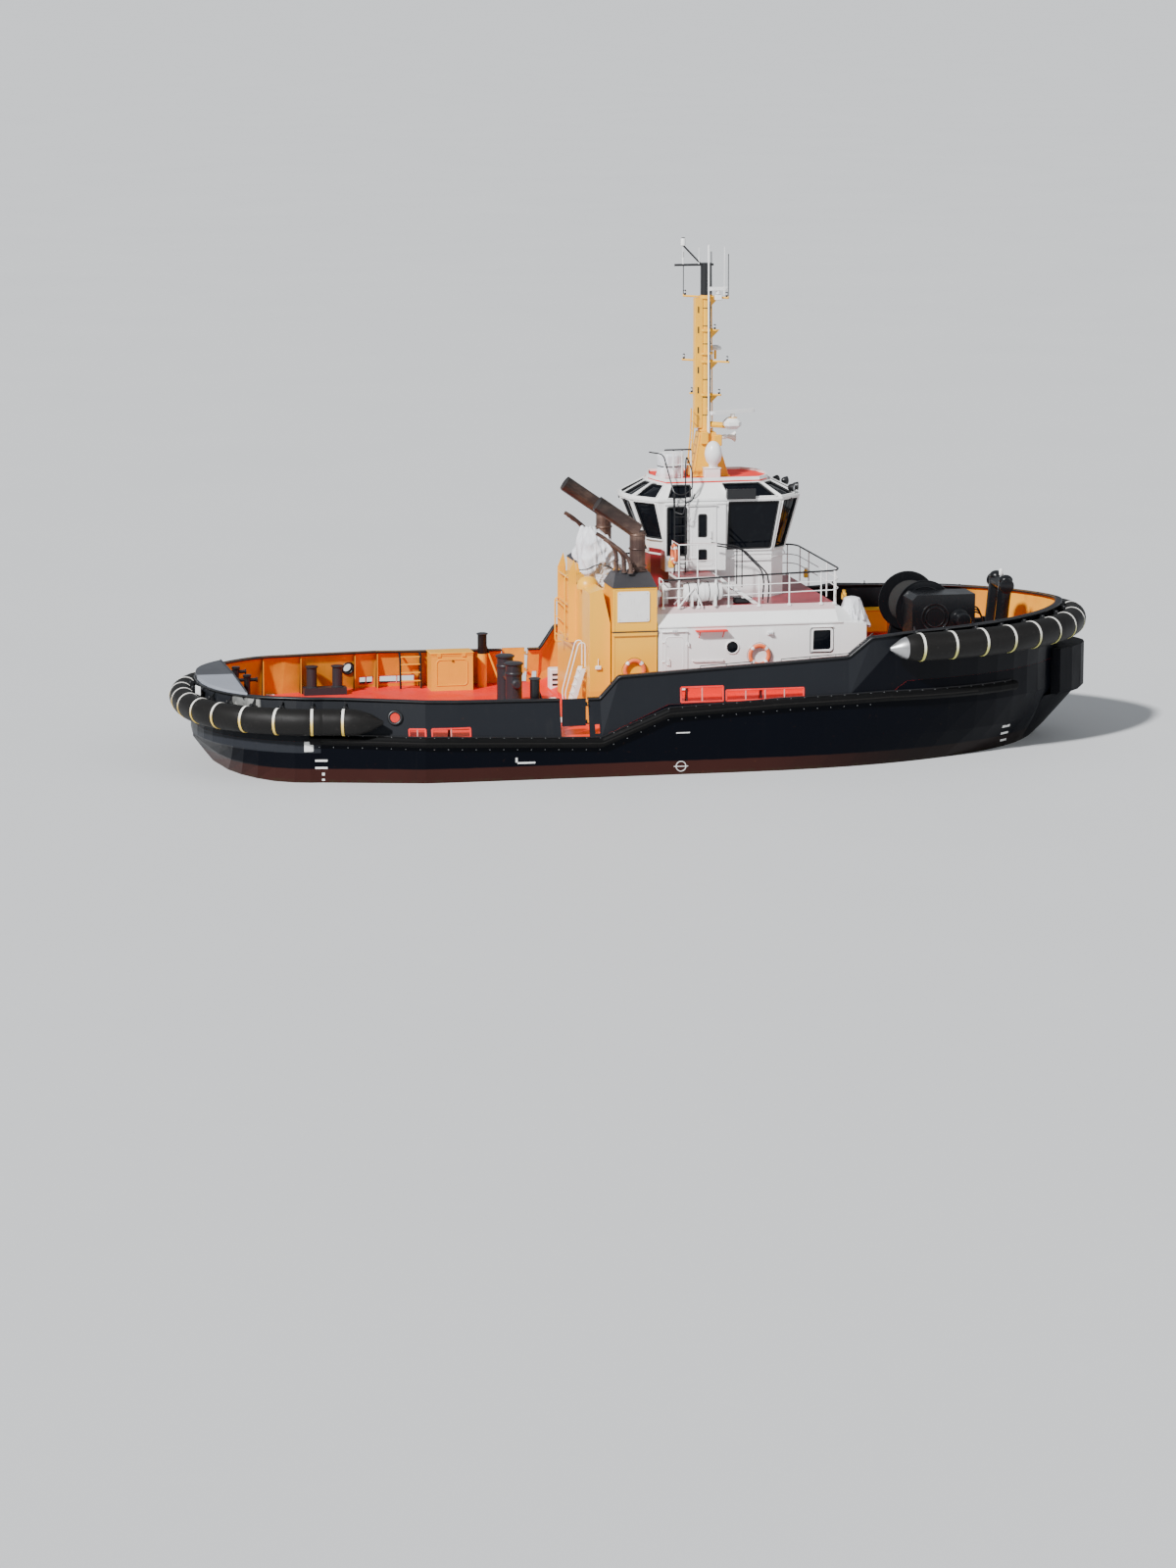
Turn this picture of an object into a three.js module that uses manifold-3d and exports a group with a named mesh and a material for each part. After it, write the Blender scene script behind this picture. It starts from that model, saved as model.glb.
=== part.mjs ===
// A compact azimuth-drive harbour tug, afloat.
// Millimetres. +X is forward, +Y is port, +Z is up.
// The origin is on the centreline amidships, at the waterline.

import * as THREE from 'three';
import { mergeVertices } from 'three/addons/utils/BufferGeometryUtils.js';
import Module from 'manifold-3d';

const wasm = await Module();
wasm.setup();

// Driving dimensions of the hull
const HALF_BEAM = 5200;
const STERN_START_X = -10500;
const STERN_LENGTH = 3360;
const STERN_HALF = 4417;
const BOW_START_X = 3500;
const BOW_LENGTH = 10062;
// How full the ends are: powers of the sine along and of the cosine across
const STERN_POWERS = [1.2, 0.838];
const BOW_POWERS = [0.704, 1.294];
const KEEL_Z = -3350;
const AFT_DECK_Z = 1250;
const SIDE_DECK_Z = 2150;
const FORE_DECK_Z = 2600;
const SEAT_GAP = 0.4;

// Deck height along the ship: [x, z]
const DECK_LINE = [
  [-14500, AFT_DECK_Z], [-2100, AFT_DECK_Z], [-100, SIDE_DECK_Z],
  [6700, SIDE_DECK_Z], [7400, FORE_DECK_Z], [14600, FORE_DECK_Z],
];

// Half breadth of the deck where the sides draw in towards the stern: [x, half]
const EDGE_HALF = [[STERN_START_X, STERN_HALF], [-7500, 5160], [-6500, HALF_BEAM]];

// Roundness of the sections below water, from V to box: [x, power]
const FULLNESS = [[-14500, 1.8], [-8500, 2], [-3500, 4], [4500, 4], [9500, 2.1], [14500, 1.4]];

// Depth of the upright plating below the deck edge: [x, depth]
const SHEER_STRAKE = [[6700, 300], [7400, 800], [14600, 900]];

// Underside of the hull on the centreline: [x, z]
const KEEL_LINE = [
  [-13950, 900], [-13500, 300], [-13100, -200], [-12600, -700], [-11200, -1150], [-8500, -1650],
  [-6000, -2600], [-4000, -3200], [-2500, KEEL_Z], [7200, KEEL_Z], [9100, -3050],
  [10700, -2300], [11900, -1250], [12650, 0], [13520, 1300], [14600, 1400],
];

// Top of the bulwark and its lean (outboard is positive): [x, z, lean]
const AFT_BULWARK_TOP = [
  [-14500, 2520, -180], [-13200, 2520, -200], [-12500, 2520, -230], [-11600, 2540, -280],
  [-9900, 2520, -300], [-6600, 2430, -300], [-3370, 2390, -300],
];
const FORE_BULWARK_TOP = [
  [-2500, 2390, -300], [-2130, 2390, -300], [-1600, 3080, -60], [5520, 3450, -60],
  [6190, 4040, 120], [7800, 4150, 120], [10850, 4230, 120], [14600, 4300, 60],
];

const BULWARK_PLATE = 60;
const CAP_RAIL_WIDTH = 220;
const CAP_RAIL_HEIGHT = 70;

// Fenders
const BOW_FENDER = { radius: 430, z: 3690, out: 489, startX: 6450, coneLength: 635, straps: 17 };
const STERN_FENDER = { radius: 400, z: 1880, out: 262, startX: -8700, coneLength: 690, straps: 15 };
const STRAP = { width: 90, proud: 22 };
// Height of the deck-edge fender along the ship: [x, z]
const SIDE_FENDER_LINE = [
  [-10900, 1310], [-8700, 1270], [-6800, 1225], [-2150, 1070], [-100, 1900], [3500, 2080],
  [6700, 2160], [11300, 2110],
];
const SIDE_FENDER = { height: 270, depth: 200, startX: -10870, endX: 11300 };

const DEGREE = Math.PI / 180;

// Helpers for numbers

function between(table, x, column = 1) {
  const last = table.length - 1;
  if (x <= table[0][0]) return table[0][column];
  if (x >= table[last][0]) return table[last][column];
  const i = table.findIndex((row) => row[0] > x);
  const [a, b] = [table[i - 1], table[i]];
  return a[column] + ((b[column] - a[column]) * (x - a[0])) / (b[0] - a[0]);
}

const deckZ = (x) => between(DECK_LINE, x);

// Helpers for solids

function solidOf(geometry) {
  const bare = geometry.index ? geometry.clone() : geometry;
  bare.deleteAttribute('normal');
  bare.deleteAttribute('uv');
  const merged = mergeVertices(bare, 1e-3);
  return new wasm.Manifold(new wasm.Mesh({
    numProp: 3,
    vertProperties: new Float32Array(merged.attributes.position.array),
    triVerts: new Uint32Array(merged.index.array),
  }));
}

function geometryOf(solid) {
  const mesh = solid.getMesh();
  const geometry = new THREE.BufferGeometry();
  geometry.setAttribute('position', new THREE.BufferAttribute(mesh.vertProperties, 3));
  geometry.setIndex(new THREE.BufferAttribute(mesh.triVerts, 1));
  geometry.computeVertexNormals();
  return geometry;
}

const join = (...solids) => solids.flat().reduce((whole, next) => whole.add(next));
const cut = (solid, ...tools) => tools.flat().reduce((rest, tool) => rest.subtract(tool), solid);

function box(x0, x1, y0, y1, z0, z1) {
  const geometry = new THREE.BoxGeometry(Math.abs(x1 - x0), Math.abs(y1 - y0), Math.abs(z1 - z0));
  geometry.translate((x0 + x1) / 2, (y0 + y1) / 2, (z0 + z1) / 2);
  return solidOf(geometry);
}

// A round bar from one point to another, tapered where the end radius is given
function rod(from, to, radius, sides = 8, endRadius = radius) {
  const a = new THREE.Vector3(...from);
  const b = new THREE.Vector3(...to);
  const geometry = new THREE.CylinderGeometry(endRadius, radius, a.distanceTo(b), sides);
  const turn = new THREE.Quaternion().setFromUnitVectors(
    new THREE.Vector3(0, 1, 0), b.clone().sub(a).normalize());
  geometry.applyQuaternion(turn);
  geometry.translate((a.x + b.x) / 2, (a.y + b.y) / 2, (a.z + b.z) / 2);
  return solidOf(geometry);
}

// An outline of [x, z] points, carried along Y
function plateXZ(outline, y0, y1) {
  const shape = new THREE.Shape(outline.map(([x, z]) => new THREE.Vector2(x, z)));
  const geometry = new THREE.ExtrudeGeometry(shape, { depth: Math.abs(y1 - y0), bevelEnabled: false });
  geometry.rotateX(Math.PI / 2);
  geometry.translate(0, Math.max(y0, y1), 0);
  return solidOf(geometry);
}

// An outline of [y, z] points, carried along X
function plateYZ(outline, x0, x1) {
  const shape = new THREE.Shape(outline.map(([y, z]) => new THREE.Vector2(y, z)));
  const geometry = new THREE.ExtrudeGeometry(shape, { depth: x1 - x0, bevelEnabled: false });
  geometry.rotateX(Math.PI / 2);
  geometry.rotateZ(Math.PI / 2);
  geometry.translate(x0, 0, 0);
  return solidOf(geometry);
}

// An outline of [x, y] points, carried along Z
function plateXY(outline, z0, z1) {
  const shape = new THREE.Shape(outline.map(([x, y]) => new THREE.Vector2(x, y)));
  const geometry = new THREE.ExtrudeGeometry(shape, { depth: z1 - z0, bevelEnabled: false });
  geometry.translate(0, 0, z0);
  return solidOf(geometry);
}

// Rings of points, joined one to the next and closed at both ends, or end to end
function loft(rings, closed = false) {
  const count = rings[0].length;
  const positions = rings.flat(2);
  const triangles = [];
  const steps = closed ? rings.length : rings.length - 1;
  for (let i = 0; i < steps; i += 1) {
    const a = i * count;
    const b = ((i + 1) % rings.length) * count;
    for (let j = 0; j < count; j += 1) {
      const k = (j + 1) % count;
      triangles.push(a + j, b + j, b + k, a + j, b + k, a + k);
    }
  }
  if (!closed) {
    const last = (rings.length - 1) * count;
    for (const face of capFaces(rings[0])) triangles.push(...face);
    for (const [a, b, c] of capFaces(rings.at(-1))) triangles.push(last + a, last + c, last + b);
  }
  if (signedVolume(positions, triangles) < 0) {
    for (let t = 0; t < triangles.length; t += 3) {
      [triangles[t + 1], triangles[t + 2]] = [triangles[t + 2], triangles[t + 1]];
    }
  }
  const geometry = new THREE.BufferGeometry();
  geometry.setAttribute('position', new THREE.Float32BufferAttribute(positions, 3));
  geometry.setIndex(triangles);
  return solidOf(geometry);
}

// Triangles that close a flat ring, wound as the ring runs
function capFaces(ring) {
  const normal = new THREE.Vector3();
  for (let i = 0; i < ring.length; i += 1) {
    const a = new THREE.Vector3(...ring[i]);
    const b = new THREE.Vector3(...ring[(i + 1) % ring.length]);
    normal.add(a.cross(b));
  }
  const [ax, ay, az] = normal.toArray().map(Math.abs);
  const drop = ax >= ay && ax >= az ? 0 : ay >= az ? 1 : 2;
  const [u, v] = [[1, 2], [2, 0], [0, 1]][drop];
  const flat = ring.map((p) => new THREE.Vector2(p[u], p[v]));
  const faces = THREE.ShapeUtils.triangulateShape(flat, []);
  const clockwise = THREE.ShapeUtils.isClockWise(flat);
  return faces.map(([a, b, c]) => {
    const area = (flat[b].x - flat[a].x) * (flat[c].y - flat[a].y)
      - (flat[c].x - flat[a].x) * (flat[b].y - flat[a].y);
    return (area < 0) === clockwise ? [a, b, c] : [a, c, b];
  });
}

function signedVolume(positions, triangles) {
  let volume = 0;
  for (let t = 0; t < triangles.length; t += 3) {
    const [a, b, c] = [0, 1, 2].map((k) => new THREE.Vector3(...positions.slice(3 * triangles[t + k],
      3 * triangles[t + k] + 3)));
    volume += a.dot(b.cross(c));
  }
  return volume;
}

// The plan of the deck edge, starboard side, from the stern centreline to the bow

function sternPlan(angle) {
  const [lengthwise, across] = STERN_POWERS;
  const reach = Math.sin(angle) ** lengthwise;
  return [STERN_START_X - STERN_LENGTH * reach, -STERN_HALF * Math.max(Math.cos(angle), 0) ** across];
}

function bowPlan(angle) {
  const [lengthwise, across] = BOW_POWERS;
  const reach = Math.sin(angle) ** lengthwise;
  return [BOW_START_X + BOW_LENGTH * reach, -HALF_BEAM * Math.max(Math.cos(angle), 0) ** across];
}

const STERN_ANGLES = [90, 82, 74, 66, 58.5, 51.5, 45, 37, 28, 18, 9];
const STRAIGHT_XS = [
  STERN_START_X, -9700, -8700, -7500, -6500, -5000, -3370, -2500, -2130, -1600, -100, 2000,
  BOW_START_X,
];
const BOW_XS = [4500, 5520, 6190, BOW_FENDER.startX, 6700, 7400, 8000, 8800];
const BOW_ANGLES = [31, 37, 43, 49, 55, 60.5, 66, 72, 79, 85.5, 90];

function bowAngleAt(x) {
  return Math.asin(((x - BOW_START_X) / BOW_LENGTH) ** (1 / BOW_POWERS[0]));
}

const EDGE_PLAN = [
  ...STERN_ANGLES.map((angle) => sternPlan(angle * DEGREE)),
  ...STRAIGHT_XS.map((x) => [x, -between(EDGE_HALF, x)]),
  ...BOW_XS.map((x) => bowPlan(bowAngleAt(x))),
  ...BOW_ANGLES.map((angle) => bowPlan(angle * DEGREE)),
];

// Each point of the edge with its outward direction
const EDGE = EDGE_PLAN.map(([x, y], i) => {
  if (i === 0) return { x, y: 0, nx: -1, ny: 0 };
  if (i === EDGE_PLAN.length - 1) return { x, y: 0, nx: 1, ny: 0 };
  const [before, after] = [EDGE_PLAN[i - 1], EDGE_PLAN[i + 1]];
  const [dx, dy] = [after[0] - before[0], after[1] - before[1]];
  const length = Math.hypot(dx, dy);
  return { x, y, nx: dy / length, ny: -dx / length };
});

// Half breadth of the deck edge at an X aft of the bow
function halfAt(x) {
  const i = EDGE.findIndex((p) => p.x > x);
  const [a, b] = [EDGE[i - 1], EDGE[i]];
  return -(a.y + ((b.y - a.y) * (x - a.x)) / (b.x - a.x));
}

const mirrored = (points) => points.map((p) => ({ ...p, y: -p.y, ny: -p.ny }));

// The edge from one X on starboard, round an end, to the same X on port
function roundStern(fromX) {
  const side = EDGE.filter((p) => p.x <= fromX + 1);
  return [...side.slice(1).reverse(), side[0], ...mirrored(side.slice(1))];
}

function roundBow(fromX) {
  const side = EDGE.filter((p) => p.x >= fromX - 1);
  return [...side, ...mirrored(side.slice(0, -1)).reverse()];
}

// A solid carried along the edge: section(p) gives [outward, z] corners at each point
function along(path, section) {
  return loft(path.map((p) => section(p).map(([out, z]) => [p.x + p.nx * out, p.y + p.ny * out, z])));
}

// The tug and its finishes

const tug = new THREE.Group();
tug.name = 'harbour_tug';

const finish = (color, roughness = 0.5, metalness = 0.1) =>
  new THREE.MeshStandardMaterial({ color, roughness, metalness });

const PAINT = {
  hull: finish(0x12161f, 0.45),
  bulwark: finish(0x3b3f47, 0.4),
  rubber: finish(0x17171a, 0.8, 0),
  deck: finish(0xc94a40, 0.7),
  yellow: finish(0xf0bd4a, 0.5),
  ochre: finish(0xd1943c, 0.55),
  white: finish(0xf2f2ef, 0.45),
  maroon: finish(0x8a2b30, 0.6),
  black: finish(0x18191c, 0.3, 0.3),
  grey: finish(0x53565c, 0.5, 0.2),
  glass: finish(0x1a2a30, 0.1, 0),
  bronze: finish(0xa9793c, 0.35, 0.9),
  exhaust: finish(0x5d4a45, 0.5, 0.5),
  canvas: finish(0xe9e9ea, 0.9, 0),
};

function add(name, solid, material) {
  const mesh = new THREE.Mesh(geometryOf(solid), material);
  mesh.name = name;
  tug.add(mesh);
  return mesh;
}

const SIDES = [['starboard', -1], ['port', 1]];

// Hull

function waterHalf(x) {
  if (x < -6000) {
    const t = Math.min((-6000 - x) / 7200, 1);
    return HALF_BEAM * Math.sqrt(1 - t ** 4);
  }
  if (x < 2000) return HALF_BEAM;
  const t = Math.min((x - 2000) / 10650, 1);
  return HALF_BEAM * (1 - t ** 2.2) ** 0.6;
}

const HULL_SECTION_STEPS = [0.12, 0.3, 0.52, 0.74, 0.9, 1];

// One half section from the keel to the deck edge, as [y, z] pairs
function hullHalfSection(p) {
  const strake = deckZ(p.x) - between(SHEER_STRAKE, p.x);
  const keel = Math.min(between(KEEL_LINE, p.x), strake - 50);
  const deck = deckZ(p.x);
  const edge = Math.max(-p.y, 1);
  const water = Math.max(Math.min(waterHalf(p.x), edge), 0.8);
  const low = Math.max(keel, -20);
  const fullness = between(FULLNESS, p.x);
  const points = HULL_SECTION_STEPS.map((t) => {
    const y = water * Math.sin((t * Math.PI) / 2);
    const z = keel + (low - keel) * (1 - (1 - (y / water) ** fullness) ** (1 / fullness));
    return [y, keel < -20 ? z : keel + 5 * t];
  });
  const mid = low + (strake - low) * 0.5;
  points.push([water + (edge - water) * 0.62, mid]);
  points.push([edge, strake]);
  points.push([edge, deck]);
  return points;
}

function hullSection(p) {
  const half = hullHalfSection(p);
  const keel = half[0][1];
  return [
    ...half.map(([y, z]) => [p.x, -y, z]),
    ...half.map(([y, z]) => [p.x, y, z]).reverse(),
    [p.x, 0, Math.min(keel, half[0][1]) - 1],
  ];
}

// Radius of the hole that a many-sided pin turns in with every corner clear
const PIN_SIDES = 48;
const PIN_CLEARANCE = 0.3;
const boreFor = (pinRadius) => pinRadius / Math.cos(Math.PI / PIN_SIDES) + PIN_CLEARANCE;

const DRIVE = {
  x: -11200, y: 2300, z: -3200, headZ: -1720, headRadius: 620, pinRadius: 250, pinLength: 200,
  podRadius: 330, shaftRadius: 90, nozzleRadius: 1300, nozzleInner: 1130, nozzleLength: 1150, clearance: 6,
};

const hullBody = loft(EDGE.map((p) => hullSection(p)));
const driveHeads = SIDES.map(([, s]) => rod([DRIVE.x, s * DRIVE.y, DRIVE.headZ],
  [DRIVE.x, s * DRIVE.y, -300], DRIVE.headRadius, 20));
const driveSockets = SIDES.map(([, s]) => rod([DRIVE.x, s * DRIVE.y, DRIVE.headZ - 10],
  [DRIVE.x, s * DRIVE.y, DRIVE.headZ + DRIVE.pinLength + 20], boreFor(DRIVE.pinRadius), PIN_SIDES));
const hull = cut(join(hullBody, driveHeads), driveSockets);
add('hull', hull, PAINT.hull);

// A solid moved a little, which a piece that lies on it is cut back to
function moved(solid, dx, dy, dz) {
  const geometry = geometryOf(solid);
  geometry.translate(dx, dy, dz);
  return solidOf(geometry);
}

const hullAbove = moved(hull, 0, 0, SEAT_GAP);
const hullBelow = moved(hull, 0, 0, -SEAT_GAP);

const skeg = cut(plateXZ([
  [-8600, -1000], [-8600, -3500], [-8200, -3800], [2500, -3800], [4200, -3360], [4200, -2800],
  [-4000, -2800]], -160, 160), hullBelow);
add('skeg', skeg, PAINT.hull);

// Lift-off hinges on an upright axis: knuckles on the leaf, each on a lug of the wall
const HINGE = { radius: 22, height: 90, lug: 30 };

// Bulwarks

function bulwarkSection(top) {
  return (p) => {
    const [z, lean] = [between(top, p.x), between(top, p.x, 2)];
    const base = deckZ(p.x) + SEAT_GAP;
    const half = CAP_RAIL_WIDTH / 2 - BULWARK_PLATE / 2;
    return [
      [-5, base], [lean, z - CAP_RAIL_HEIGHT], [lean + 35, z - CAP_RAIL_HEIGHT], [lean + 35, z],
      [lean - 2 * half + 35, z], [lean - 2 * half + 35, z - CAP_RAIL_HEIGHT],
      [lean - BULWARK_PLATE, z - CAP_RAIL_HEIGHT], [-5 - BULWARK_PLATE, base],
    ];
  };
}

// The space taken by the plating, a little proud, which a fender is cut back to
function bulwarkSpace(top) {
  return (p) => {
    const [z, lean] = [between(top, p.x), between(top, p.x, 2)];
    return [
      [-5 + SEAT_GAP, deckZ(p.x)], [lean + SEAT_GAP, z - CAP_RAIL_HEIGHT], [lean + 36, z - CAP_RAIL_HEIGHT],
      [lean + 36, z + 400], [lean - 900, z + 400], [-900, deckZ(p.x)],
    ];
  };
}

// A port through the plating: a box across the ship's side
const sidePort = (x0, x1, z0, z1, s) => box(x0, x1, s * 4300, s * 6000, z0, z1);

const aftPath = roundStern(-3370);
const forePath = roundBow(-2500);

// Freeing ports of the aft bulwark: [x0, x1]
const AFT_PORTS = [[-7960, -7480], [-7290, -6130]];
const ROUND_PORT = { x: -8350, z: 1950, radius: 170 };

const aftBulwark = cut(
  along(aftPath, bulwarkSection(AFT_BULWARK_TOP)),
  SIDES.flatMap(([, s]) => [
    ...AFT_PORTS.map(([x0, x1]) => sidePort(x0, x1, 1350, 1620, s)),
    rod([ROUND_PORT.x, s * 4300, ROUND_PORT.z], [ROUND_PORT.x, s * 6000, ROUND_PORT.z],
      ROUND_PORT.radius, 20),
  ]),
);

// Ribs on the inside of the bulwark: a gusset from the cap rail to the deck
function rib(x, s, top, bottom, width) {
  const p = { lean: between(top, x, 2), z: between(top, x) };
  const y = s * halfAt(x);
  const inward = -s;
  return plateYZ([
    [y + inward * (-p.lean + BULWARK_PLATE - 20), p.z - CAP_RAIL_HEIGHT - 5],
    [y + inward * (-p.lean + BULWARK_PLATE + 70), p.z - CAP_RAIL_HEIGHT - 5],
    [y + inward * (width + 65), bottom + SEAT_GAP],
    [y + inward * 45, bottom + SEAT_GAP],
  ], x - 15, x + 15);
}

const AFT_RIBS = [-11150, -9920, -8130, -7385, -6000, -4900, -3900];
add('bulwark_aft', join(aftBulwark, SIDES.flatMap(([, s]) => AFT_RIBS.map(
  (x) => rib(x, s, AFT_BULWARK_TOP, AFT_DECK_Z, 330)))), PAINT.bulwark);

const foreBulwark = cut(
  along(forePath, bulwarkSection(FORE_BULWARK_TOP)),
  SIDES.flatMap(([, s]) => [
    sidePort(-2330, -2180, 1330, 1600, s),
    sidePort(300, 1600, 2200, 2650, s),
    sidePort(1700, 4100, 2200, 2520, s),
  ]),
);
const FORE_RIBS = [500, 1650, 2800];
const GATE = {
  x0: -3320, x1: -2590, y: 4995, hingeX: -2556, hingeY: 4970,
  heights: [1640, 2180], postX: -2480, armClear: 14,
};
// The middle of the plating beside the gate at a height
const gatePlatingY = (z) => HALF_BEAM - 35 + (between(FORE_BULWARK_TOP, -2500, 2) * (z - AFT_DECK_Z)) / 1080;
const gateLugs = SIDES.flatMap(([, s]) => GATE.heights.flatMap((z) => {
  const [x, y, r] = [GATE.hingeX, GATE.hingeY, HINGE.radius];
  return [
    box(x - r, GATE.postX, s * (y - r), s * (y + r), z - HINGE.lug, z),
    box(x + GATE.armClear, GATE.postX, s * y, s * gatePlatingY(z), z - HINGE.lug, z),
  ];
}));
add('bulwark_fore', join(foreBulwark, gateLugs, SIDES.flatMap(([, s]) => FORE_RIBS.map(
  (x) => rib(x, s, FORE_BULWARK_TOP, SIDE_DECK_Z, 300)))), PAINT.bulwark);

// The plate over the stern bulwark, with a ridge on the centreline
const STERN_CAP_EDGE_X = -12590;
const sternCapPath = roundStern(STERN_CAP_EDGE_X - 100).filter((p) => p.x < STERN_CAP_EDGE_X);
const sternCapZ = AFT_BULWARK_TOP[0][1] + SEAT_GAP;
const sternCap = loft(sternCapPath.map((p) => {
  const lean = between(AFT_BULWARK_TOP, p.x, 2) + 30;
  const [x, y] = [p.x + p.nx * lean, p.y + p.ny * lean];
  const ridge = 90 * (1 - Math.abs(y) / STERN_HALF);
  return [
    [x, y, sternCapZ], [x, y, sternCapZ + 45 + ridge],
    [STERN_CAP_EDGE_X, y, sternCapZ + 45 + ridge], [STERN_CAP_EDGE_X, y, sternCapZ],
  ];
}));
add('stern_cap', sternCap, PAINT.grey);

// Fenders

// Arc length along a path at each of its points
function stations(path) {
  const at = [0];
  for (let i = 1; i < path.length; i += 1) {
    at.push(at[i - 1] + Math.hypot(path[i].x - path[i - 1].x, path[i].y - path[i - 1].y));
  }
  return at;
}

function pointAt(path, at, s) {
  const i = Math.min(Math.max(at.findIndex((v) => v >= s), 1), path.length - 1);
  const t = (s - at[i - 1]) / (at[i] - at[i - 1]);
  const [a, b] = [path[i - 1], path[i]];
  const mix = (key) => a[key] + (b[key] - a[key]) * t;
  const length = Math.hypot(mix('nx'), mix('ny'));
  return { x: mix('x'), y: mix('y'), nx: mix('nx') / length, ny: mix('ny') / length };
}

// A round fender with tapered ends; straps stand proud of it
function roundFender(path, fender) {
  const { out, straps } = fender;
  const at = stations(path);
  const total = at.at(-1);
  const rings = [[0, 0.12], [fender.coneLength * 0.55, 0.66], [fender.coneLength, 0.9],
    [fender.coneLength * 1.35, 1]];
  const first = fender.coneLength * 1.7;
  const pitch = (total - 2 * first) / (straps - 1);
  const proud = 1 + STRAP.proud / fender.radius;
  for (let i = 0; i < straps; i += 1) {
    const s = first + i * pitch;
    rings.push([s - STRAP.width / 2 - 1, 1], [s - STRAP.width / 2, proud], [s + STRAP.width / 2, proud],
      [s + STRAP.width / 2 + 1, 1]);
    if (i < straps - 1) rings.push([s + pitch / 2, 1]);
  }
  rings.push(...rings.slice(0, 4).map(([s, r]) => [total - s, r]).reverse());
  const SIDES_ROUND = 10;
  return loft(rings.map(([s, scale]) => {
    const p = pointAt(path, at, s);
    return Array.from({ length: SIDES_ROUND }, (_, k) => {
      const angle = (2 * Math.PI * (k + 0.5)) / SIDES_ROUND;
      const r = fender.radius * scale;
      const reach = out + r * Math.cos(angle);
      return [p.x + p.nx * reach, p.y + p.ny * reach, fender.z + r * Math.sin(angle)];
    });
  }));
}

const sternFender = cut(
  roundFender(roundStern(STERN_FENDER.startX), STERN_FENDER),
  along(roundStern(-3370), bulwarkSpace(AFT_BULWARK_TOP)),
);
add('fender_stern', sternFender, PAINT.rubber);

const bowFender = cut(
  roundFender(roundBow(BOW_FENDER.startX), BOW_FENDER),
  along(forePath, bulwarkSpace(FORE_BULWARK_TOP)),
);
add('fender_bow', bowFender, PAINT.rubber);

for (const [name, s] of SIDES) {
  const side = EDGE.filter((p) => p.x >= SIDE_FENDER.startX - 1 && p.x < SIDE_FENDER.endX);
  const path = s < 0 ? side : mirrored(side);
  const half = SIDE_FENDER.height / 2;
  const body = along(path, (p) => {
    const z = between(SIDE_FENDER_LINE, p.x);
    const back = p.x > 5500 && p.x < 7000 ? 14 : SEAT_GAP;
    return [
      [back, z - half], [SIDE_FENDER.depth * 0.7, z - half], [SIDE_FENDER.depth, z - half * 0.5],
      [SIDE_FENDER.depth, z + half * 0.5], [SIDE_FENDER.depth * 0.7, z + half], [back, z + half],
    ];
  });
  add(`fender_side_${name}`, body, PAINT.rubber);
}

// The block fender on the stem, deepest on the centreline
const STEM = { fromX: 12850, half: 1700, depth: 900, taper: 640, low: 1450, high: 2900, chamfer: 90 };
add('fender_stem', along(roundBow(STEM.fromX), (p) => {
  const depth = STEM.depth - STEM.taper * (Math.abs(p.y) / STEM.half) ** 1.5;
  return [
    [SEAT_GAP, STEM.low + 270], [SEAT_GAP, STEM.low], [depth - STEM.chamfer, STEM.low],
    [depth, STEM.low + STEM.chamfer], [depth, STEM.high], [25, STEM.high], [25, FORE_DECK_Z - 5],
    [SEAT_GAP, FORE_DECK_Z - 5],
  ];
}), PAINT.rubber);

// Azimuth drives

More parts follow.
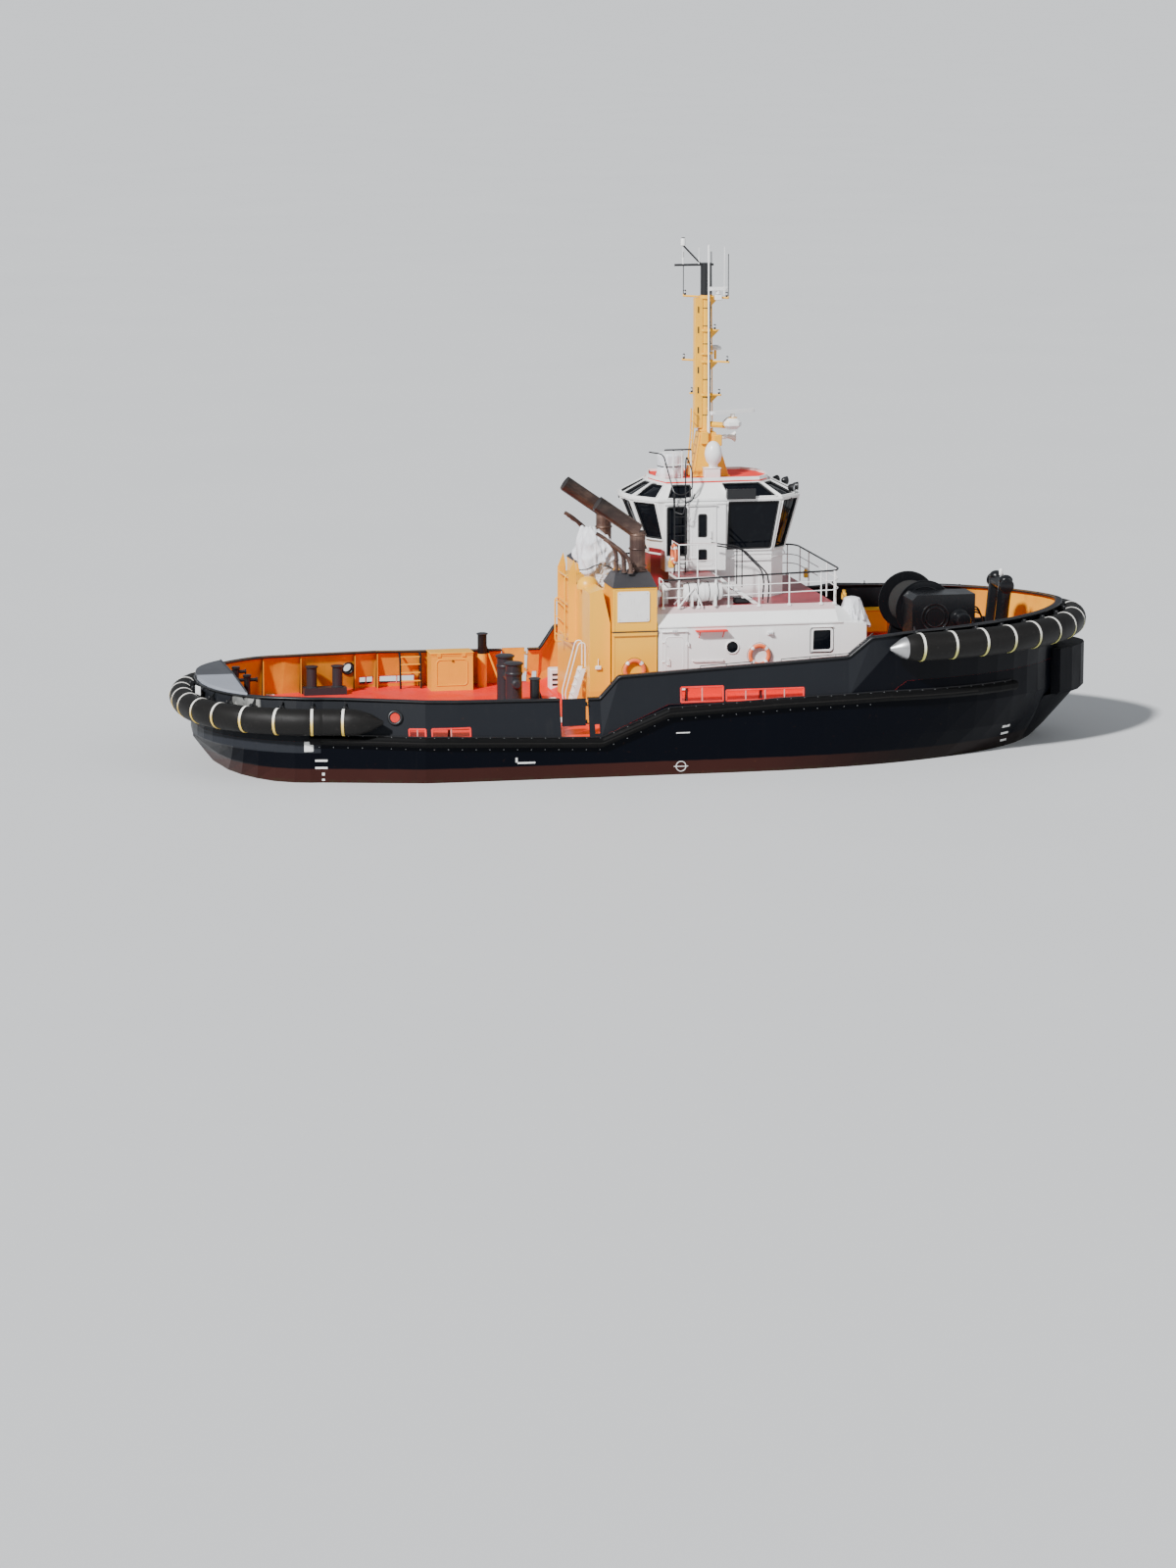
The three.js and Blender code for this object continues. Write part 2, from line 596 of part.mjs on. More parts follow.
for (const [name, s] of SIDES) {
  const [x, y] = [DRIVE.x, s * DRIVE.y];
  const top = DRIVE.headZ - DRIVE.clearance;
  const pod = join(
    rod([x - 420, y, DRIVE.z], [x + 620, y, DRIVE.z], DRIVE.podRadius, 20),
    rod([x + 600, y, DRIVE.z], [x + 980, y, DRIVE.z], DRIVE.podRadius, 20, 60),
  );
  const leg = join(
    rod([x, y, top - 160], [x, y, top], DRIVE.headRadius - 20, 20),
    rod([x, y, top - 20], [x, y, DRIVE.headZ + DRIVE.pinLength], DRIVE.pinRadius, PIN_SIDES),
    plateXY([[x - 300, y - 60], [x, y - 150], [x + 380, y - 110], [x + 520, y], [x + 380, y + 110],
      [x, y + 150], [x - 300, y + 60]], DRIVE.z, top - 100),
    pod,
  );
  const ring = (() => {
    const length = DRIVE.nozzleLength;
    const profile = [
      [DRIVE.nozzleRadius - 40, -length / 2], [DRIVE.nozzleRadius, -length * 0.3],
      [DRIVE.nozzleRadius - 20, length * 0.1], [DRIVE.nozzleRadius - 60, length / 2],
      [DRIVE.nozzleInner + 20, length / 2], [DRIVE.nozzleInner, 0], [DRIVE.nozzleInner + 60, -length * 0.42],
      [DRIVE.nozzleRadius - 40, -length / 2],
    ];
    const points = profile.map(([r, z]) => new THREE.Vector2(r, z));
    const geometry = new THREE.LatheGeometry(points, 32);
    geometry.rotateZ(Math.PI / 2);
    geometry.translate(x - 640, y, DRIVE.z);
    return solidOf(geometry);
  })();
  const stays = [
    box(x - 350, x - 110, y - 35, y + 35, DRIVE.z - DRIVE.nozzleInner - 60, DRIVE.z - 200),
    box(x - 350, x - 110, y - DRIVE.nozzleInner - 60, y + DRIVE.nozzleInner + 60,
      DRIVE.z - 35, DRIVE.z + 35),
    box(x - 700, x + 100, y - 90, y + 90, DRIVE.z + DRIVE.nozzleInner + 60, top - 100),
  ];
  const bore = rod([x - 500, y, DRIVE.z], [x - 250, y, DRIVE.z], boreFor(DRIVE.shaftRadius), PIN_SIDES);
  add(`drive_${name}`, cut(join(leg, ring, stays), bore), PAINT.bronze);
  const hubX = x - 420 - DRIVE.clearance;
  const blade = (turn) => {
    const rings = [[150, 330, 62], [560, 520, 40], [1000, 420, 24], [1100, 200, 20]].map(
      ([r, chord, pitch]) => {
        const a = pitch * DEGREE;
        const [dx, dt] = [Math.sin(a) * chord / 2, Math.cos(a) * chord / 2];
        const thick = 26 + (1100 - r) * 0.05;
        const corner = (u, t) => {
          const [px, pt] = [u * dx + t * Math.cos(a), -u * dt + t * Math.sin(a)];
          const cy = pt * Math.cos(turn) - r * Math.sin(turn);
          const cz = pt * Math.sin(turn) + r * Math.cos(turn);
          return [hubX - 220 + px * 0.62, y + cy, DRIVE.z + cz];
        };
        return [corner(-1, 0), corner(0, -thick), corner(1, 0), corner(0, thick)];
      });
    return loft(rings);
  };
  add(`propeller_${name}`, join(
    rod([hubX - 440, y, DRIVE.z], [hubX, y, DRIVE.z], 240, 20, 300),
    rod([hubX - 560, y, DRIVE.z], [hubX - 430, y, DRIVE.z], 90, 20, 240),
    rod([hubX - 20, y, DRIVE.z], [hubX + 150, y, DRIVE.z], DRIVE.shaftRadius, PIN_SIDES),
    [0, 1, 2, 3].map((k) => blade((k + 0.5) * Math.PI / 2)),
  ), PAINT.bronze);
}

// Deckhouse

const HOUSE = {
  x0: -60, x1: 6450, half: 3600, wallTop: 4250, topHalf: 3000, top: 4780, topX1: 5560, wall: 80,
};

// The house's outer form, shrunk by the wall thickness for its hollow
function houseForm(shrink) {
  const ring = (x, drop) => {
    const wallTop = Math.min(HOUSE.wallTop, HOUSE.top - drop) - shrink * 0.4;
    const top = HOUSE.top - drop - shrink;
    return [
      [x, -HOUSE.half + shrink, SIDE_DECK_Z + SEAT_GAP - (shrink ? 50 : 0)],
      [x, -HOUSE.half + shrink, Math.min(wallTop, top - 5)], [x, -HOUSE.topHalf + shrink * 0.6, top],
      [x, HOUSE.topHalf - shrink * 0.6, top], [x, HOUSE.half - shrink, Math.min(wallTop, top - 5)],
      [x, HOUSE.half - shrink, SIDE_DECK_Z + SEAT_GAP - (shrink ? 50 : 0)],
    ];
  };
  return loft([ring(HOUSE.x0 + shrink, 0), ring(HOUSE.topX1 - shrink * 0.5, 0),
    ring(HOUSE.x1 - shrink, HOUSE.top - HOUSE.wallTop + 60)]);
}

const HOUSE_DOOR = { x0: 90, x1: 780, z0: 2360, z1: 4030, leaf: 60 };
const HOUSE_WINDOW = { x0: 4740, x1: 5360, z0: 3390, z1: 4060 };
const doorHeights = (d) => [d.z0 + 260, d.z1 - 350];
const doorHole = (d, y, gap) => box(d.x0 - gap, d.x1 + gap, y - 400, y + 400, d.z0 - gap, d.z1 + gap);

const houseHoles = SIDES.flatMap(([, s]) => [
  doorHole(HOUSE_DOOR, s * HOUSE.half, 12),
  box(HOUSE_WINDOW.x0, HOUSE_WINDOW.x1, s * 3300, s * 3900, HOUSE_WINDOW.z0, HOUSE_WINDOW.z1),
  rod([2240, s * 3300, 3580], [2240, s * 3900, 3580], 170, 20),
]);
const houseLugs = SIDES.flatMap(([, s]) => lugs(HOUSE_DOOR.x1 + 90, s * (HOUSE.half + 50),
  doorHeights(HOUSE_DOOR), HOUSE_DOOR.x1 + 90, s * (HOUSE.half - 20)));
add('deckhouse', join(cut(houseForm(0), houseForm(HOUSE.wall), houseHoles), houseLugs), PAINT.white);

function knuckles(x, y, heights, plateX, plateY) {
  return heights.flatMap((z) => [
    rod([x, y, z + SEAT_GAP], [x, y, z + HINGE.height], HINGE.radius, 10),
    box(x, plateX, y - 9, plateY, z + 10, z + HINGE.height - 10),
  ]);
}

function lugs(x, y, heights, wallX, wallY) {
  return heights.map((z) => box(Math.min(x - HINGE.radius, wallX), Math.max(x + HINGE.radius, wallX),
    y + Math.sign(y - wallY || 1) * HINGE.radius, wallY, z - HINGE.lug, z));
}

for (const [name, s] of SIDES) {
  const d = HOUSE_DOOR;
  const outer = s * HOUSE.half;
  add(`deckhouse_door_${name}`, join(
    knuckles(d.x1 + 90, outer + s * 50, doorHeights(d), d.x1 + 20, outer + s * 20),
    box(d.x0, d.x1, outer, outer - s * d.leaf, d.z0, d.z1),
    box(d.x0 - 60, d.x1 + 60, outer + s * 6, outer + s * 30, d.z0 - 50, d.z1 + 50),
    box(d.x0 + 20, d.x1 - 20, outer, outer + s * 8, d.z0 + 20, d.z1 - 20),
  ), PAINT.white);
  const w = HOUSE_WINDOW;
  add(`deckhouse_glass_${name}`, box(w.x0 + 1, w.x1 - 1, outer - s * 20, outer - s * 45,
    w.z0 + SEAT_GAP, w.z1 - 1), PAINT.glass);
}

// Aft house with the two casings

const CASING = { x0: -1450, x1: -110, inner: 2150, half: 3600, top: 5500, capTop: 5840 };
const AFT_HOUSE = { x0: -2060, half: 2140, top: 5250 };
const CASING_GUTTER = { low: 4030, high: 4130 };
const STACK = { x: -500, y: 2560, radius: 245, kneeZ: 7080, tipZ: 7950, sweep: 1250 };
// Side outline of the ventilator trunk, whose fore edge leans on the casing: [x, z]
const TRUNK = { inner: 2160, outer: 3300, outline: [
  [-2130, AFT_DECK_Z], [-1490, AFT_DECK_Z], [-1490, 4370], [-1740, 5440], [-2130, 5310],
] };
const FIN = { x0: -2310, y: 850, low: 3450, shoulder: 5640, peak: 6000, thickness: 40 };

add('aft_house', cut(join(
  box(AFT_HOUSE.x0, CASING.x1, -AFT_HOUSE.half, AFT_HOUSE.half, AFT_DECK_Z, AFT_HOUSE.top),
), hullAbove), PAINT.ochre);

for (const [name, s] of SIDES) {
  const [inner, outer] = [s * CASING.inner, s * CASING.half];
  const mid = (inner + outer) / 2;
  add(`casing_${name}`, cut(join(
    box(CASING.x0, CASING.x1, inner, outer, AFT_DECK_Z, CASING.top),
    box(CASING.x0 - 20, CASING.x1, outer - s * 20, outer + s * 60, CASING_GUTTER.low, CASING_GUTTER.high),
  ), hullAbove), PAINT.yellow);
  const cap = loft([
    [[CASING.x0 - 40, inner, CASING.top + SEAT_GAP], [CASING.x1, inner, CASING.top + SEAT_GAP],
      [CASING.x1, outer + s * 40, CASING.top + SEAT_GAP],
      [CASING.x0 - 40, outer + s * 40, CASING.top + SEAT_GAP]],
    [[CASING.x0 + 200, inner, CASING.capTop], [CASING.x1 - 60, inner, CASING.capTop],
      [CASING.x1 - 60, mid, CASING.capTop], [CASING.x0 + 200, mid, CASING.capTop]],
  ]);
  const y = s * STACK.y;
  const exhaust = join(
    rod([STACK.x, y, CASING.capTop - 60], [STACK.x, y, STACK.kneeZ], STACK.radius, 16),
    rod([STACK.x, y, STACK.kneeZ], [STACK.x - STACK.sweep, y, STACK.tipZ], STACK.radius, 16),
  );
  const tip = plateXZ([[-3400, 9500], [-3400, 6000], [-1840, 7550], [-1940, 8450]], s * 2000, s * 3200);
  add(`casing_cap_${name}`, join(cap, cut(exhaust, tip)), PAINT.exhaust);
}

// The ventilator trunk stands aft of the starboard casing only
add('vent_trunk_starboard', cut(plateXZ(TRUNK.outline, -TRUNK.outer, -TRUNK.inner), hullAbove), PAINT.yellow);

// Two upright fins on the aft face, tied by bars
const finFore = AFT_HOUSE.x0 - SEAT_GAP;
add('fin_plates', join(
  SIDES.map(([, s]) => plateXZ([
    [FIN.x0, FIN.low], [finFore, FIN.low], [finFore, FIN.shoulder], [finFore - 70, FIN.peak],
    [FIN.x0, FIN.shoulder - 80],
  ], s * (FIN.y - FIN.thickness / 2), s * (FIN.y + FIN.thickness / 2))),
  [3520, 4560, 5400].map((z) => box(FIN.x0 + 20, FIN.x0 + 70, -FIN.y, FIN.y, z, z + 60)),
), PAINT.yellow);

const GEAR_Z = AFT_HOUSE.top + SEAT_GAP;
add('covered_gear', loft([
  [[-2050, -1500, GEAR_Z], [-900, -1500, GEAR_Z], [-900, 600, GEAR_Z], [-2050, 600, GEAR_Z]],
  [[-2050, -1500, 5900], [-900, -1500, 5900], [-900, 600, 5900], [-2050, 600, 5900]],
  [[-1900, -1300, 6850], [-1100, -1300, 6850], [-1100, 300, 6900], [-1900, 300, 6900]],
]), PAINT.canvas);

// Wheelhouse: rings of the starboard half, from aft to forward, as [x, y]

const WHEELHOUSE_RINGS = {
  sill: { z: 6150, half: [[200, 0], [300, -750], [700, -1500], [3950, -1500], [4450, -900], [4600, 0]] },
  band: { z: 7880, half: [[-500, 0], [-380, -900], [300, -1800], [4200, -1800], [4900, -1100], [5050, 0]] },
  roof: { z: 8355, half: [[380, 0], [480, -600], [660, -1300], [3600, -1250], [3960, -750], [4080, 0]] },
};
const BASE_Z = HOUSE.top + SEAT_GAP;
const CABIN_FLOOR_Z = 5700;

function fullRing(half, z) {
  const port = half.slice(1, -1).map(([x, y]) => [x, -y, z]).reverse();
  return [...half.map(([x, y]) => [x, y, z]), ...port];
}

function shrunk(half, by) {
  const [x0, x1] = [half[0][0], half.at(-1)[0]];
  const mid = (x0 + x1) / 2;
  return half.map(([x, y]) => [
    mid + (x - mid) * (1 - (2 * by) / (x1 - x0)), y * (1 - by / 1500)]);
}

const { sill, band, roof } = WHEELHOUSE_RINGS;
const WALL = 90;
// The part of the cabin that stands out at the doors
const BAY = { x0: 520, x1: 2420, half: 1850, drop: 60 };

add('wheelhouse_base', cut(
  loft([fullRing(sill.half, BASE_Z), fullRing(sill.half, CABIN_FLOOR_Z)]),
  loft([fullRing(shrunk(sill.half, WALL), BASE_Z - 10),
    fullRing(shrunk(sill.half, WALL), CABIN_FLOOR_Z - 80)]),
), PAINT.white);

const cabinOuter = join(
  loft([fullRing(sill.half, CABIN_FLOOR_Z + SEAT_GAP), fullRing(sill.half, sill.z),
    fullRing(band.half, band.z), fullRing(roof.half, roof.z)]),
  box(BAY.x0, BAY.x1, -BAY.half, BAY.half, CABIN_FLOOR_Z + SEAT_GAP, band.z - BAY.drop),
);
const cabinInner = join(
  loft([fullRing(shrunk(sill.half, WALL), CABIN_FLOOR_Z - 10), fullRing(shrunk(sill.half, WALL), sill.z),
    fullRing(shrunk(band.half, WALL), band.z), fullRing(shrunk(roof.half, WALL), roof.z + 10)]),
  box(BAY.x0 + WALL, BAY.x1 - WALL, -BAY.half + WALL, BAY.half - WALL, CABIN_FLOOR_Z - 10,
    band.z - BAY.drop - WALL),
);

// A window through a wall between two rings: from one side of the panel to the other
function windowCut(low, high, i, [u0, u1], [v0, v1]) {
  const point = (ring, u) => {
    const [a, b] = [ring.half[i], ring.half[i + 1]];
    return new THREE.Vector3(a[0] + (b[0] - a[0]) * u, a[1] + (b[1] - a[1]) * u, ring.z);
  };
  const corner = (u, v) => point(low, u).lerp(point(high, u), v);
  const corners = [corner(u0, v0), corner(u1, v0), corner(u1, v1), corner(u0, v1)];
  const normal = corners[1].clone().sub(corners[0]).cross(corners[2].clone().sub(corners[0])).normalize();
  const ring = (d) => corners.map((c) => c.clone().addScaledVector(normal, d).toArray());
  return { cut: loft([ring(-260), ring(260)]), pane: loft([ring(WALL * 0.25), ring(WALL * 0.5)]), corners };
}

const mirrorY = (solid) => {
  const geometry = geometryOf(solid);
  geometry.scale(1, -1, 1);
  const index = geometry.index.array;
  for (let t = 0; t < index.length; t += 3) [index[t + 1], index[t + 2]] = [index[t + 2], index[t + 1]];
  return solidOf(geometry);
};

// Panel, lowest and highest share of its length and height: one row for each opening
const WINDOWS = [
  { low: sill, high: band, panel: 0, u: [0.06, 0.92], v: [0.06, 0.94] },
  { low: sill, high: band, panel: 1, u: [0.1, 0.88], v: [0.3, 0.94] },
  { low: sill, high: band, panel: 2, u: [0.57, 0.98], v: [0.09, 0.95] },
  { low: sill, high: band, panel: 3, u: [0.07, 0.93], v: [0.09, 0.95] },
  { low: sill, high: band, panel: 4, u: [0.06, 0.95], v: [0.09, 0.95] },
  { low: band, high: roof, panel: 0, u: [0.06, 0.92], v: [0.12, 0.84] },
  { low: band, high: roof, panel: 1, u: [0.1, 0.88], v: [0.12, 0.84] },
  { low: band, high: roof, panel: 2, u: [0.08, 0.26], v: [0.12, 0.84] },
  { low: band, high: roof, panel: 2, u: [0.59, 0.97], v: [0.1, 0.88] },
  { low: band, high: roof, panel: 3, u: [0.1, 0.9], v: [0.12, 0.84] },
  { low: band, high: roof, panel: 4, u: [0.1, 0.95], v: [0.12, 0.84] },
].map((w) => windowCut(w.low, w.high, w.panel, w.u, w.v));

const CABIN_DOOR = { x0: 1290, x1: 2080, z0: 5790, z1: 7640, leaf: 60, y: 1850 };
const BAY_WINDOW = { x0: 585, x1: 1180, z0: 6200, z1: 7680 };
const cabinHoles = [
  ...WINDOWS.flatMap((w) => [w.cut, mirrorY(w.cut)]),
  ...SIDES.flatMap(([, s]) => [
    doorHole(CABIN_DOOR, s * CABIN_DOOR.y, 12),
    box(BAY_WINDOW.x0, BAY_WINDOW.x1, s * 1600, s * 2000, BAY_WINDOW.z0, BAY_WINDOW.z1),
  ]),
];
const cabinLugs = SIDES.flatMap(([, s]) => lugs(CABIN_DOOR.x0 - 70, s * (CABIN_DOOR.y + 46),
  doorHeights(CABIN_DOOR), CABIN_DOOR.x0 - 70, s * (CABIN_DOOR.y - 20)));
add('wheelhouse_cabin', join(cut(cabinOuter, cabinInner, cabinHoles), cabinLugs), PAINT.white);
add('wheelhouse_roof', join(
  loft([fullRing(roof.half.map(([x, y]) => [x, y * 1.02]), roof.z + SEAT_GAP),
    fullRing(roof.half.map(([x, y]) => [x, y * 1.02]), roof.z + 70)]),
), PAINT.deck);

for (const [name, s] of SIDES) {
  const d = CABIN_DOOR;
  const outer = s * d.y;
  add(`wheelhouse_door_${name}`, cut(join(
    knuckles(d.x0 - 70, outer + s * 46, doorHeights(d), d.x0, outer + s * 16),
    box(d.x0, d.x1, outer, outer - s * d.leaf, d.z0, d.z1),
    box(d.x0 - 40, d.x1 + 40, outer + s * 6, outer + s * 26, d.z0 - 30, d.z1 + 30),
    box(d.x0 + 20, d.x1 - 20, outer, outer + s * 8, d.z0 + 20, d.z1 - 20),
  ), [[6750, 7440], [6000, 6350]].map(([z0, z1]) => box(d.x0 + 270, d.x0 + 520, outer - s * 200,
    outer + s * 200, z0, z1))), PAINT.white);
}

// Platforms and stairs at the wheelhouse doors

for (const [name, s] of SIDES) {
  const y0 = s * (CABIN_DOOR.y + 0.4);
  const y1 = s * 3000;
  add(`platform_${name}`, join(
    box(640, 1900, y0, y1 + s * 40, 5600, 5680),
    rod([700, y1, 5650], [700, y1, 6680], 22), rod([1280, y1, 5650], [1280, y1, 6680], 22),
    rod([1860, y1, 5650], [1860, y1, 6680], 22),
    rod([680, y1, 6680], [1880, y1, 6680], 25), rod([680, y1, 6180], [1880, y1, 6180], 18),
    rod([700, y1, 6680], [700, s * 2100, 6680], 25), rod([700, y1, 6180], [700, s * 2100, 6180], 18),
    rod([700, s * 2100, 5650], [700, s * 2100, 6700], 22),
    rod([700, y1, BASE_Z], [700, y1, 5650], 40), rod([1860, y1, BASE_Z], [1860, y1, 5650], 40),
    [0, 1].map((k) => plateXZ([[1860, 5640], [3060, BASE_Z], [3240, BASE_Z], [1960, 5680]],
      s * (2150 + 700 * k), s * (2180 + 700 * k))),
    [0, 1, 2].map((k) => box(2120 + 290 * k, 2340 + 290 * k, s * 2160, s * 2880,
      5410 - 220 * k, 5440 - 220 * k)),
  ), PAINT.maroon);
}

// Mast

const MAST = { x: 2180, baseZ: roof.z + 70 + SEAT_GAP, footTop: 9780, radius: 170, top: 14970 };

const SCANNERS = [
  { name: 'radar_scanner_low', x: 2870, y: -750, z: 10280, length: 1630, turn: 23 },
  { name: 'radar_scanner_high', x: 2470, y: -450, z: 14040, length: 560, turn: 3 },
];

// Crosstrees: [height, reach along and across]
const CROSSTREES = [[10930, 410], [11960, 620], [12920, 290], [13930, 595]];
const LOW_ARM_Z = SCANNERS[0].z - 270;
const HIGH_ARM_Z = SCANNERS[1].z - 80;

add('mast', join(
  loft([
    [[1680, -480, MAST.baseZ], [2830, -480, MAST.baseZ], [2830, 480, MAST.baseZ], [1680, 480, MAST.baseZ]],
    [[1950, -260, MAST.footTop], [2450, -260, MAST.footTop], [2450, 260, MAST.footTop],
      [1950, 260, MAST.footTop]],
  ]),
  rod([MAST.x, 0, MAST.footTop - 100], [MAST.x, 0, MAST.top], MAST.radius, 16),
  CROSSTREES.map(([z, reach]) => join(
    rod([MAST.x, 0, z - 40], [MAST.x, 0, z + 40], 230, 16),
    rod([MAST.x - reach, reach * 0.9, z], [MAST.x + reach, -reach * 0.9, z], 30),
  )),
  rod([MAST.x, 0, LOW_ARM_Z], [SCANNERS[0].x, SCANNERS[0].y, LOW_ARM_Z], 90, 8),
  rod([SCANNERS[0].x, SCANNERS[0].y, LOW_ARM_Z - 80],
    [SCANNERS[0].x, SCANNERS[0].y, SCANNERS[0].z - SEAT_GAP], 150, 14),
  rod([MAST.x, 0, HIGH_ARM_Z], [SCANNERS[1].x, SCANNERS[1].y, HIGH_ARM_Z], 30),
  rod([SCANNERS[1].x, SCANNERS[1].y, HIGH_ARM_Z - 40],
    [SCANNERS[1].x, SCANNERS[1].y, SCANNERS[1].z - SEAT_GAP], 60, 12),
  rod([MAST.x - 990, 0, 14920], [MAST.x + 240, 0, 14920], 35),
  rod([MAST.x - 120, 0, 14900], [MAST.x - 720, 0, 15520], 28),
  rod([MAST.x - 720, 0, 15510], [MAST.x - 720, 0, 15760], 60, 8),
  rod([MAST.x - 590, 530, 13930], [MAST.x - 590, 530, 15280], 14, 6),
  rod([MAST.x + 590, -530, 13930], [MAST.x + 590, -530, 15280], 14, 6),
  rod([2470, 290, 9780], [2410, 270, 15300], 16, 6),
  rod([2330, 200, 9800], [2480, 300, 9800], 30, 6),
), PAINT.yellow);

for (const scanner of SCANNERS) {
  const half = scanner.length / 2;
  const geometry = geometryOf(join(
    box(-half, half, -55, 55, 120, 230), rod([0, 0, 0], [0, 0, 130], 70, 12)));
  geometry.rotateZ(scanner.turn * DEGREE);
  geometry.translate(scanner.x, scanner.y, scanner.z);
  add(scanner.name, solidOf(geometry), PAINT.white);
}

// Roof gear

const BASKET = { xs: [660, 930, 1200, 1480], y: -1130, top: 9360, mid: 8900 };
add('roof_rails', join(
  box(BASKET.xs[0], BASKET.xs.at(-1), BASKET.y - 20, BASKET.y + 20, MAST.baseZ, MAST.baseZ + 40),
  BASKET.xs.map((x) => rod([x, BASKET.y, MAST.baseZ + 30], [x, BASKET.y, BASKET.top], 20)),
  [[BASKET.top, 24], [BASKET.mid, 16]].map(([z, radius]) => rod([BASKET.xs[0], BASKET.y, z],
    [BASKET.xs.at(-1), BASKET.y, z], radius)),
), PAINT.white);
add('roof_monitor', join(
  rod([1010, -300, MAST.baseZ], [1010, -300, 9110], 390, 16),
  rod([1010, -300, 9080], [1010, -300, 9190], 415, 16)), PAINT.canvas);

// Winch

const WINCH = { x: 8980, z: 4150, drum: 560, flange: 930, half: 1050, pin: 120 };
const GEARBOX = { x0: 8250, x1: 10260, y: -2300, low: 3000, high: 4800, chamfer: 160 };
const cheeks = [-1, 1].map((s) => plateXZ([
  [WINCH.x - 700, FORE_DECK_Z + SEAT_GAP], [WINCH.x + 700, FORE_DECK_Z + SEAT_GAP],
  [WINCH.x + 220, WINCH.z + 240], [WINCH.x - 220, WINCH.z + 240],
], s * (WINCH.half + 20), s * (WINCH.half + 160)));
add('winch_frame', cut(join(
  cheeks,
  box(WINCH.x - 900, WINCH.x + 900, -WINCH.half - 160, WINCH.half + 160, FORE_DECK_Z + SEAT_GAP, 2780),
  plateXZ([
    [GEARBOX.x0, GEARBOX.low], [GEARBOX.x1, GEARBOX.low], [GEARBOX.x1, GEARBOX.high],
    [GEARBOX.x0 + GEARBOX.chamfer, GEARBOX.high], [GEARBOX.x0, GEARBOX.high - GEARBOX.chamfer],
  ], GEARBOX.y, -WINCH.half - 120),
  box(GEARBOX.x0 + 200, GEARBOX.x1 - 200, -2100, -1400, FORE_DECK_Z + SEAT_GAP, GEARBOX.low + 50),
), rod([WINCH.x, -WINCH.half - 170, WINCH.z], [WINCH.x, WINCH.half + 170, WINCH.z],
  boreFor(WINCH.pin), PIN_SIDES)), PAINT.black);
add('winch_drum', join(
  rod([WINCH.x, -WINCH.half, WINCH.z], [WINCH.x, WINCH.half, WINCH.z], WINCH.drum, 28),
  [-1, 1].map((s) => rod([WINCH.x, s * (WINCH.half - 50), WINCH.z], [WINCH.x, s * WINCH.half, WINCH.z],
    WINCH.flange, 32)),
  rod([WINCH.x, -WINCH.half - 120, WINCH.z], [WINCH.x, WINCH.half + 120, WINCH.z], WINCH.pin, PIN_SIDES),
), PAINT.black);

const STAPLE = { x: 11500, y: 520, rake: 250, top: 4920 };
const stapleZ = FORE_DECK_Z + SEAT_GAP;
add('towing_staple', cut(join(
  SIDES.map(([, s]) => rod([STAPLE.x, s * STAPLE.y, stapleZ],
    [STAPLE.x + STAPLE.rake, s * STAPLE.y, STAPLE.top], 215, 14)),
  rod([STAPLE.x + STAPLE.rake - 20, -740, STAPLE.top - 150],
    [STAPLE.x + STAPLE.rake - 20, 740, STAPLE.top - 150], 200, 14),
  box(STAPLE.x - 400, STAPLE.x + 600, -800, 800, stapleZ, stapleZ + 60),
), hullAbove), PAINT.black);

// Aft deck fittings

const aftZ = AFT_DECK_Z + SEAT_GAP;
add('towing_bitt', join(
  [-1, 1].map((s) => rod([-4000, s * 750, aftZ], [-4000, s * 750, 2830], 255, 20)),
  rod([-4000, -1250, 2240], [-4000, 1250, 2240], 130, 16),
  box(-4400, -3600, -1100, 1100, aftZ, aftZ + 50),
), PAINT.grey);

for (const [name, s] of SIDES) {
  add(`bollard_aft_${name}`, join(
    box(-9870, -8510, s * 3800, s * 4230, aftZ, aftZ + 230),
    [-9600, -8780].map((x) => rod([x, s * 4020, aftZ + 200], [x, s * 4020, 2150], 165, 16)),
  ), PAINT.grey);
  add(`side_post_${name}`, cut(join(
    rod([-4050, s * 4480, aftZ], [-4050, s * 4480, 2950], 150, 16),
    rod([-4050, s * 4480, 2880], [-3450, s * 4480, aftZ], 35),
  ), hullAbove), PAINT.black);
  add(`bulwark_gate_${name}`, join(
    box(GATE.x0, GATE.x1, s * (GATE.y - 20), s * (GATE.y + 20), 1560, 2390),
    knuckles(GATE.hingeX, s * GATE.hingeY, GATE.heights, GATE.x1 - 20, s * (GATE.y + 10)),
  ), PAINT.bulwark);
}
add('locker_port', box(-5800, -4450, 3900, 4650, aftZ, 2420), PAINT.ochre);

export default tug;
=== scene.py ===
"""Finishes and fittings of a compact harbour tug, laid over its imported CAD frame.

Everything is in metres in the CAD's frame: +X forward, +Y port, +Z up, with the origin on the
centreline amidships at the waterline.
"""

import logging
import math
from dataclasses import dataclass, field
from enum import Enum
from typing import Any

import bpy
import numpy as np
from mathutils import Matrix
from mathutils.bvhtree import BVHTree
from numpy.typing import NDArray


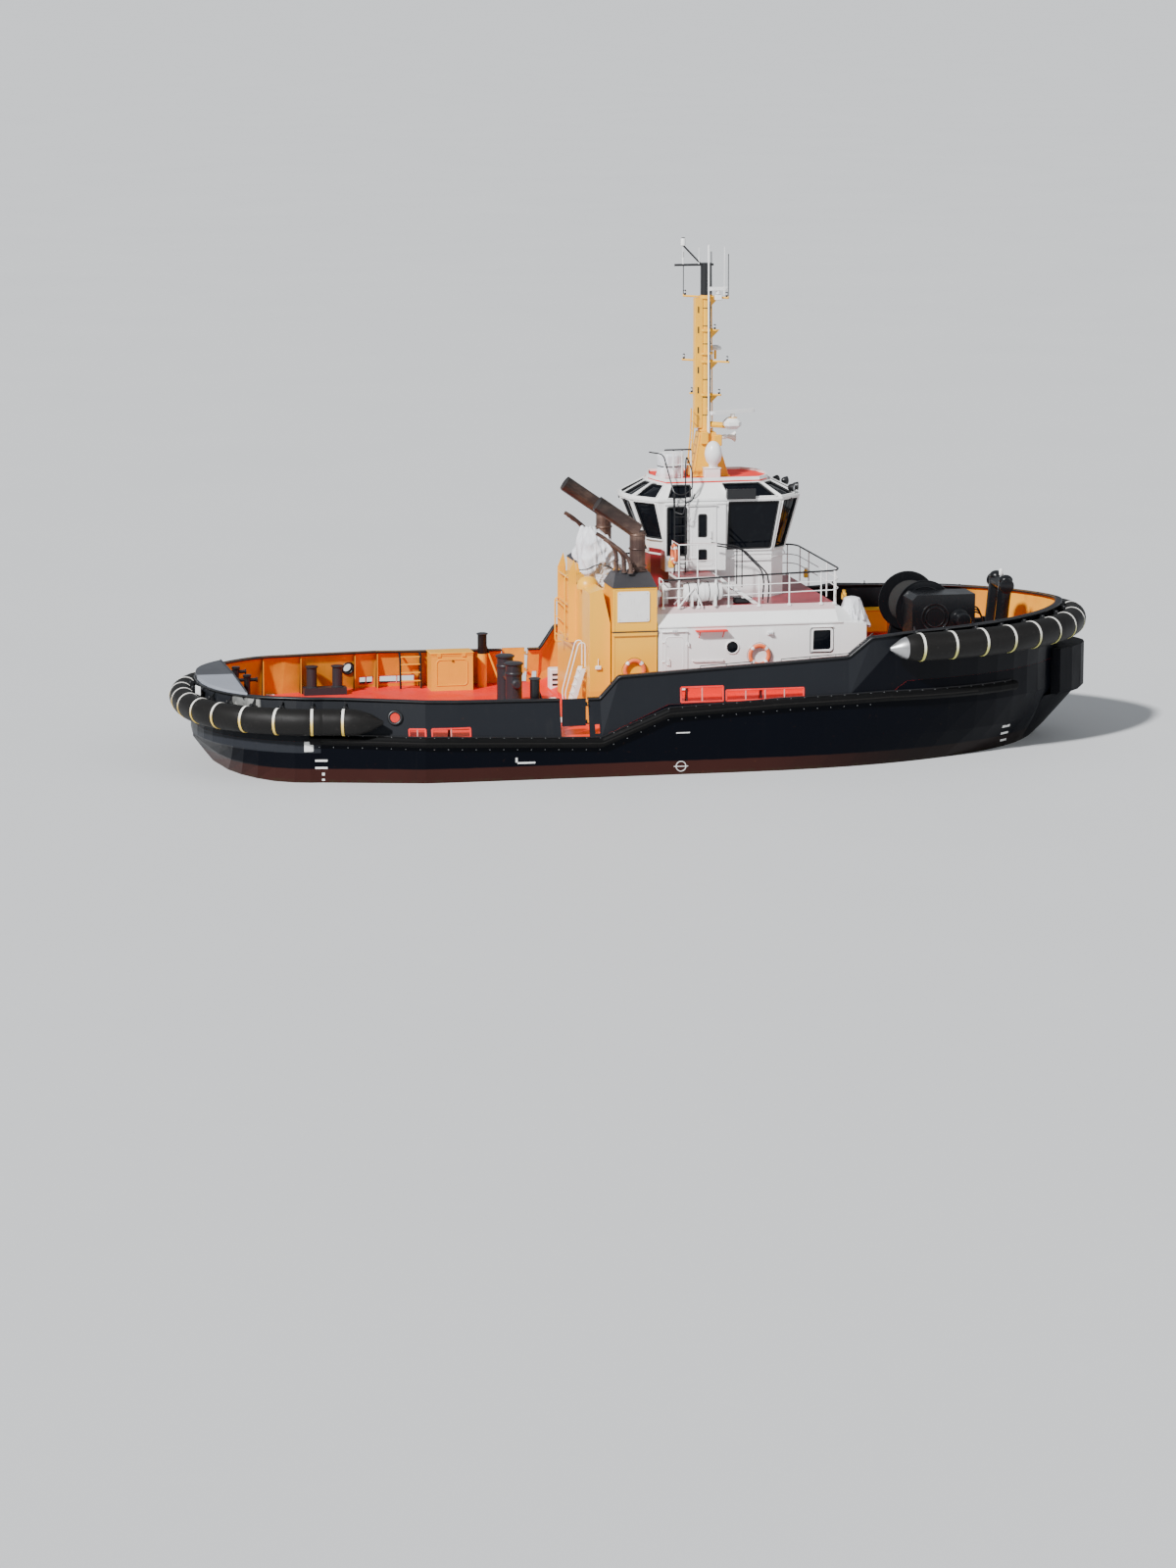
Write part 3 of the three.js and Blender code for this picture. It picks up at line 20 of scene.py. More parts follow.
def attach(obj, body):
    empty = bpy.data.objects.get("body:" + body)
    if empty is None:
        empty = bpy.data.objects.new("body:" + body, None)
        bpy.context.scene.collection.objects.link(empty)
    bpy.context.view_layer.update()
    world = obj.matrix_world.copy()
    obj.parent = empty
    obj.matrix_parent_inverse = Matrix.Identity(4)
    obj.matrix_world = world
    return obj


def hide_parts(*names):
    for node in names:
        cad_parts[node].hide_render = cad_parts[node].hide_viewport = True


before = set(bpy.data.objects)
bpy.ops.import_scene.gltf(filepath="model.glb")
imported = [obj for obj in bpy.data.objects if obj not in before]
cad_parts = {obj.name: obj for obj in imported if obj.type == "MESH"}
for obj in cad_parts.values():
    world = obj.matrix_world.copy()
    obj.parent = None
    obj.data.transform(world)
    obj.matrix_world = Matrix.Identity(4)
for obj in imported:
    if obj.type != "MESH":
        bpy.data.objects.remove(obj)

LOG = logging.getLogger("tug")
Points = NDArray[np.float64]
Colour = tuple[float, float, float]
Vector3 = tuple[float, float, float]
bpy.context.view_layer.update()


class Body(Enum):
    """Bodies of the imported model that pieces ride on."""

    TUG = "tug"
    WINCH_DRUM = "winch_drum"
    RADAR_LOW = "radar_low"
    RADAR_HIGH = "radar_high"
    HOUSE_DOOR_STARBOARD = "deckhouse_door_starboard"
    HOUSE_DOOR_PORT = "deckhouse_door_port"
    CABIN_DOOR_STARBOARD = "wheelhouse_door_starboard"
    CABIN_DOOR_PORT = "wheelhouse_door_port"


# Shapes


@dataclass
class Shape:
    """Points, and blocks of faces between them.

    Attributes:
        points: One row for each point.
        faces: Arrays of point numbers, one row for each face; the rows of one array are equally long.
    """

    points: Points
    faces: list[NDArray[np.int64]] = field(default_factory=list)

    def volume(self) -> float:
        """Returns the volume inside the faces: the sum of a . (b x c) / 6 over fans of triangles."""
        total = 0.0
        for block in self.faces:
            first = self.points[block[:, 0]]
            for k in range(1, block.shape[1] - 1):
                cross = np.cross(self.points[block[:, k]], self.points[block[:, k + 1]])
                total += float(np.einsum("ij,ij->", first, cross)) / 6
        return total

    def outward(self) -> "Shape":
        """Returns the shape with its faces turned outwards."""
        if self.volume() >= 0:
            return self
        return Shape(self.points, [block[:, ::-1] for block in self.faces])

    def mirrored(self) -> "Shape":
        """Returns the shape on the other side of the ship: Y changes sign and the faces turn round."""
        return Shape(self.points * (1, -1, 1), [block[:, ::-1] for block in self.faces])

    def moved(self, by: Vector3) -> "Shape":
        """Returns the shape moved by a distance."""
        return Shape(self.points + np.array(by), self.faces)

    def turned(self, degrees: float, axis: str, about: Vector3) -> "Shape":
        """Returns the shape turned about a point.

        Args:
            degrees: The angle.
            axis: X, Y or Z.
            about: The point that stays.

        Returns:
            The turned shape: about + R (point - about).
        """
        turn = np.array(Matrix.Rotation(math.radians(degrees), 3, axis))
        centre = np.array(about)
        return Shape((self.points - centre) @ turn.T + centre, self.faces)


Shapes = Shape | list[Shape]


def gather(*shapes: Shape) -> Shape:
    """Returns several shapes as one, with the faces' numbers moved up."""
    starts = np.cumsum([0] + [len(shape.points) for shape in shapes])
    faces = [block + start for shape, start in zip(shapes, starts) for block in shape.faces]
    return Shape(np.vstack([shape.points for shape in shapes]), faces)


def both_sides(shape: Shape) -> Shape:
    """Returns a shape with its mirror image across the centreline."""
    return gather(shape, shape.mirrored())


def repeated(shape: Shape, places: Points) -> Shape:
    """Returns copies of a small shape, one moved to each place.

    Args:
        shape: The small shape, near the origin.
        places: One row for each copy.

    Returns:
        All copies as one shape: point + place.
    """
    places = np.atleast_2d(places)
    count = len(shape.points)
    points = (places[:, None, :] + shape.points[None, :, :]).reshape(-1, 3)
    offsets = np.arange(len(places)) * count
    faces = [(block[None] + offsets[:, None, None]).reshape(-1, block.shape[1]) for block in shape.faces]
    return Shape(points, faces)


def skin(grid: Points, closed: bool = False) -> Shape:
    """Joins rings of points into a closed skin.

    Args:
        grid: Rings along the first axis, points round each ring along the second.
        closed: True joins the last ring to the first; otherwise a flat face closes each end.

    Returns:
        The skin: one four-sided face between neighbours of neighbouring rings.
    """
    rings, around = grid.shape[:2]
    number = np.arange(rings * around).reshape(rings, around)
    if closed:
        number = np.vstack([number, number[:1]])
    near, far = number[:-1], number[1:]
    cells = np.stack([near, far, np.roll(far, -1, 1), np.roll(near, -1, 1)], -1).reshape(-1, 4)
    faces = [cells]
    if not closed:
        faces += [number[:1], number[-1:, ::-1]]
    return Shape(grid.reshape(-1, 3), faces).outward()


def sheet_of(grid: Points, thickness: float) -> Shape:
    """Gives an open grid of points a thickness.

    Args:
        grid: Points in rows and columns.
        thickness: Distance between the two faces.

    Returns:
        A closed shell: grid + normal * thickness / 2 and grid - normal * thickness / 2, joined round the rim.
    """
    rows, columns = grid.shape[:2]
    normal = np.cross(np.gradient(grid, axis=0), np.gradient(grid, axis=1))
    normal /= np.linalg.norm(normal, axis=2, keepdims=True) + 1e-12
    points = np.vstack([(grid + normal * side * thickness / 2).reshape(-1, 3) for side in (1, -1)])
    number = np.arange(rows * columns).reshape(rows, columns)
    cell = np.stack([number[:-1, :-1], number[1:, :-1], number[1:, 1:], number[:-1, 1:]], -1).reshape(-1, 4)
    rim = np.concatenate([number[0, :-1], number[:-1, -1], number[-1, :0:-1], number[:0:-1, 0]])
    after = np.roll(rim, -1)
    under = rows * columns
    wall = np.stack([rim, after, after + under, rim + under], -1)
    return Shape(points, [cell, cell[:, ::-1] + under, wall]).outward()


def circle(radius: float, sides: int, phase: float = 0.5) -> Points:
    """Returns the corners of a regular section: radius * (cos a, sin a)."""
    angle = 2 * math.pi * (np.arange(sides) + phase) / sides
    return radius * np.stack([np.cos(angle), np.sin(angle)], 1)


def bar_section(half_wide: float, half_high: float) -> Points:
    """Returns the corners of a rectangular section."""
    return np.array(
        [[-half_wide, -half_high], [half_wide, -half_high], [half_wide, half_high], [-half_wide, half_high]]
    )


def carry(
    path: Points, section: Points, up: Points, closed: bool = False, scale: Points | None = None
) -> Shape:
    """Carries a flat section along a path.

    Args:
        path: Points of the path.
        section: Corners as (sideways, upwards).
        up: A direction that the path never follows, or one for each point.
        closed: True where the path ends where it began.
        scale: A size for the section at each point.

    Returns:
        The skin: path + side * section[0] * scale + rise * section[1] * scale, where side is along x up
        and rise is side x along.
    """
    path = np.asarray(path, float)
    if closed:
        ahead, behind = np.roll(path, -1, 0), np.roll(path, 1, 0)
    else:
        ahead, behind = np.vstack([path[1:], path[-1:]]), np.vstack([path[:1], path[:-1]])
    along = ahead - behind
    along /= np.linalg.norm(along, axis=1, keepdims=True)
    side = np.cross(along, np.broadcast_to(np.asarray(up, float), path.shape))
    side /= np.linalg.norm(side, axis=1, keepdims=True)
    rise = np.cross(side, along)
    size = np.ones(len(path)) if scale is None else np.asarray(scale, float)
    out, over = section[None, :, :1] * size[:, None, None], section[None, :, 1:] * size[:, None, None]
    return skin(path[:, None] + side[:, None] * out + rise[:, None] * over, closed)


def rounded(points: Points, bend: float, steps: int = 5) -> Points:
    """Rounds the corners of a path.

    Args:
        points: Corners of the path.
        bend: How far before and after each corner the curve begins and ends.
        steps: Points on each curve.

    Returns:
        The path: at each corner b, (1 - t)^2 a + 2 t (1 - t) b + t^2 c.
    """
    points = np.asarray(points, float)
    if len(points) < 3 or bend <= 0:
        return points
    corner = points[1:-1]
    back, front = points[:-2] - corner, points[2:] - corner
    far_back = np.linalg.norm(back, axis=1, keepdims=True)
    far_front = np.linalg.norm(front, axis=1, keepdims=True)
    start = corner + back / far_back * np.minimum(bend, far_back * 0.45)
    end = corner + front / far_front * np.minimum(bend, far_front * 0.45)
    t = np.linspace(0, 1, steps)[None, :, None]
    curve = (1 - t) ** 2 * start[:, None] + 2 * t * (1 - t) * corner[:, None] + t**2 * end[:, None]
    return np.vstack([points[:1], curve.reshape(-1, 3), points[-1:]])


def frame_loop(corners: Any, bend: float, steps: int = 5) -> Points:
    """Returns a closed path through corners, rounded at each but the first."""
    return rounded(np.vstack([corners, corners[:1]]), bend, steps)[:-1]


def pipe(points: Any, radius: float, sides: int = 8, bend: float = 0.0) -> Shape:
    """Carries a round section along a path with rounded corners.

    Args:
        points: Corners of the path.
        radius: Radius of the pipe.
        sides: Sides of its section.
        bend: How far from each corner its curve begins.

    Returns:
        The pipe; its sections stand across the direction that the path leaves out most.
    """
    path = rounded(np.asarray(points, float), bend)
    up = np.linalg.svd(path - path.mean(0))[2][-1]
    return carry(path, circle(radius, sides), up)


def bars(pairs: Any, radius: float, sides: int = 8) -> Shape:
    """Returns straight round bars, one for each pair of ends."""
    return gather(*[pipe(pair, radius, sides) for pair in pairs])


def cross_bars(centre: Vector3, reach: float, radius: float) -> Shape:
    """Returns the two crossed spokes of a small hand wheel."""
    x, y, z = centre
    return bars([((x - reach, y, z), (x + reach, y, z)), ((x, y - reach, z), (x, y + reach, z))], radius)


def turning(profile: Any, base: Vector3, axis: str = "Z", sides: int = 20) -> Shape:
    """Turns a profile about an axis.

    Args:
        profile: Rows of (radius, height along the axis); a radius of 0 closes an end in a point.
        base: The axis point at height 0.
        axis: X, Y or Z.
        sides: Steps round the axis.

    Returns:
        The body: base + axis * height + radius * (cos a, sin a) across the axis.
    """
    rows = np.asarray(profile, float)
    angle = 2 * math.pi * np.arange(sides) / sides
    flat = np.stack([
        rows[:, :1] * np.cos(angle), rows[:, :1] * np.sin(angle),
        np.broadcast_to(rows[:, 1:], (len(rows), sides))
    ], -1)
    order = {"X": [2, 0, 1], "Y": [1, 2, 0], "Z": [0, 1, 2]}[axis]
    grid = flat[..., order] + np.array(base)
    low, high = rows[0, 0] < 1e-6, rows[-1, 0] < 1e-6
    body = grid[1 if low else 0 : len(rows) - (1 if high else 0)]
    shape = skin(body)
    if not (low or high):
        return shape
    count = body.shape[0] * sides
    ring = np.arange(sides)
    fans = []
    points = [shape.points]
    for pole, start, place in ((low, 0, grid[0, 0]), (high, count - sides, grid[-1, 0])):
        if pole:
            tip = np.full(sides, sum(len(p) for p in points))
            edge = [start + ring, start + np.roll(ring, -1)]
            fans.append(np.stack([tip, *(edge[::-1] if start == 0 else edge)], 1))
            points.append(place[None])
    cells = shape.faces[0]
    flip = cells[0, 1] < cells[0, 0]
    caps = [block for block, pole in zip(shape.faces[1:], (low, high)) if not pole]
    wound = [fan[:, ::-1] for fan in fans] if flip else fans
    made = Shape(np.vstack(points), [cells, *caps, *wound])
    return aligned(made)


def aligned(shape: Shape) -> Shape:
    """Returns a shape whose fans are wound as the faces beside them, and outwards."""
    cells = shape.faces[0]
    edges = {(int(a), int(b)) for row in cells for a, b in zip(row, np.roll(row, -1))}
    faces = [cells]
    for block in shape.faces[1:]:
        row = block[0]
        wrong = any((int(a), int(b)) in edges for a, b in zip(row, np.roll(row, -1)))
        faces.append(block[:, ::-1] if wrong else block)
    return Shape(shape.points, faces).outward()


def block(low: Vector3, high: Vector3, edge: float = 0.012) -> Shape:
    """Returns a box with chamfered edges.

    Args:
        low: Its lowest corner.
        high: Its highest corner.
        edge: Width of the chamfer.

    Returns:
        Four eight-sided rings: narrow, full, full, narrow.
    """
    (x0, x1), (y0, y1), (z0, z1) = [sorted(pair) for pair in zip(low, high)]
    edge = min(edge, (x1 - x0) * 0.4, (y1 - y0) * 0.4, (z1 - z0) * 0.4)
    middle = np.array([(x0 + x1) / 2, (y0 + y1) / 2])

    def ring(inset: float, z: float) -> Points:
        """Returns a rectangle's ring with cut corners, drawn in by the inset."""
        a, b = (x1 - x0) / 2 - inset, (y1 - y0) / 2 - inset
        c = edge - inset * 0.6
        flat = np.array([
            [a, c - b], [a, b - c], [a - c, b], [c - a, b], [-a, b - c], [-a, c - b], [c - a, -b],
            [a - c, -b]
        ])
        return np.column_stack([flat + middle, np.full(8, z)])

    return skin(np.stack([ring(edge, z0), ring(0, z0 + edge), ring(0, z1 - edge), ring(edge, z1)]))


def plate(outline: Any, origin: Vector3, across: Vector3, upward: Vector3, thickness: float) -> Shape:
    """Returns a flat plate.

    Args:
        outline: Corners as (across, upward).
        origin: Place of (0, 0).
        across: Direction of the first number.
        upward: Direction of the second number.
        thickness: Thickness, half to each side.

    Returns:
        The plate: origin + across * u + upward * v, moved both ways along across x upward.
    """
    flat = np.asarray(outline, float)
    u, v = np.array(across, float), np.array(upward, float)
    face = np.array(origin) + flat[:, :1] * u + flat[:, 1:] * v
    push = np.cross(u, v)
    push *= thickness / 2 / np.linalg.norm(push)
    return skin(np.stack([face - push, face + push]))


def panel(corners: Points, inset: float, outset: float) -> Shape:
    """Returns a thin plate between four corners.

    Args:
        corners: Four corners in order round the plate.
        inset: How far its back lies behind the corners.
        outset: How far its front lies before them.

    Returns:
        The plate: corners moved along their common normal.
    """
    normal = np.cross(corners[1] - corners[0], corners[3] - corners[0])
    normal /= np.linalg.norm(normal)
    return skin(np.stack([corners - normal * inset, corners + normal * outset]))


def ring_of(
    radius: float, tube: float, centre: Vector3, axis: str, sides: int = 32, round_sides: int = 10
) -> Shape:
    """Returns a round ring.

    Args:
        radius: From the centre to the middle of the tube.
        tube: Radius of the tube.
        centre: Middle of the ring.
        axis: X, Y or Z, the axis of the ring.
        sides: Steps round the ring.
        round_sides: Sides of the tube.

    Returns:
        The ring: centre + (radius + tube cos b) (cos a, sin a) + axis tube sin b.
    """
    a = 2 * math.pi * np.arange(sides)[:, None] / sides
    b = 2 * math.pi * np.arange(round_sides)[None, :] / round_sides
    reach = radius + tube * np.cos(b)
    flat = np.stack(
        [reach * np.cos(a), reach * np.sin(a), np.broadcast_to(tube * np.sin(b), (sides, round_sides))], -1
    )
    order = {"X": [2, 0, 1], "Y": [1, 2, 0], "Z": [0, 1, 2]}[axis]
    return skin(flat[..., order] + np.array(centre), closed=True)


def dome_profile(radius: float, height: float, rows: int = 6, foot: float = 0.0) -> Points:
    """Returns a dome as (radius, height) rows: radius cos t and foot + height sin t."""
    t = np.linspace(0, math.pi / 2, rows)
    rows_ = np.stack([radius * np.cos(t), foot + height * np.sin(t)], 1)
    rows_[-1, 0] = 0
    return rows_


def post_lamp(low: Vector3, high: Vector3) -> Shape:
    """Returns a lamp's box between two corners with a small dome on its middle."""
    top = ((low[0] + high[0]) / 2, (low[1] + high[1]) / 2, high[2])
    return gather(block(low, high, 0.02), turning([(0.05, 0), (0.06, 0.08), (0, 0.1)], top, "Z", 16))


# Finishes


class Slot(Enum):
    """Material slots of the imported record."""

    HULL = "hull_paint"
    BULWARK = "bulwark_paint"
    GREY = "grey_paint"
    RUBBER = "fender_rubber"
    DRIVE = "drive_paint"
    BRONZE = "bronze"
    WHITE = "white_paint"
    GLASS = "window_glass"
    OCHRE = "ochre_paint"
    YELLOW = "yellow_paint"
    EXHAUST = "exhaust_steel"
    CANVAS = "canvas"
    DECK = "deck_paint"
    MAROON = "maroon_paint"
    PLASTIC = "white_plastic"
    BLACK = "black_paint"


WHITE: Colour = (0.86, 0.86, 0.85)
DECK_RED: Colour = (0.82, 0.024, 0.016)
MAROON: Colour = (0.25, 0.016, 0.024)
YELLOW: Colour = (0.93, 0.46, 0.018)
OCHRE: Colour = (0.8, 0.34, 0.02)
BLACK: Colour = (0.006, 0.0065, 0.008)
NAVY: Colour = (0.0009, 0.0015, 0.0038)
BULWARK_GREY: Colour = (0.0125, 0.0138, 0.017)
RUST: Colour = (0.2, 0.075, 0.03)


class Tree:
    """The node tree of one finish, with short ways to build it."""

    def __init__(self, name: str) -> None:
        """Makes an empty finish under a name."""
        self.material = bpy.data.materials.new(name)
        self.material.use_nodes = True
        self.tree = self.material.node_tree
        self.shader = self.tree.nodes["Principled BSDF"]
        coordinates = self.add("ShaderNodeTexCoord")
        self.place = coordinates.outputs["Object"]
        self.facing = coordinates.outputs["Normal"]

    def add(self, kind: str, **settings: Any) -> bpy.types.Node:
        """Returns a new node with its settings."""
        node = self.tree.nodes.new(kind)
        for key, value in settings.items():
            setattr(node, key, value)
        return node

    def feed(self, socket: Any, value: Any) -> None:
        """Links a socket to an input, or sets a number or a colour on it."""
        if isinstance(value, bpy.types.NodeSocket):
            self.tree.links.new(value, socket)
        elif isinstance(value, (int, float)):
            socket.default_value = value
        else:
            room = len(socket.default_value)
            socket.default_value = (*value, 1.0)[:room]

    def maths(self, operation: str, first: Any, second: Any = 0.0) -> Any:
        """Returns first and second joined by an operation of the Math node, held between 0 and 1."""
        node = self.add("ShaderNodeMath", operation=operation, use_clamp=True)
        self.feed(node.inputs[0], first)
        self.feed(node.inputs[1], second)
        return node.outputs[0]

    def sum_of(self, *parts: tuple[Any, float]) -> Any:
        """Returns the sum of socket times number, without limits."""
        total: Any = 0.0
        for socket, factor in parts:
            node = self.add("ShaderNodeMath", operation="MULTIPLY_ADD")
            self.feed(node.inputs[0], socket)
            self.feed(node.inputs[1], factor)
            self.feed(node.inputs[2], total)
            total = node.outputs[0]
        return total

    def span(self, value: Any, low: float, high: float, out_low: float = 0.0, out_high: float = 1.0) -> Any:
        """Returns a value's place between low and high, eased, from out_low to out_high."""
        node = self.add("ShaderNodeMapRange", interpolation_type="SMOOTHSTEP")
        for socket, number in zip(node.inputs, (value, low, high, out_low, out_high)):
            self.feed(socket, number)
        return node.outputs[0]

    def axis(self, name: str, source: Any = None) -> Any:
        """Returns the x, y or z of the place, or of another vector."""
        node = self.add("ShaderNodeSeparateXYZ")
        self.feed(node.inputs[0], self.place if source is None else source)
        return node.outputs[name.upper()]

    def noise(
        self, scale: float, detail: float = 4.0, stretch: Vector3 = (1, 1, 1), rough: float = 0.55
    ) -> Any:
        """Returns a noise of the place, drawn out along the axes with a small stretch."""
        mapping = self.add("ShaderNodeMapping")
        self.feed(mapping.inputs["Vector"], self.place)
        mapping.inputs["Scale"].default_value = stretch
        node = self.add("ShaderNodeTexNoise")
        self.feed(node.inputs["Vector"], mapping.outputs[0])
        node.inputs["Scale"].default_value = scale
        node.inputs["Detail"].default_value = detail
        node.inputs["Roughness"].default_value = rough
        return node.outputs["Fac"]

    def mix(self, factor: Any, first: Any, second: Any) -> Any:
        """Returns a colour between two."""
        node = self.add("ShaderNodeMix", data_type="RGBA")
        self.feed(node.inputs[0], factor)
        self.feed(node.inputs[6], first)
        self.feed(node.inputs[7], second)
        return node.outputs[2]

    def darker(self, colour: Any, share: float) -> Any:
        """Returns a colour times a share."""
        node = self.add("ShaderNodeMix", data_type="RGBA", blend_type="MULTIPLY")
        node.inputs[0].default_value = 1.0
        self.feed(node.inputs[6], colour)
        self.feed(node.inputs[7], (share, share, share))
        return node.outputs[2]

    def above(self, name: str, level: float, soft: float = 0.006) -> Any:
        """Returns 1 where a coordinate is over a level and 0 where it is under it."""
        return self.span(self.axis(name), level - soft, level + soft)

    def below(self, name: str, level: float, soft: float = 0.006) -> Any:
        """Returns 1 where a coordinate is under a level and 0 where it is over it."""
        return self.span(self.axis(name), level - soft, level + soft, 1.0, 0.0)

    def upward(self, least: float = 0.75) -> Any:
        """Returns 1 on faces that look up."""
        return self.span(self.axis("z", self.facing), least - 0.05, least + 0.05)

    def both(self, *masks: Any) -> Any:
        """Returns the product of several masks."""
        product = masks[0]
        for mask in masks[1:]:
            product = self.maths("MULTIPLY", product, mask)
        return product

    def bump(self, height: Any, distance: float, strength: float = 0.6) -> None:
        """Raises the surface by a height."""
        node = self.add("ShaderNodeBump")
        node.inputs["Strength"].default_value = strength
        node.inputs["Distance"].default_value = distance
        self.feed(node.inputs["Height"], height)
        self.feed(self.shader.inputs["Normal"], node.outputs[0])

    def weather(self, colour: Any, wear: "Wear") -> None:
        """Gives a colour its drift, runs, specks, gloss and grain.

        Args:
            colour: The clean colour, or a socket.
            wear: How much the surface has of each.
        """
        broad = self.span(self.noise(0.55 * wear.scale, 5), 0.32, 0.7)
        shade = self.mix(self.maths("MULTIPLY", broad, wear.drift), colour, self.darker(colour, 0.55))
        runs = self.span(self.noise(1.5 * wear.scale, 6, (4.0, 4.0, 0.25)), 0.56, 0.76)
        shade = self.mix(self.maths("MULTIPLY", runs, wear.runs), shade, wear.dirt)
        specks = self.span(self.noise(7.0 * wear.scale, 8, rough=0.7), 0.64, 0.7)
        shade = self.mix(self.maths("MULTIPLY", specks, wear.specks), shade, wear.speck_colour)
        self.feed(self.shader.inputs["Base Color"], shade)
        fine = self.noise(26 * wear.scale, 5)
        gloss = self.sum_of((fine, wear.gloss_drift), (broad, wear.gloss_drift), (runs, 0.12))
        node = self.add("ShaderNodeMath", operation="ADD", use_clamp=True)
        self.feed(node.inputs[0], gloss)
        node.inputs[1].default_value = wear.roughness - wear.gloss_drift
        self.feed(self.shader.inputs["Roughness"], node.outputs[0])
        self.shader.inputs["Specular IOR Level"].default_value = wear.shine
        self.bump(self.sum_of((fine, 0.25 * wear.grain), (self.noise(1.3 * wear.scale, 2), wear.dents)), 0.02)


@dataclass(frozen=True)
class Wear:
    """How a surface has aged.

    Attributes:
        roughness: Middle of the roughness.
        drift: Share of the broad darkening.
        runs: Share of the dirt that runs down.
        specks: Share of the small chips.
        dirt: Colour of the runs.
        speck_colour: Colour of the chips.
        gloss_drift: Half of the range of the roughness.
        grain: Height of the fine grain.
        dents: Height of the unevenness of the plating.
        scale: Size of the patterns, as a factor.
        shine: Strength of the reflection off the surface.
    """

    roughness: float = 0.42
    drift: float = 0.22
    runs: float = 0.16
    specks: float = 0.25
    dirt: Colour = (0.1, 0.07, 0.05)
    speck_colour: Colour = RUST
    gloss_drift: float = 0.09
    grain: float = 0.12
    dents: float = 0.25
    scale: float = 1.0
    shine: float = 0.5


@dataclass(frozen=True)
class Finish:
    """A finish of one colour with its wear.

    Attributes:
        name: Name of the material.
        colour: The clean colour.
        slot: The record's slot that it belongs to; not used.
        wear: How it has aged.
        metallic: 1 for bare metal.
    """

    name: str
    colour: Colour
    slot: Slot
    wear: Wear = Wear()
    metallic: float = 0.0

    def paint(self, tree: Tree) -> None:
        """Builds the finish in a tree."""
        tree.weather(self.colour, self.wear)
        tree.shader.inputs["Metallic"].default_value = self.metallic

    def material(self) -> bpy.types.Material:
        """Returns the finish's material, made once."""
        known = bpy.data.materials.get(self.name)
        if known is not None:
            return known
        tree = Tree(self.name)
        self.paint(tree)
        return tree.material


@dataclass(frozen=True)
class HullFinish(Finish):
    """Topsides: red decks, navy sides, a grey stern strake and a red-brown boot top.

    Attributes:
        boot_z: Top of the boot top.
        stern_grey: Aft of this X the strake over stern_grey_z is grey.
        stern_grey_z: Lower edge of the grey.
    """

    boot_z: float = 0.42
    stern_grey: float = -10.55
    stern_grey_z: float = 0.9

    def paint(self, tree: Tree) -> None:
        """Builds the finish in a tree."""
        wobble = tree.noise(2.2, 3)
        height = tree.sum_of((tree.axis("z"), 1.0), (wobble, 0.03))
        boot = tree.span(height, self.boot_z, self.boot_z + 0.03, 1.0, 0.0)
        fore = tree.span(tree.axis("x"), 2.0, 8.0)
        boot_colour = tree.mix(fore, (0.034, 0.011, 0.009), (0.012, 0.008, 0.0075))
        slime = tree.both(tree.span(height, 0.02, 0.16, 1.0, 0.0), tree.span(tree.noise(5, 5), 0.4, 0.62))
        boot_colour = tree.mix(tree.maths("MULTIPLY", slime, 0.5), boot_colour, (0.03, 0.028, 0.014))
        colour = tree.mix(boot, self.colour, boot_colour)
        grey = tree.both(tree.below("x", self.stern_grey), tree.above("z", self.stern_grey_z))
        colour = tree.mix(grey, colour, (0.02, 0.022, 0.027))
        deck = tree.both(tree.upward(0.7), tree.above("z", 1.1))
        worn = tree.span(tree.noise(1.1, 6), 0.42, 0.66)
        red = tree.mix(worn, DECK_RED, (0.78, 0.05, 0.042))
        colour = tree.mix(deck, colour, red)
        tree.weather(colour, self.wear)


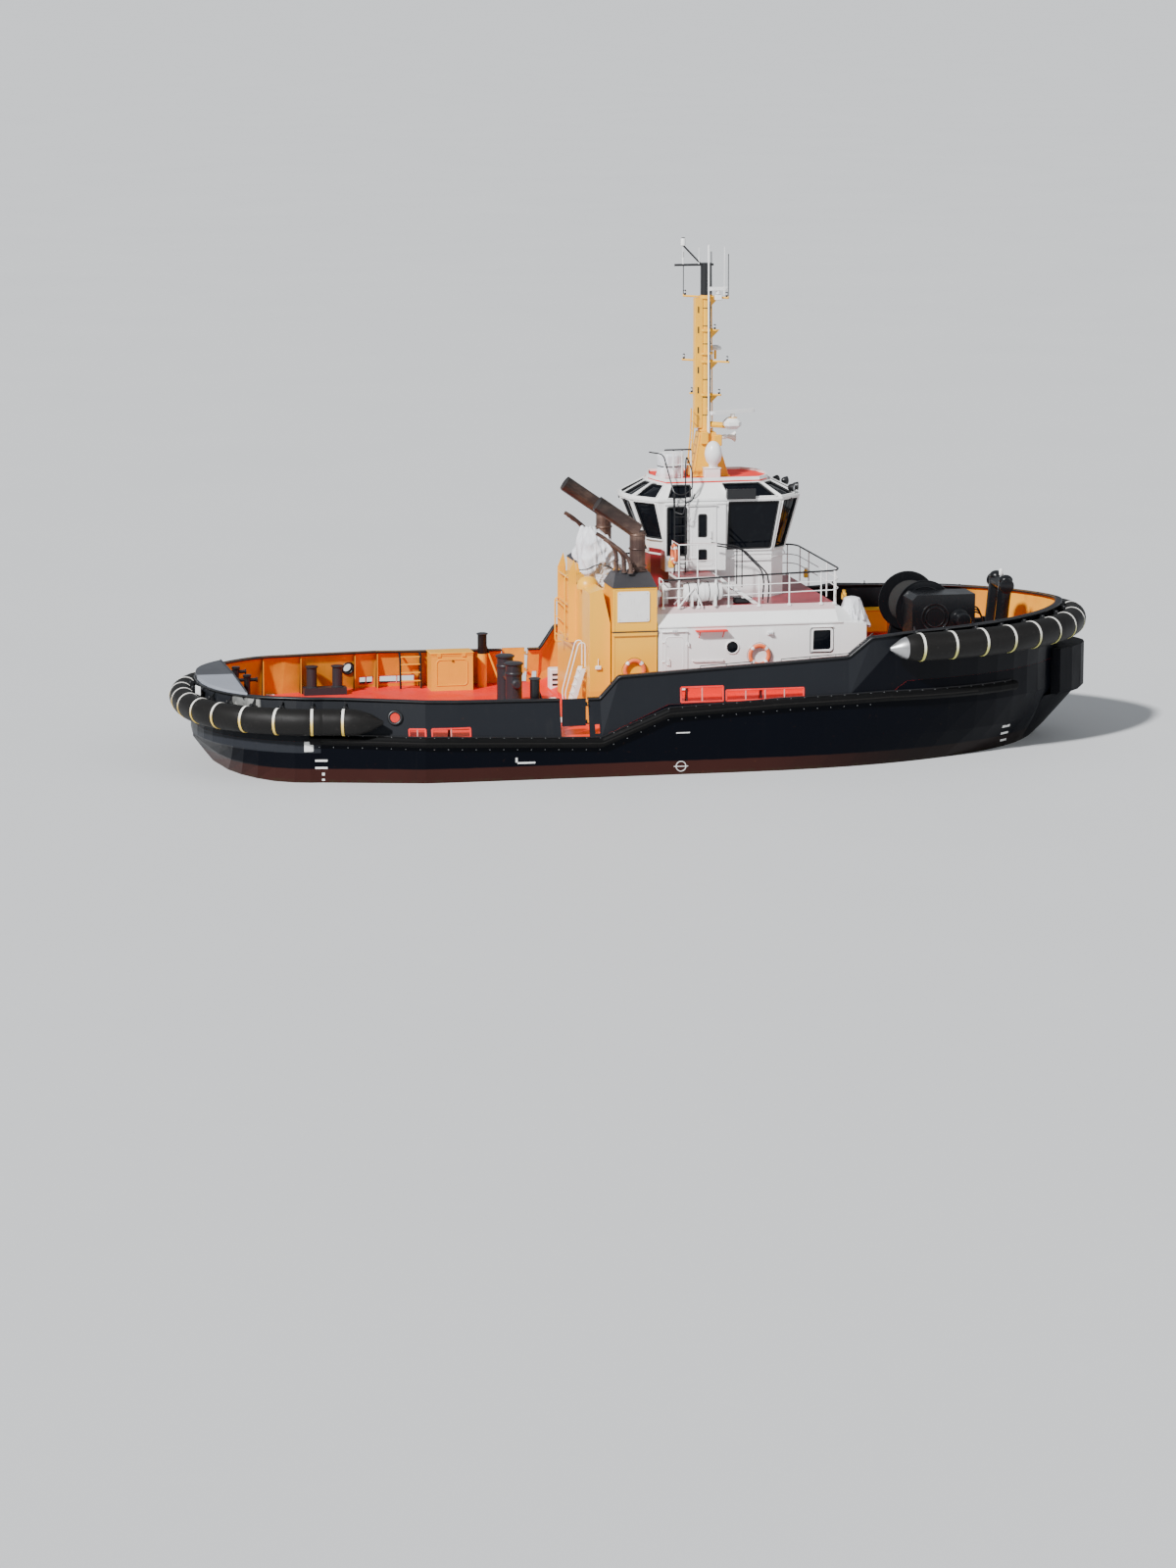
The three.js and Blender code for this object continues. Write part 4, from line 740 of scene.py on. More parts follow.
@dataclass(frozen=True)
class BulwarkFinish(Finish):
    """Bulwarks: dark grey outside, ochre inside, black on the rail and round the bow.

    Attributes:
        bow_x: Where the black of the bow would begin at the waterline.
        bow_slope: How far it moves forward for each metre of height.
        scuff: Where ropes have polished the plating: lowest and highest X, lowest and highest Z.
    """

    bow_x: float = 3.44
    bow_slope: float = 0.93
    scuff: tuple[float, float, float, float] = (-12.95, -12.25, 2.02, 2.44)

    def paint(self, tree: Tree) -> None:
        """Builds the finish in a tree."""
        centre = tree.add("ShaderNodeVectorMath", operation="SUBTRACT")
        tree.feed(centre.inputs[0], tree.place)
        middle = tree.mix(tree.above("x", -3.0, 0.05), (-9.0, 0.0, 2.0), (9.0, 0.0, 2.0))
        tree.feed(centre.inputs[1], middle)
        dot = tree.add("ShaderNodeVectorMath", operation="DOT_PRODUCT")
        tree.feed(dot.inputs[0], centre.outputs[0])
        tree.feed(dot.inputs[1], tree.facing)
        outside = tree.span(dot.outputs["Value"], -0.05, 0.05)
        x, z = tree.axis("x"), tree.axis("z")
        bow = tree.span(tree.sum_of((x, 1.0), (z, -self.bow_slope)), self.bow_x, self.bow_x + 0.04)
        outer = tree.mix(bow, self.colour, NAVY)
        inner = tree.mix(tree.span(tree.noise(0.8, 5), 0.35, 0.65), (0.86, 0.4, 0.026), (0.7, 0.28, 0.02))
        inner = tree.mix(tree.both(tree.above("x", 0.6, 0.01), tree.below("x", 6.2)), inner, self.colour)
        lined = tree.both(tree.above("x", 6.2), tree.below("x", 9.65), tree.above("z", 3.36))
        strake = tree.both(tree.above("x", 9.6), tree.below("x", 11.6, 0.3), tree.above("z", 3.8))
        inner = tree.mix(tree.maths("MAXIMUM", lined, strake), inner, (0.008, 0.008, 0.01))
        colour = tree.mix(outside, inner, outer)
        cap = tree.mix(
            tree.both(tree.above("x", -2.2, 0.1), tree.below("x", 5.8, 0.1)), (0.014, 0.014, 0.017),
            (0.06, 0.02, 0.02)
        )
        colour = tree.mix(tree.upward(0.8), colour, cap)
        x0, x1, z0, z1 = self.scuff
        spot = tree.both(
            tree.above("x", x0, 0.05), tree.below("x", x1, 0.05), tree.above("z", z0, 0.05),
            tree.below("z", z1, 0.03), tree.span(tree.noise(2.2, 3), 0.3, 0.4), outside
        )
        tree.weather(tree.mix(spot, colour, (0.42, 0.42, 0.4)), self.wear)
        tree.feed(tree.shader.inputs["Metallic"], spot)


@dataclass(frozen=True)
class BandedFinish(Finish):
    """A wall with another colour below a level and on its top faces.

    Attributes:
        band_z: Upper edge of the band at the foot.
        band: Colour of the band.
        top_z: Above this, faces that look up take the top's colour.
        top: Colour of the top.
        aft: Colour of aft-facing walls below aft_z, where there is one.
        aft_z: Upper edge of the aft colour.
    """

    band_z: float = -99.0
    band: Colour = DECK_RED
    top_z: float = 99.0
    top: Colour = DECK_RED
    aft: Colour | None = None
    aft_z: float = 0.0

    def paint(self, tree: Tree) -> None:
        """Builds the finish in a tree."""
        colour = tree.mix(tree.below("z", self.band_z), self.colour, self.band)
        colour = tree.mix(tree.both(tree.upward(), tree.above("z", self.top_z)), colour, self.top)
        if self.aft is not None:
            astern = tree.span(tree.axis("x", tree.facing), -0.5, -0.4, 1.0, 0.0)
            colour = tree.mix(
                tree.both(astern, tree.below("z", self.aft_z), tree.below("x", 0.75)), colour, self.aft
            )
        tree.weather(colour, self.wear)


@dataclass(frozen=True)
class SplitFinish(Finish):
    """One colour below a level and another above it.

    Attributes:
        axis: The axis that is split.
        level: Where the second colour begins.
        second: The second colour.
        soft: Width of the change.
    """

    axis: str = "z"
    level: float = 0.0
    second: Colour = BLACK
    soft: float = 0.01

    def paint(self, tree: Tree) -> None:
        """Builds the finish in a tree."""
        tree.weather(
            tree.mix(tree.above(self.axis, self.level, self.soft), self.colour, self.second), self.wear
        )
        tree.shader.inputs["Metallic"].default_value = self.metallic


@dataclass(frozen=True)
class RubberFinish(Finish):
    """Fender rubber: black with pale scuffs along it and fine cracks."""

    def paint(self, tree: Tree) -> None:
        """Builds the finish in a tree."""
        scuffs = tree.span(tree.noise(1.8, 8, (1, 1, 3.5), 0.7), 0.5, 0.72)
        chalk = tree.span(tree.noise(9, 6), 0.45, 0.75)
        colour = tree.mix(tree.both(scuffs, chalk), self.colour, tuple(3.6 * c for c in self.colour))
        tree.weather(colour, self.wear)


@dataclass(frozen=True)
class DeckFinish(Finish):
    """Non-slip deck paint with a coarse grit."""

    def paint(self, tree: Tree) -> None:
        """Builds the finish in a tree."""
        worn = tree.span(tree.noise(1.4, 6), 0.45, 0.68)
        tree.weather(
            tree.mix(worn, self.colour, tuple(min(1.0, c * 1.15 + 0.02) for c in self.colour)), self.wear
        )
        tree.bump(tree.noise(90, 3), 0.006, 0.8)


@dataclass(frozen=True)
class GlassFinish(Finish):
    """Dark tinted window glass with faint salt and wiped arcs."""

    def paint(self, tree: Tree) -> None:
        """Builds the finish in a tree."""
        salt = tree.span(tree.noise(3.0, 6), 0.5, 0.8)
        tree.feed(
            tree.shader.inputs["Base Color"],
            tree.mix(tree.maths("MULTIPLY", salt, 0.25), self.colour, (0.02, 0.024, 0.026))
        )
        tree.feed(tree.shader.inputs["Roughness"], tree.span(salt, 0.0, 1.0, 0.035, 0.16))
        tree.shader.inputs["Specular IOR Level"].default_value = 0.14
        tree.bump(tree.noise(0.9, 2), 0.01, 0.15)


@dataclass(frozen=True)
class RopeFinish(Finish):
    """Laid rope: slanting strands, dusty on their crowns."""

    def paint(self, tree: Tree) -> None:
        """Laid rope: slanting strands, with painted shade darkening the grooves between them."""
        wave = tree.add("ShaderNodeTexWave", wave_type="BANDS", bands_direction="DIAGONAL")
        tree.feed(wave.inputs["Vector"], tree.place)
        wave.inputs["Scale"].default_value = 14
        wave.inputs["Distortion"].default_value = 1.2
        strands = wave.outputs["Fac"]
        # Painted shade: the grooves between the strands are darkened to 0.4 of the colour.
        tree.weather(tree.mix(strands, tree.darker(self.colour, 0.4), self.colour), self.wear)
        tree.bump(strands, 0.012, 0.8)


@dataclass(frozen=True)
class ExhaustFinish(Finish):
    """Heat-browned exhaust steel: soot towards the tips and pale oxide bands."""

    def paint(self, tree: Tree) -> None:
        """Builds the finish in a tree."""
        soot = tree.span(tree.sum_of((tree.axis("z"), 1.0), (tree.noise(2, 5), 0.8)), 7.3, 8.7)
        oxide = tree.span(tree.noise(1.2, 6, (1, 1, 2.4)), 0.4, 0.68)
        colour = tree.mix(oxide, self.colour, (0.2, 0.125, 0.095))
        dark = tree.below("z", 5.86, 0.01)
        colour = tree.mix(dark, colour, (0.04, 0.04, 0.045))
        tree.weather(tree.mix(soot, colour, (0.02, 0.017, 0.016)), self.wear)
        tree.feed(tree.shader.inputs["Metallic"], tree.span(dark, 0.0, 1.0, 0.55, 0.1))


@dataclass(frozen=True)
class CanvasFinish(Finish):
    """White proofed canvas: a fine weave, creases, and patches of bluish-grey painted shade standing in for
    the shade in its folds.
    """

    def paint(self, tree: Tree) -> None:
        """Builds the finish in a tree."""
        # Painted shade: bluish-grey patches from a noise stand in for the shade in the cloth's folds.
        painted_fold_shade = tree.span(tree.noise(2.6, 4, (1, 1, 0.5)), 0.42, 0.62)
        colour = tree.mix(tree.maths("MULTIPLY", painted_fold_shade, 0.35), self.colour, (0.4, 0.42, 0.46))
        tree.weather(colour, self.wear)
        weave = tree.add("ShaderNodeTexChecker")
        tree.feed(weave.inputs["Vector"], tree.place)
        weave.inputs["Scale"].default_value = 260
        tree.bump(tree.sum_of((weave.outputs["Fac"], 0.08), (tree.noise(5, 5), 1.0)), 0.02, 0.5)


CLEAN = Wear(roughness=0.34, drift=0.08, runs=0.12, specks=0.1, dirt=(0.3, 0.22, 0.14), dents=0.2)
MATT = Wear(roughness=0.72, drift=0.3, runs=0.0, specks=0.2, grain=0.6)
SMALL = Wear(roughness=0.36, drift=0.15, runs=0.1, specks=0.2, scale=4.0, dents=0.05)

HULL_PAINT = HullFinish(
    "topsides_paint", NAVY, Slot.HULL,
    Wear(roughness=0.36, drift=0.2, runs=0.1, specks=0.1, dirt=(0.01, 0.009, 0.01), shine=0.07)
)
BULWARK_PAINT = BulwarkFinish(
    "bulwark_coat", BULWARK_GREY, Slot.BULWARK,
    Wear(roughness=0.42, drift=0.2, runs=0.12, specks=0.08, dirt=(0.03, 0.028, 0.027), shine=0.12)
)
# Grey stern cap: the port half of the centreline takes a much darker grey as painted shade, for the half that
# faces away from the light.
STERN_CAP_GREY_PORT_SHADED = SplitFinish(
    "stern_plate_grey_port_shaded", (0.27, 0.29, 0.335), Slot.GREY,
    Wear(roughness=0.5, drift=0.25, runs=0.1, dirt=(0.2, 0.19, 0.18)), axis="y", level=0.0,
    second=(0.05, 0.053, 0.062), soft=0.015
)
FITTING_GREY = Finish(
    "fitting_grey", (0.024, 0.025, 0.03), Slot.GREY, Wear(roughness=0.4, scale=3.0, runs=0.15, shine=0.35)
)
BRIGHT_STEEL = Finish(
    "scuffed_steel", (0.42, 0.42, 0.43), Slot.GREY, Wear(roughness=0.38, drift=0.3, runs=0.2, scale=2.5),
    metallic=0.8
)
FENDER_RUBBER = RubberFinish(
    "fender_black", (0.0068, 0.0062, 0.0058), Slot.RUBBER,
    Wear(
        roughness=0.55, shine=0.2, drift=0.2, runs=0.0, specks=0.3, speck_colour=(0.1, 0.09, 0.08), grain=0.5,
        scale=1.6
    )
)
UNDERWATER_RED = Finish(
    "underwater_red", (0.16, 0.035, 0.022), Slot.DRIVE,
    Wear(roughness=0.62, drift=0.3, dirt=(0.06, 0.06, 0.03))
)
BRONZE_CAST = Finish(
    "propeller_bronze", (0.5, 0.29, 0.1), Slot.BRONZE, Wear(roughness=0.32, drift=0.3, scale=3.0),
    metallic=1.0
)
WHITE_PAINT = Finish("house_white", WHITE, Slot.WHITE, CLEAN)
WHITE_SMALL = Finish(
    "rail_white", WHITE, Slot.WHITE,
    Wear(roughness=0.34, drift=0.08, runs=0.12, specks=0.18, scale=4.0, dirt=(0.35, 0.25, 0.17), dents=0.05)
)
HOUSE_PAINT = BandedFinish(
    "deckhouse_white", WHITE, Slot.WHITE, CLEAN, band_z=2.52, top_z=4.6, top=(0.3, 0.02, 0.032)
)
BASE_PAINT = BandedFinish("wheelhouse_foot_white", WHITE, Slot.WHITE, CLEAN, aft=MAROON, aft_z=9.0)
CABIN_PAINT = BandedFinish("wheelhouse_white", WHITE, Slot.WHITE, CLEAN, aft=MAROON, aft_z=6.32)
PLATFORM_PAINT = BandedFinish("platform_white", WHITE, Slot.MAROON, SMALL, top_z=4.9, top=MAROON)
AFT_WALL_PAINT = BandedFinish("aft_wall_ochre", (0.9, 0.42, 0.018), Slot.OCHRE, CLEAN, band_z=1.42)
CASING_PAINT = BandedFinish("casing_yellow", YELLOW, Slot.YELLOW, CLEAN, band_z=2.3, band=(0.86, 0.4, 0.016))
SIDE_POST = SplitFinish(
    "side_post_paint", (0.86, 0.4, 0.02), Slot.BLACK, Wear(roughness=0.35, scale=3.0, shine=0.35), level=2.32,
    second=BLACK
)
BASKET_PAINT = SplitFinish(
    "basket_rail_paint", (0.84, 0.84, 0.83), Slot.WHITE, SMALL, level=9.325, second=(0.009, 0.0095, 0.011)
)
YELLOW_SMALL = Finish("fitting_yellow", (0.92, 0.46, 0.02), Slot.YELLOW, SMALL)
MAST_PAINT = SplitFinish("mast_yellow", (0.9, 0.46, 0.016), Slot.YELLOW, SMALL, level=13.99)
EXHAUST_STEEL = ExhaustFinish(
    "exhaust_browned", (0.085, 0.05, 0.042), Slot.EXHAUST,
    Wear(roughness=0.46, drift=0.3, runs=0.1, scale=2.0)
)
CANVAS = CanvasFinish(
    "cover_canvas", (0.8, 0.81, 0.84), Slot.CANVAS,
    Wear(roughness=0.85, drift=0.12, runs=0.05, specks=0.0, grain=0.3)
)
DECK_PAINT = DeckFinish("deck_red", DECK_RED, Slot.DECK, MATT)
WINDOW_GLASS = GlassFinish("tinted_glass", (0.003, 0.0038, 0.006), Slot.GLASS)
WHITE_PLASTIC = Finish(
    "moulded_white", (0.8, 0.8, 0.79), Slot.PLASTIC,
    Wear(roughness=0.3, drift=0.05, runs=0.05, specks=0.0, scale=5.0, dents=0.0)
)
BLACK_GLOSS = Finish(
    "machinery_black", BLACK, Slot.BLACK,
    Wear(roughness=0.28, drift=0.15, runs=0.1, specks=0.15, scale=2.0, dirt=(0.03, 0.028, 0.026), shine=0.35)
)
BLACK_SMALL = Finish("rail_black", (0.009, 0.0095, 0.011), Slot.BLACK, SMALL)
LOCKER_OCHRE = Finish("locker_ochre", (0.86, 0.4, 0.02), Slot.OCHRE, SMALL)
STEM_BLACK = RubberFinish(
    "stem_block_black", (0.002, 0.0024, 0.0045), Slot.RUBBER,
    Wear(
        roughness=0.5, shine=0.1, drift=0.1, runs=0.0, specks=0.1, speck_colour=(0.03, 0.03, 0.03), grain=0.4
    )
)
SIDE_RUBBER = RubberFinish(
    "side_fender_black", (0.0026, 0.0026, 0.0028), Slot.RUBBER,
    Wear(
        roughness=0.55, shine=0.12, drift=0.2, runs=0.0, specks=0.2, speck_colour=(0.08, 0.075, 0.07),
        grain=0.5
    )
)
GASKET = Finish(
    "window_gasket", (0.015, 0.015, 0.016), Slot.RUBBER,
    Wear(roughness=0.7, drift=0.1, runs=0.0, specks=0.1, scale=6.0)
)
HAWSER = RopeFinish(
    "hawser_dark", (0.02, 0.019, 0.018), Slot.CANVAS,
    Wear(roughness=0.85, drift=0.2, runs=0.0, specks=0.1, scale=4.0)
)
STRAP_BOW = SplitFinish(
    "bow_strap", (0.62, 0.6, 0.16), Slot.CANVAS, Wear(roughness=0.6, drift=0.2, runs=0.1, scale=4.0),
    level=3.66, second=(0.82, 0.81, 0.76), soft=0.22
)
STRAP_STERN = SplitFinish(
    "stern_strap", (0.85, 0.58, 0.1), Slot.CANVAS, Wear(roughness=0.6, drift=0.2, runs=0.1, scale=4.0),
    level=1.96, second=(0.85, 0.83, 0.78), soft=0.16
)
MARK_WHITE = Finish(
    "marking_white", (0.8, 0.8, 0.78), Slot.WHITE,
    Wear(roughness=0.5, drift=0.1, runs=0.2, specks=0.3, scale=6.0)
)
LIFEBUOY = Finish(
    "lifebuoy_orange", (0.8, 0.16, 0.05), Slot.PLASTIC,
    Wear(roughness=0.5, drift=0.2, runs=0.1, specks=0.0, scale=5.0)
)
RED_LAMP = Finish("lamp_red", (0.5, 0.02, 0.015), Slot.PLASTIC, Wear(roughness=0.15, drift=0.1, scale=8.0))
GREEN_LAMP = Finish("lamp_green", (0.02, 0.3, 0.1), Slot.PLASTIC, Wear(roughness=0.15, drift=0.1, scale=8.0))
LENS = Finish("lamp_lens", (0.5, 0.52, 0.55), Slot.GLASS, Wear(roughness=0.08, drift=0.1, scale=8.0))


# Making pieces


def make_piece(
    name: str, shape: Shapes, finish: Finish, body: Body = Body.TUG, sharp: float = 40.0
) -> bpy.types.Object:
    """Puts a shape into the scene as a piece.

    Args:
        name: Name of the piece.
        shape: Its points and faces, or several shapes that belong to it.
        finish: Its finish.
        body: The body that it rides on.
        sharp: Edges that turn by more degrees than this stay sharp.

    Returns:
        The piece's object.
    """
    if isinstance(shape, list):
        shape = gather(*shape)
    mesh = bpy.data.meshes.new(name)
    faces = [row for rows in shape.faces for row in rows.tolist()]
    mesh.from_pydata(shape.points.tolist(), [], faces)
    mesh.validate()
    mesh.shade_smooth()
    mesh.set_sharp_from_angle(angle=math.radians(sharp))
    piece = bpy.data.objects.new(name, mesh)
    bpy.context.scene.collection.objects.link(piece)
    mesh.materials.append(finish.material())
    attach(piece, body.value)
    LOG.info("%s: %d faces on %s", name, len(mesh.polygons), body.value)
    return piece


def make_pair(name: str, shape: Shapes, finish: Finish, sharp: float = 40.0) -> bpy.types.Object:
    """Puts a shape, with its mirror image across the centreline, into the scene as one fixed piece."""
    half = gather(*shape) if isinstance(shape, list) else shape
    return make_piece(name, both_sides(half), finish, sharp=sharp)


def make_on_door(name: str, shape: Shape, finish: Finish, door: Body) -> None:
    """Makes gear that rides on a door, from its shape on starboard, with the side at its name's end."""
    side = door.value.rsplit("_", 1)[1]
    make_piece(f"{name}_{side}", shape.mirrored() if side == "port" else shape, finish, door)


def dress(node: str, finish: Finish) -> None:
    """Gives a CAD node a finish."""
    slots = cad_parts[node].material_slots
    for slot in slots:
        slot.material = finish.material()
    if not slots:
        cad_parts[node].data.materials.append(finish.material())


def table_at(table: Any, x: Any, column: int = 1) -> Any:
    """Returns a column of a table between its rows, by the first column."""
    rows = np.asarray(table, float)
    return np.interp(x, rows[:, 0], rows[:, column])


# The plan of the deck's edge and the bulwarks' tops


AFT_TOP = (
    (-14.5, 2.52, -0.18), (-13.2, 2.52, -0.2), (-12.5, 2.52, -0.23), (-11.6, 2.54, -0.28), (-9.9, 2.52, -0.3),
    (-6.6, 2.43, -0.3), (-3.37, 2.39, -0.3),
)
FORE_TOP = (
    (-2.5, 2.39, -0.3), (-2.13, 2.39, -0.3), (-1.6, 3.08, -0.06), (5.52, 3.45, -0.06), (6.19, 4.04, 0.12),
    (7.8, 4.15, 0.12), (10.85, 4.23, 0.12), (14.6, 4.3, 0.06),
)
SIDE_FENDER_LINE = (
    (-10.9, 1.31), (-8.7, 1.27), (-6.8, 1.225), (-2.15, 1.07), (-0.1, 1.9), (3.5, 2.08), (6.7, 2.16),
    (11.3, 2.11),
)
EDGE_HALF = ((-10.5, 4.417), (-7.5, 5.16), (-6.5, 5.2))


@dataclass(frozen=True)
class DeckEdge:
    """Plan of the deck's edge.

    Attributes:
        half_beam: Half of the hull's beam.
        stern_half: Half breadth where the stern begins to round.
        stern_x: Where the stern begins to round.
        stern_length: How far it reaches aft from there.
        bow_x: Where the bow begins to round.
        bow_length: How far it reaches forward from there.
    """

    half_beam: float = 5.2
    stern_half: float = 4.417
    stern_x: float = -10.5
    stern_length: float = 3.36
    bow_x: float = 3.5
    bow_length: float = 10.062

    def plan(self, at_bow: bool, start_x: float, count: int) -> tuple[Points, Points]:
        """Works out the edge from one X on starboard, round an end, to the same X on port.

        Args:
            at_bow: True for the bow, False for the stern.
            start_x: Where it starts and ends.
            count: Number of points, equally far apart.

        Returns:
            The points and their outward directions, both flat with Z at 0. Across the end,
            x = start + length * sin(a) ^ p and y = -half * cos(a) ^ q; the sides follow EDGE_HALF.
        """
        base, length, half, p, q, sign = (
            (self.bow_x, self.bow_length, self.half_beam, 0.704, 1.294, 1) if at_bow
            else (self.stern_x, self.stern_length, self.stern_half, 1.2, 0.838, -1)
        )
        a = np.linspace(0, math.pi, 721)
        cosine = np.cos(a)
        x = base + sign * length * np.sin(a).clip(0) ** p
        y = -half * np.sign(cosine) * np.abs(cosine) ** q
        if (start_x - base) * sign < 0:
            side_x = np.linspace(start_x, base, 400)[:-1]
            side_y = table_at(EDGE_HALF, side_x)
            x = np.concatenate([side_x, x, side_x[::-1]])
            y = np.concatenate([-side_y, y, side_y[::-1]])
        kept = (x - start_x) * sign >= -1e-9
        x, y = x[kept], y[kept]
        run = np.concatenate([[0], np.cumsum(np.hypot(np.diff(x), np.diff(y)))])
        even = np.linspace(0, run[-1], count)
        points = np.stack([np.interp(even, run, x), np.interp(even, run, y), np.zeros(count)], 1)
        along = np.gradient(points, axis=0)
        out = np.stack([along[:, 1], -along[:, 0], np.zeros(count)], 1) * sign
        return points, out / np.linalg.norm(out, axis=1, keepdims=True)


EDGE = DeckEdge()


def arc_length(path: Points) -> Points:
    """Returns how far along a path each of its points lies."""
    return np.concatenate([[0], np.cumsum(np.linalg.norm(np.diff(path, axis=0), axis=1))])


# Fenders


# Size of a round fender near its tips, by the distance from the tip in lengths of the cone
TAPER_AT = np.array([0, 0.55, 1.0, 1.35])
TAPER = (0.12, 0.66, 0.9, 1.0)


@dataclass
class RoundFender:
    """A cylindrical rubber fender round one end of the ship, with its straps and lugs.

    Attributes:
        name: Bow or stern.
        at_bow: True for the bow.
        radius: Radius of the rubber.
        z: Height of its middle.
        start_x: Where its tips lie.
        cone: Length of its tapered ends.
        out: How far its middle lies outside the deck's edge.
        straps: Number of straps.
        strap_finish: Finish of the straps.
        plating: Outside of the bulwark at the straps' lugs, from the deck's edge.
        flat: Width of the rubber as a share of its height.
        fin: Length of the fin that holds each strap's top.
        lead: Distance of the first strap from the tip, in lengths of the cone.
    """

    name: str
    at_bow: bool
    radius: float
    z: float
    start_x: float
    cone: float
    out: float
    straps: int
    strap_finish: Finish
    plating: float
    flat: float = 0.955
    fin: float = 0.3
    lead: float = 1.7

    def middle(self, count: int) -> tuple[Points, Points]:
        """Returns the fender's middle line and the outward directions there."""
        points, out = EDGE.plan(self.at_bow, self.start_x, count)
        return points + out * self.out + np.array([0, 0, self.z]), out

    def stations(self, length: float) -> Points:
        """Returns where the straps sit along a deck-edge path of a length."""
        return np.linspace(self.cone * self.lead, length - self.cone * self.lead, self.straps)

    def rubber(self) -> Shape:
        """Returns the rubber: a circle carried round, tapered at the ends and drawn in under each strap."""
        edge, _ = EDGE.plan(self.at_bow, self.start_x, 260)
        path, _ = self.middle(260)
        run = arc_length(edge)
        ends = np.minimum(run, run[-1] - run)
        taper = np.interp(ends, TAPER_AT * self.cone, TAPER)
        gap = np.abs(run[:, None] - self.stations(run[-1])[None]).min(1)
        squeeze = 1 - 0.035 * np.exp(-((gap / 0.1) ** 2))
        return carry(path, circle(self.radius, 32) * (self.flat, 1.0), (0, 0, 1), scale=taper * squeeze)

    def strap_path(
        self, at: int, path: Points, out: Points, start: float, stop: float, lift: float
    ) -> Points:
        """Returns an arc over the rubber: middle + out * r cos t + up * r sin t."""
        t = np.radians(np.linspace(start, stop, 22))[:, None]
        reach = self.radius + lift
        return path[at] + out[at] * reach * self.flat * np.cos(t) + np.array([0, 0, 1.0]) * reach * np.sin(t)

    def build(self) -> None:
        """Makes the rubber, the straps, their lugs and the tips."""
        rubber = make_piece(f"fender_{self.name}_rubber", self.rubber(), FENDER_RUBBER)
        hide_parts(f"fender_{self.name}")
        path, out = self.middle(900)
        run = arc_length(EDGE.plan(self.at_bow, self.start_x, 900)[0])
        places = np.searchsorted(run, self.stations(run[-1]))
        along = np.gradient(path, axis=0)
        along /= np.linalg.norm(along, axis=1, keepdims=True)
        flat = bar_section(0.008, 0.038)
        wide = np.array([[-0.006, -0.055], [0.004, -0.055], [0.004, 0.055], [-0.006, 0.055]])
        bands, pads, lugs = [], [], []
        for at in places:
            bands.append(carry(self.strap_path(at, path, out, -105, 132, -0.003), flat, along[at]))
            pads.append(carry(self.strap_path(at, path, out, -112, 138, -0.012), wide, along[at]))
            root = path[at] - out[at] * (self.out - self.plating)
            top = self.radius * 0.78
            outline = [
                (-0.04, top - 0.1), (0.2, top - 0.04), (0.22, top + 0.05), (0.1, top + 0.1),
                (-0.04, top + 0.24)
            ]
            lugs.append(plate(outline, root, out[at], (0, 0, 1), 0.035))
            ahead = along[at] * np.sign(along[at][0] or 1.0)
            fin = [
                (-0.09, top - 0.24), (-0.09, top + 0.07), (0.07, top + 0.12),
                (self.fin, top - 0.8 * self.fin), (0.2, top - 0.3)
            ]
            lugs.append(plate(fin, root + out[at] * 0.1, ahead, (0, 0, 1), 0.1))
            knob = root + out[at] * 0.14 + np.array([0, 0, top + 0.06])
            lugs.append(
                turning([(0, -0.07), (0.05, -0.06), (0.07, 0), (0.05, 0.06), (0, 0.07)], knob, "Z", 12)
            )
            eye = root + out[at] * 0.17 + np.array([0, 0, top + 0.03])
            lugs.append(pipe([eye - along[at] * 0.05, eye + along[at] * 0.05], 0.022, 8))
            foot = path[at] + out[at] * -0.35 * self.radius - np.array([0, 0, self.radius * 0.97])
            lugs.append(pipe([foot - along[at] * 0.045, foot + along[at] * 0.045], 0.022, 8))
        make_piece(f"fender_{self.name}_straps", bands, self.strap_finish)
        make_piece(f"fender_{self.name}_strap_pads", pads, FENDER_RUBBER)
        make_piece(f"fender_{self.name}_lugs", lugs, BLACK_SMALL)
        if self.at_bow:
            self.tips(path, run)

    def tips(self, path: Points, run: Points) -> None:
        """Makes the bare steel cones on the fender's ends: circles that follow the taper, 8 mm proud."""
        count = int(np.searchsorted(run, 0.82 * self.cone))
        cone = path[:count:6]
        size = np.interp(run[:count:6], TAPER_AT * self.cone, TAPER)
        shape = carry(cone, circle(self.radius + 0.008, 32) * (self.flat, 1.0), (0, 0, 1), scale=size)
        make_pair("fender_bow_tips", shape, BRIGHT_STEEL)


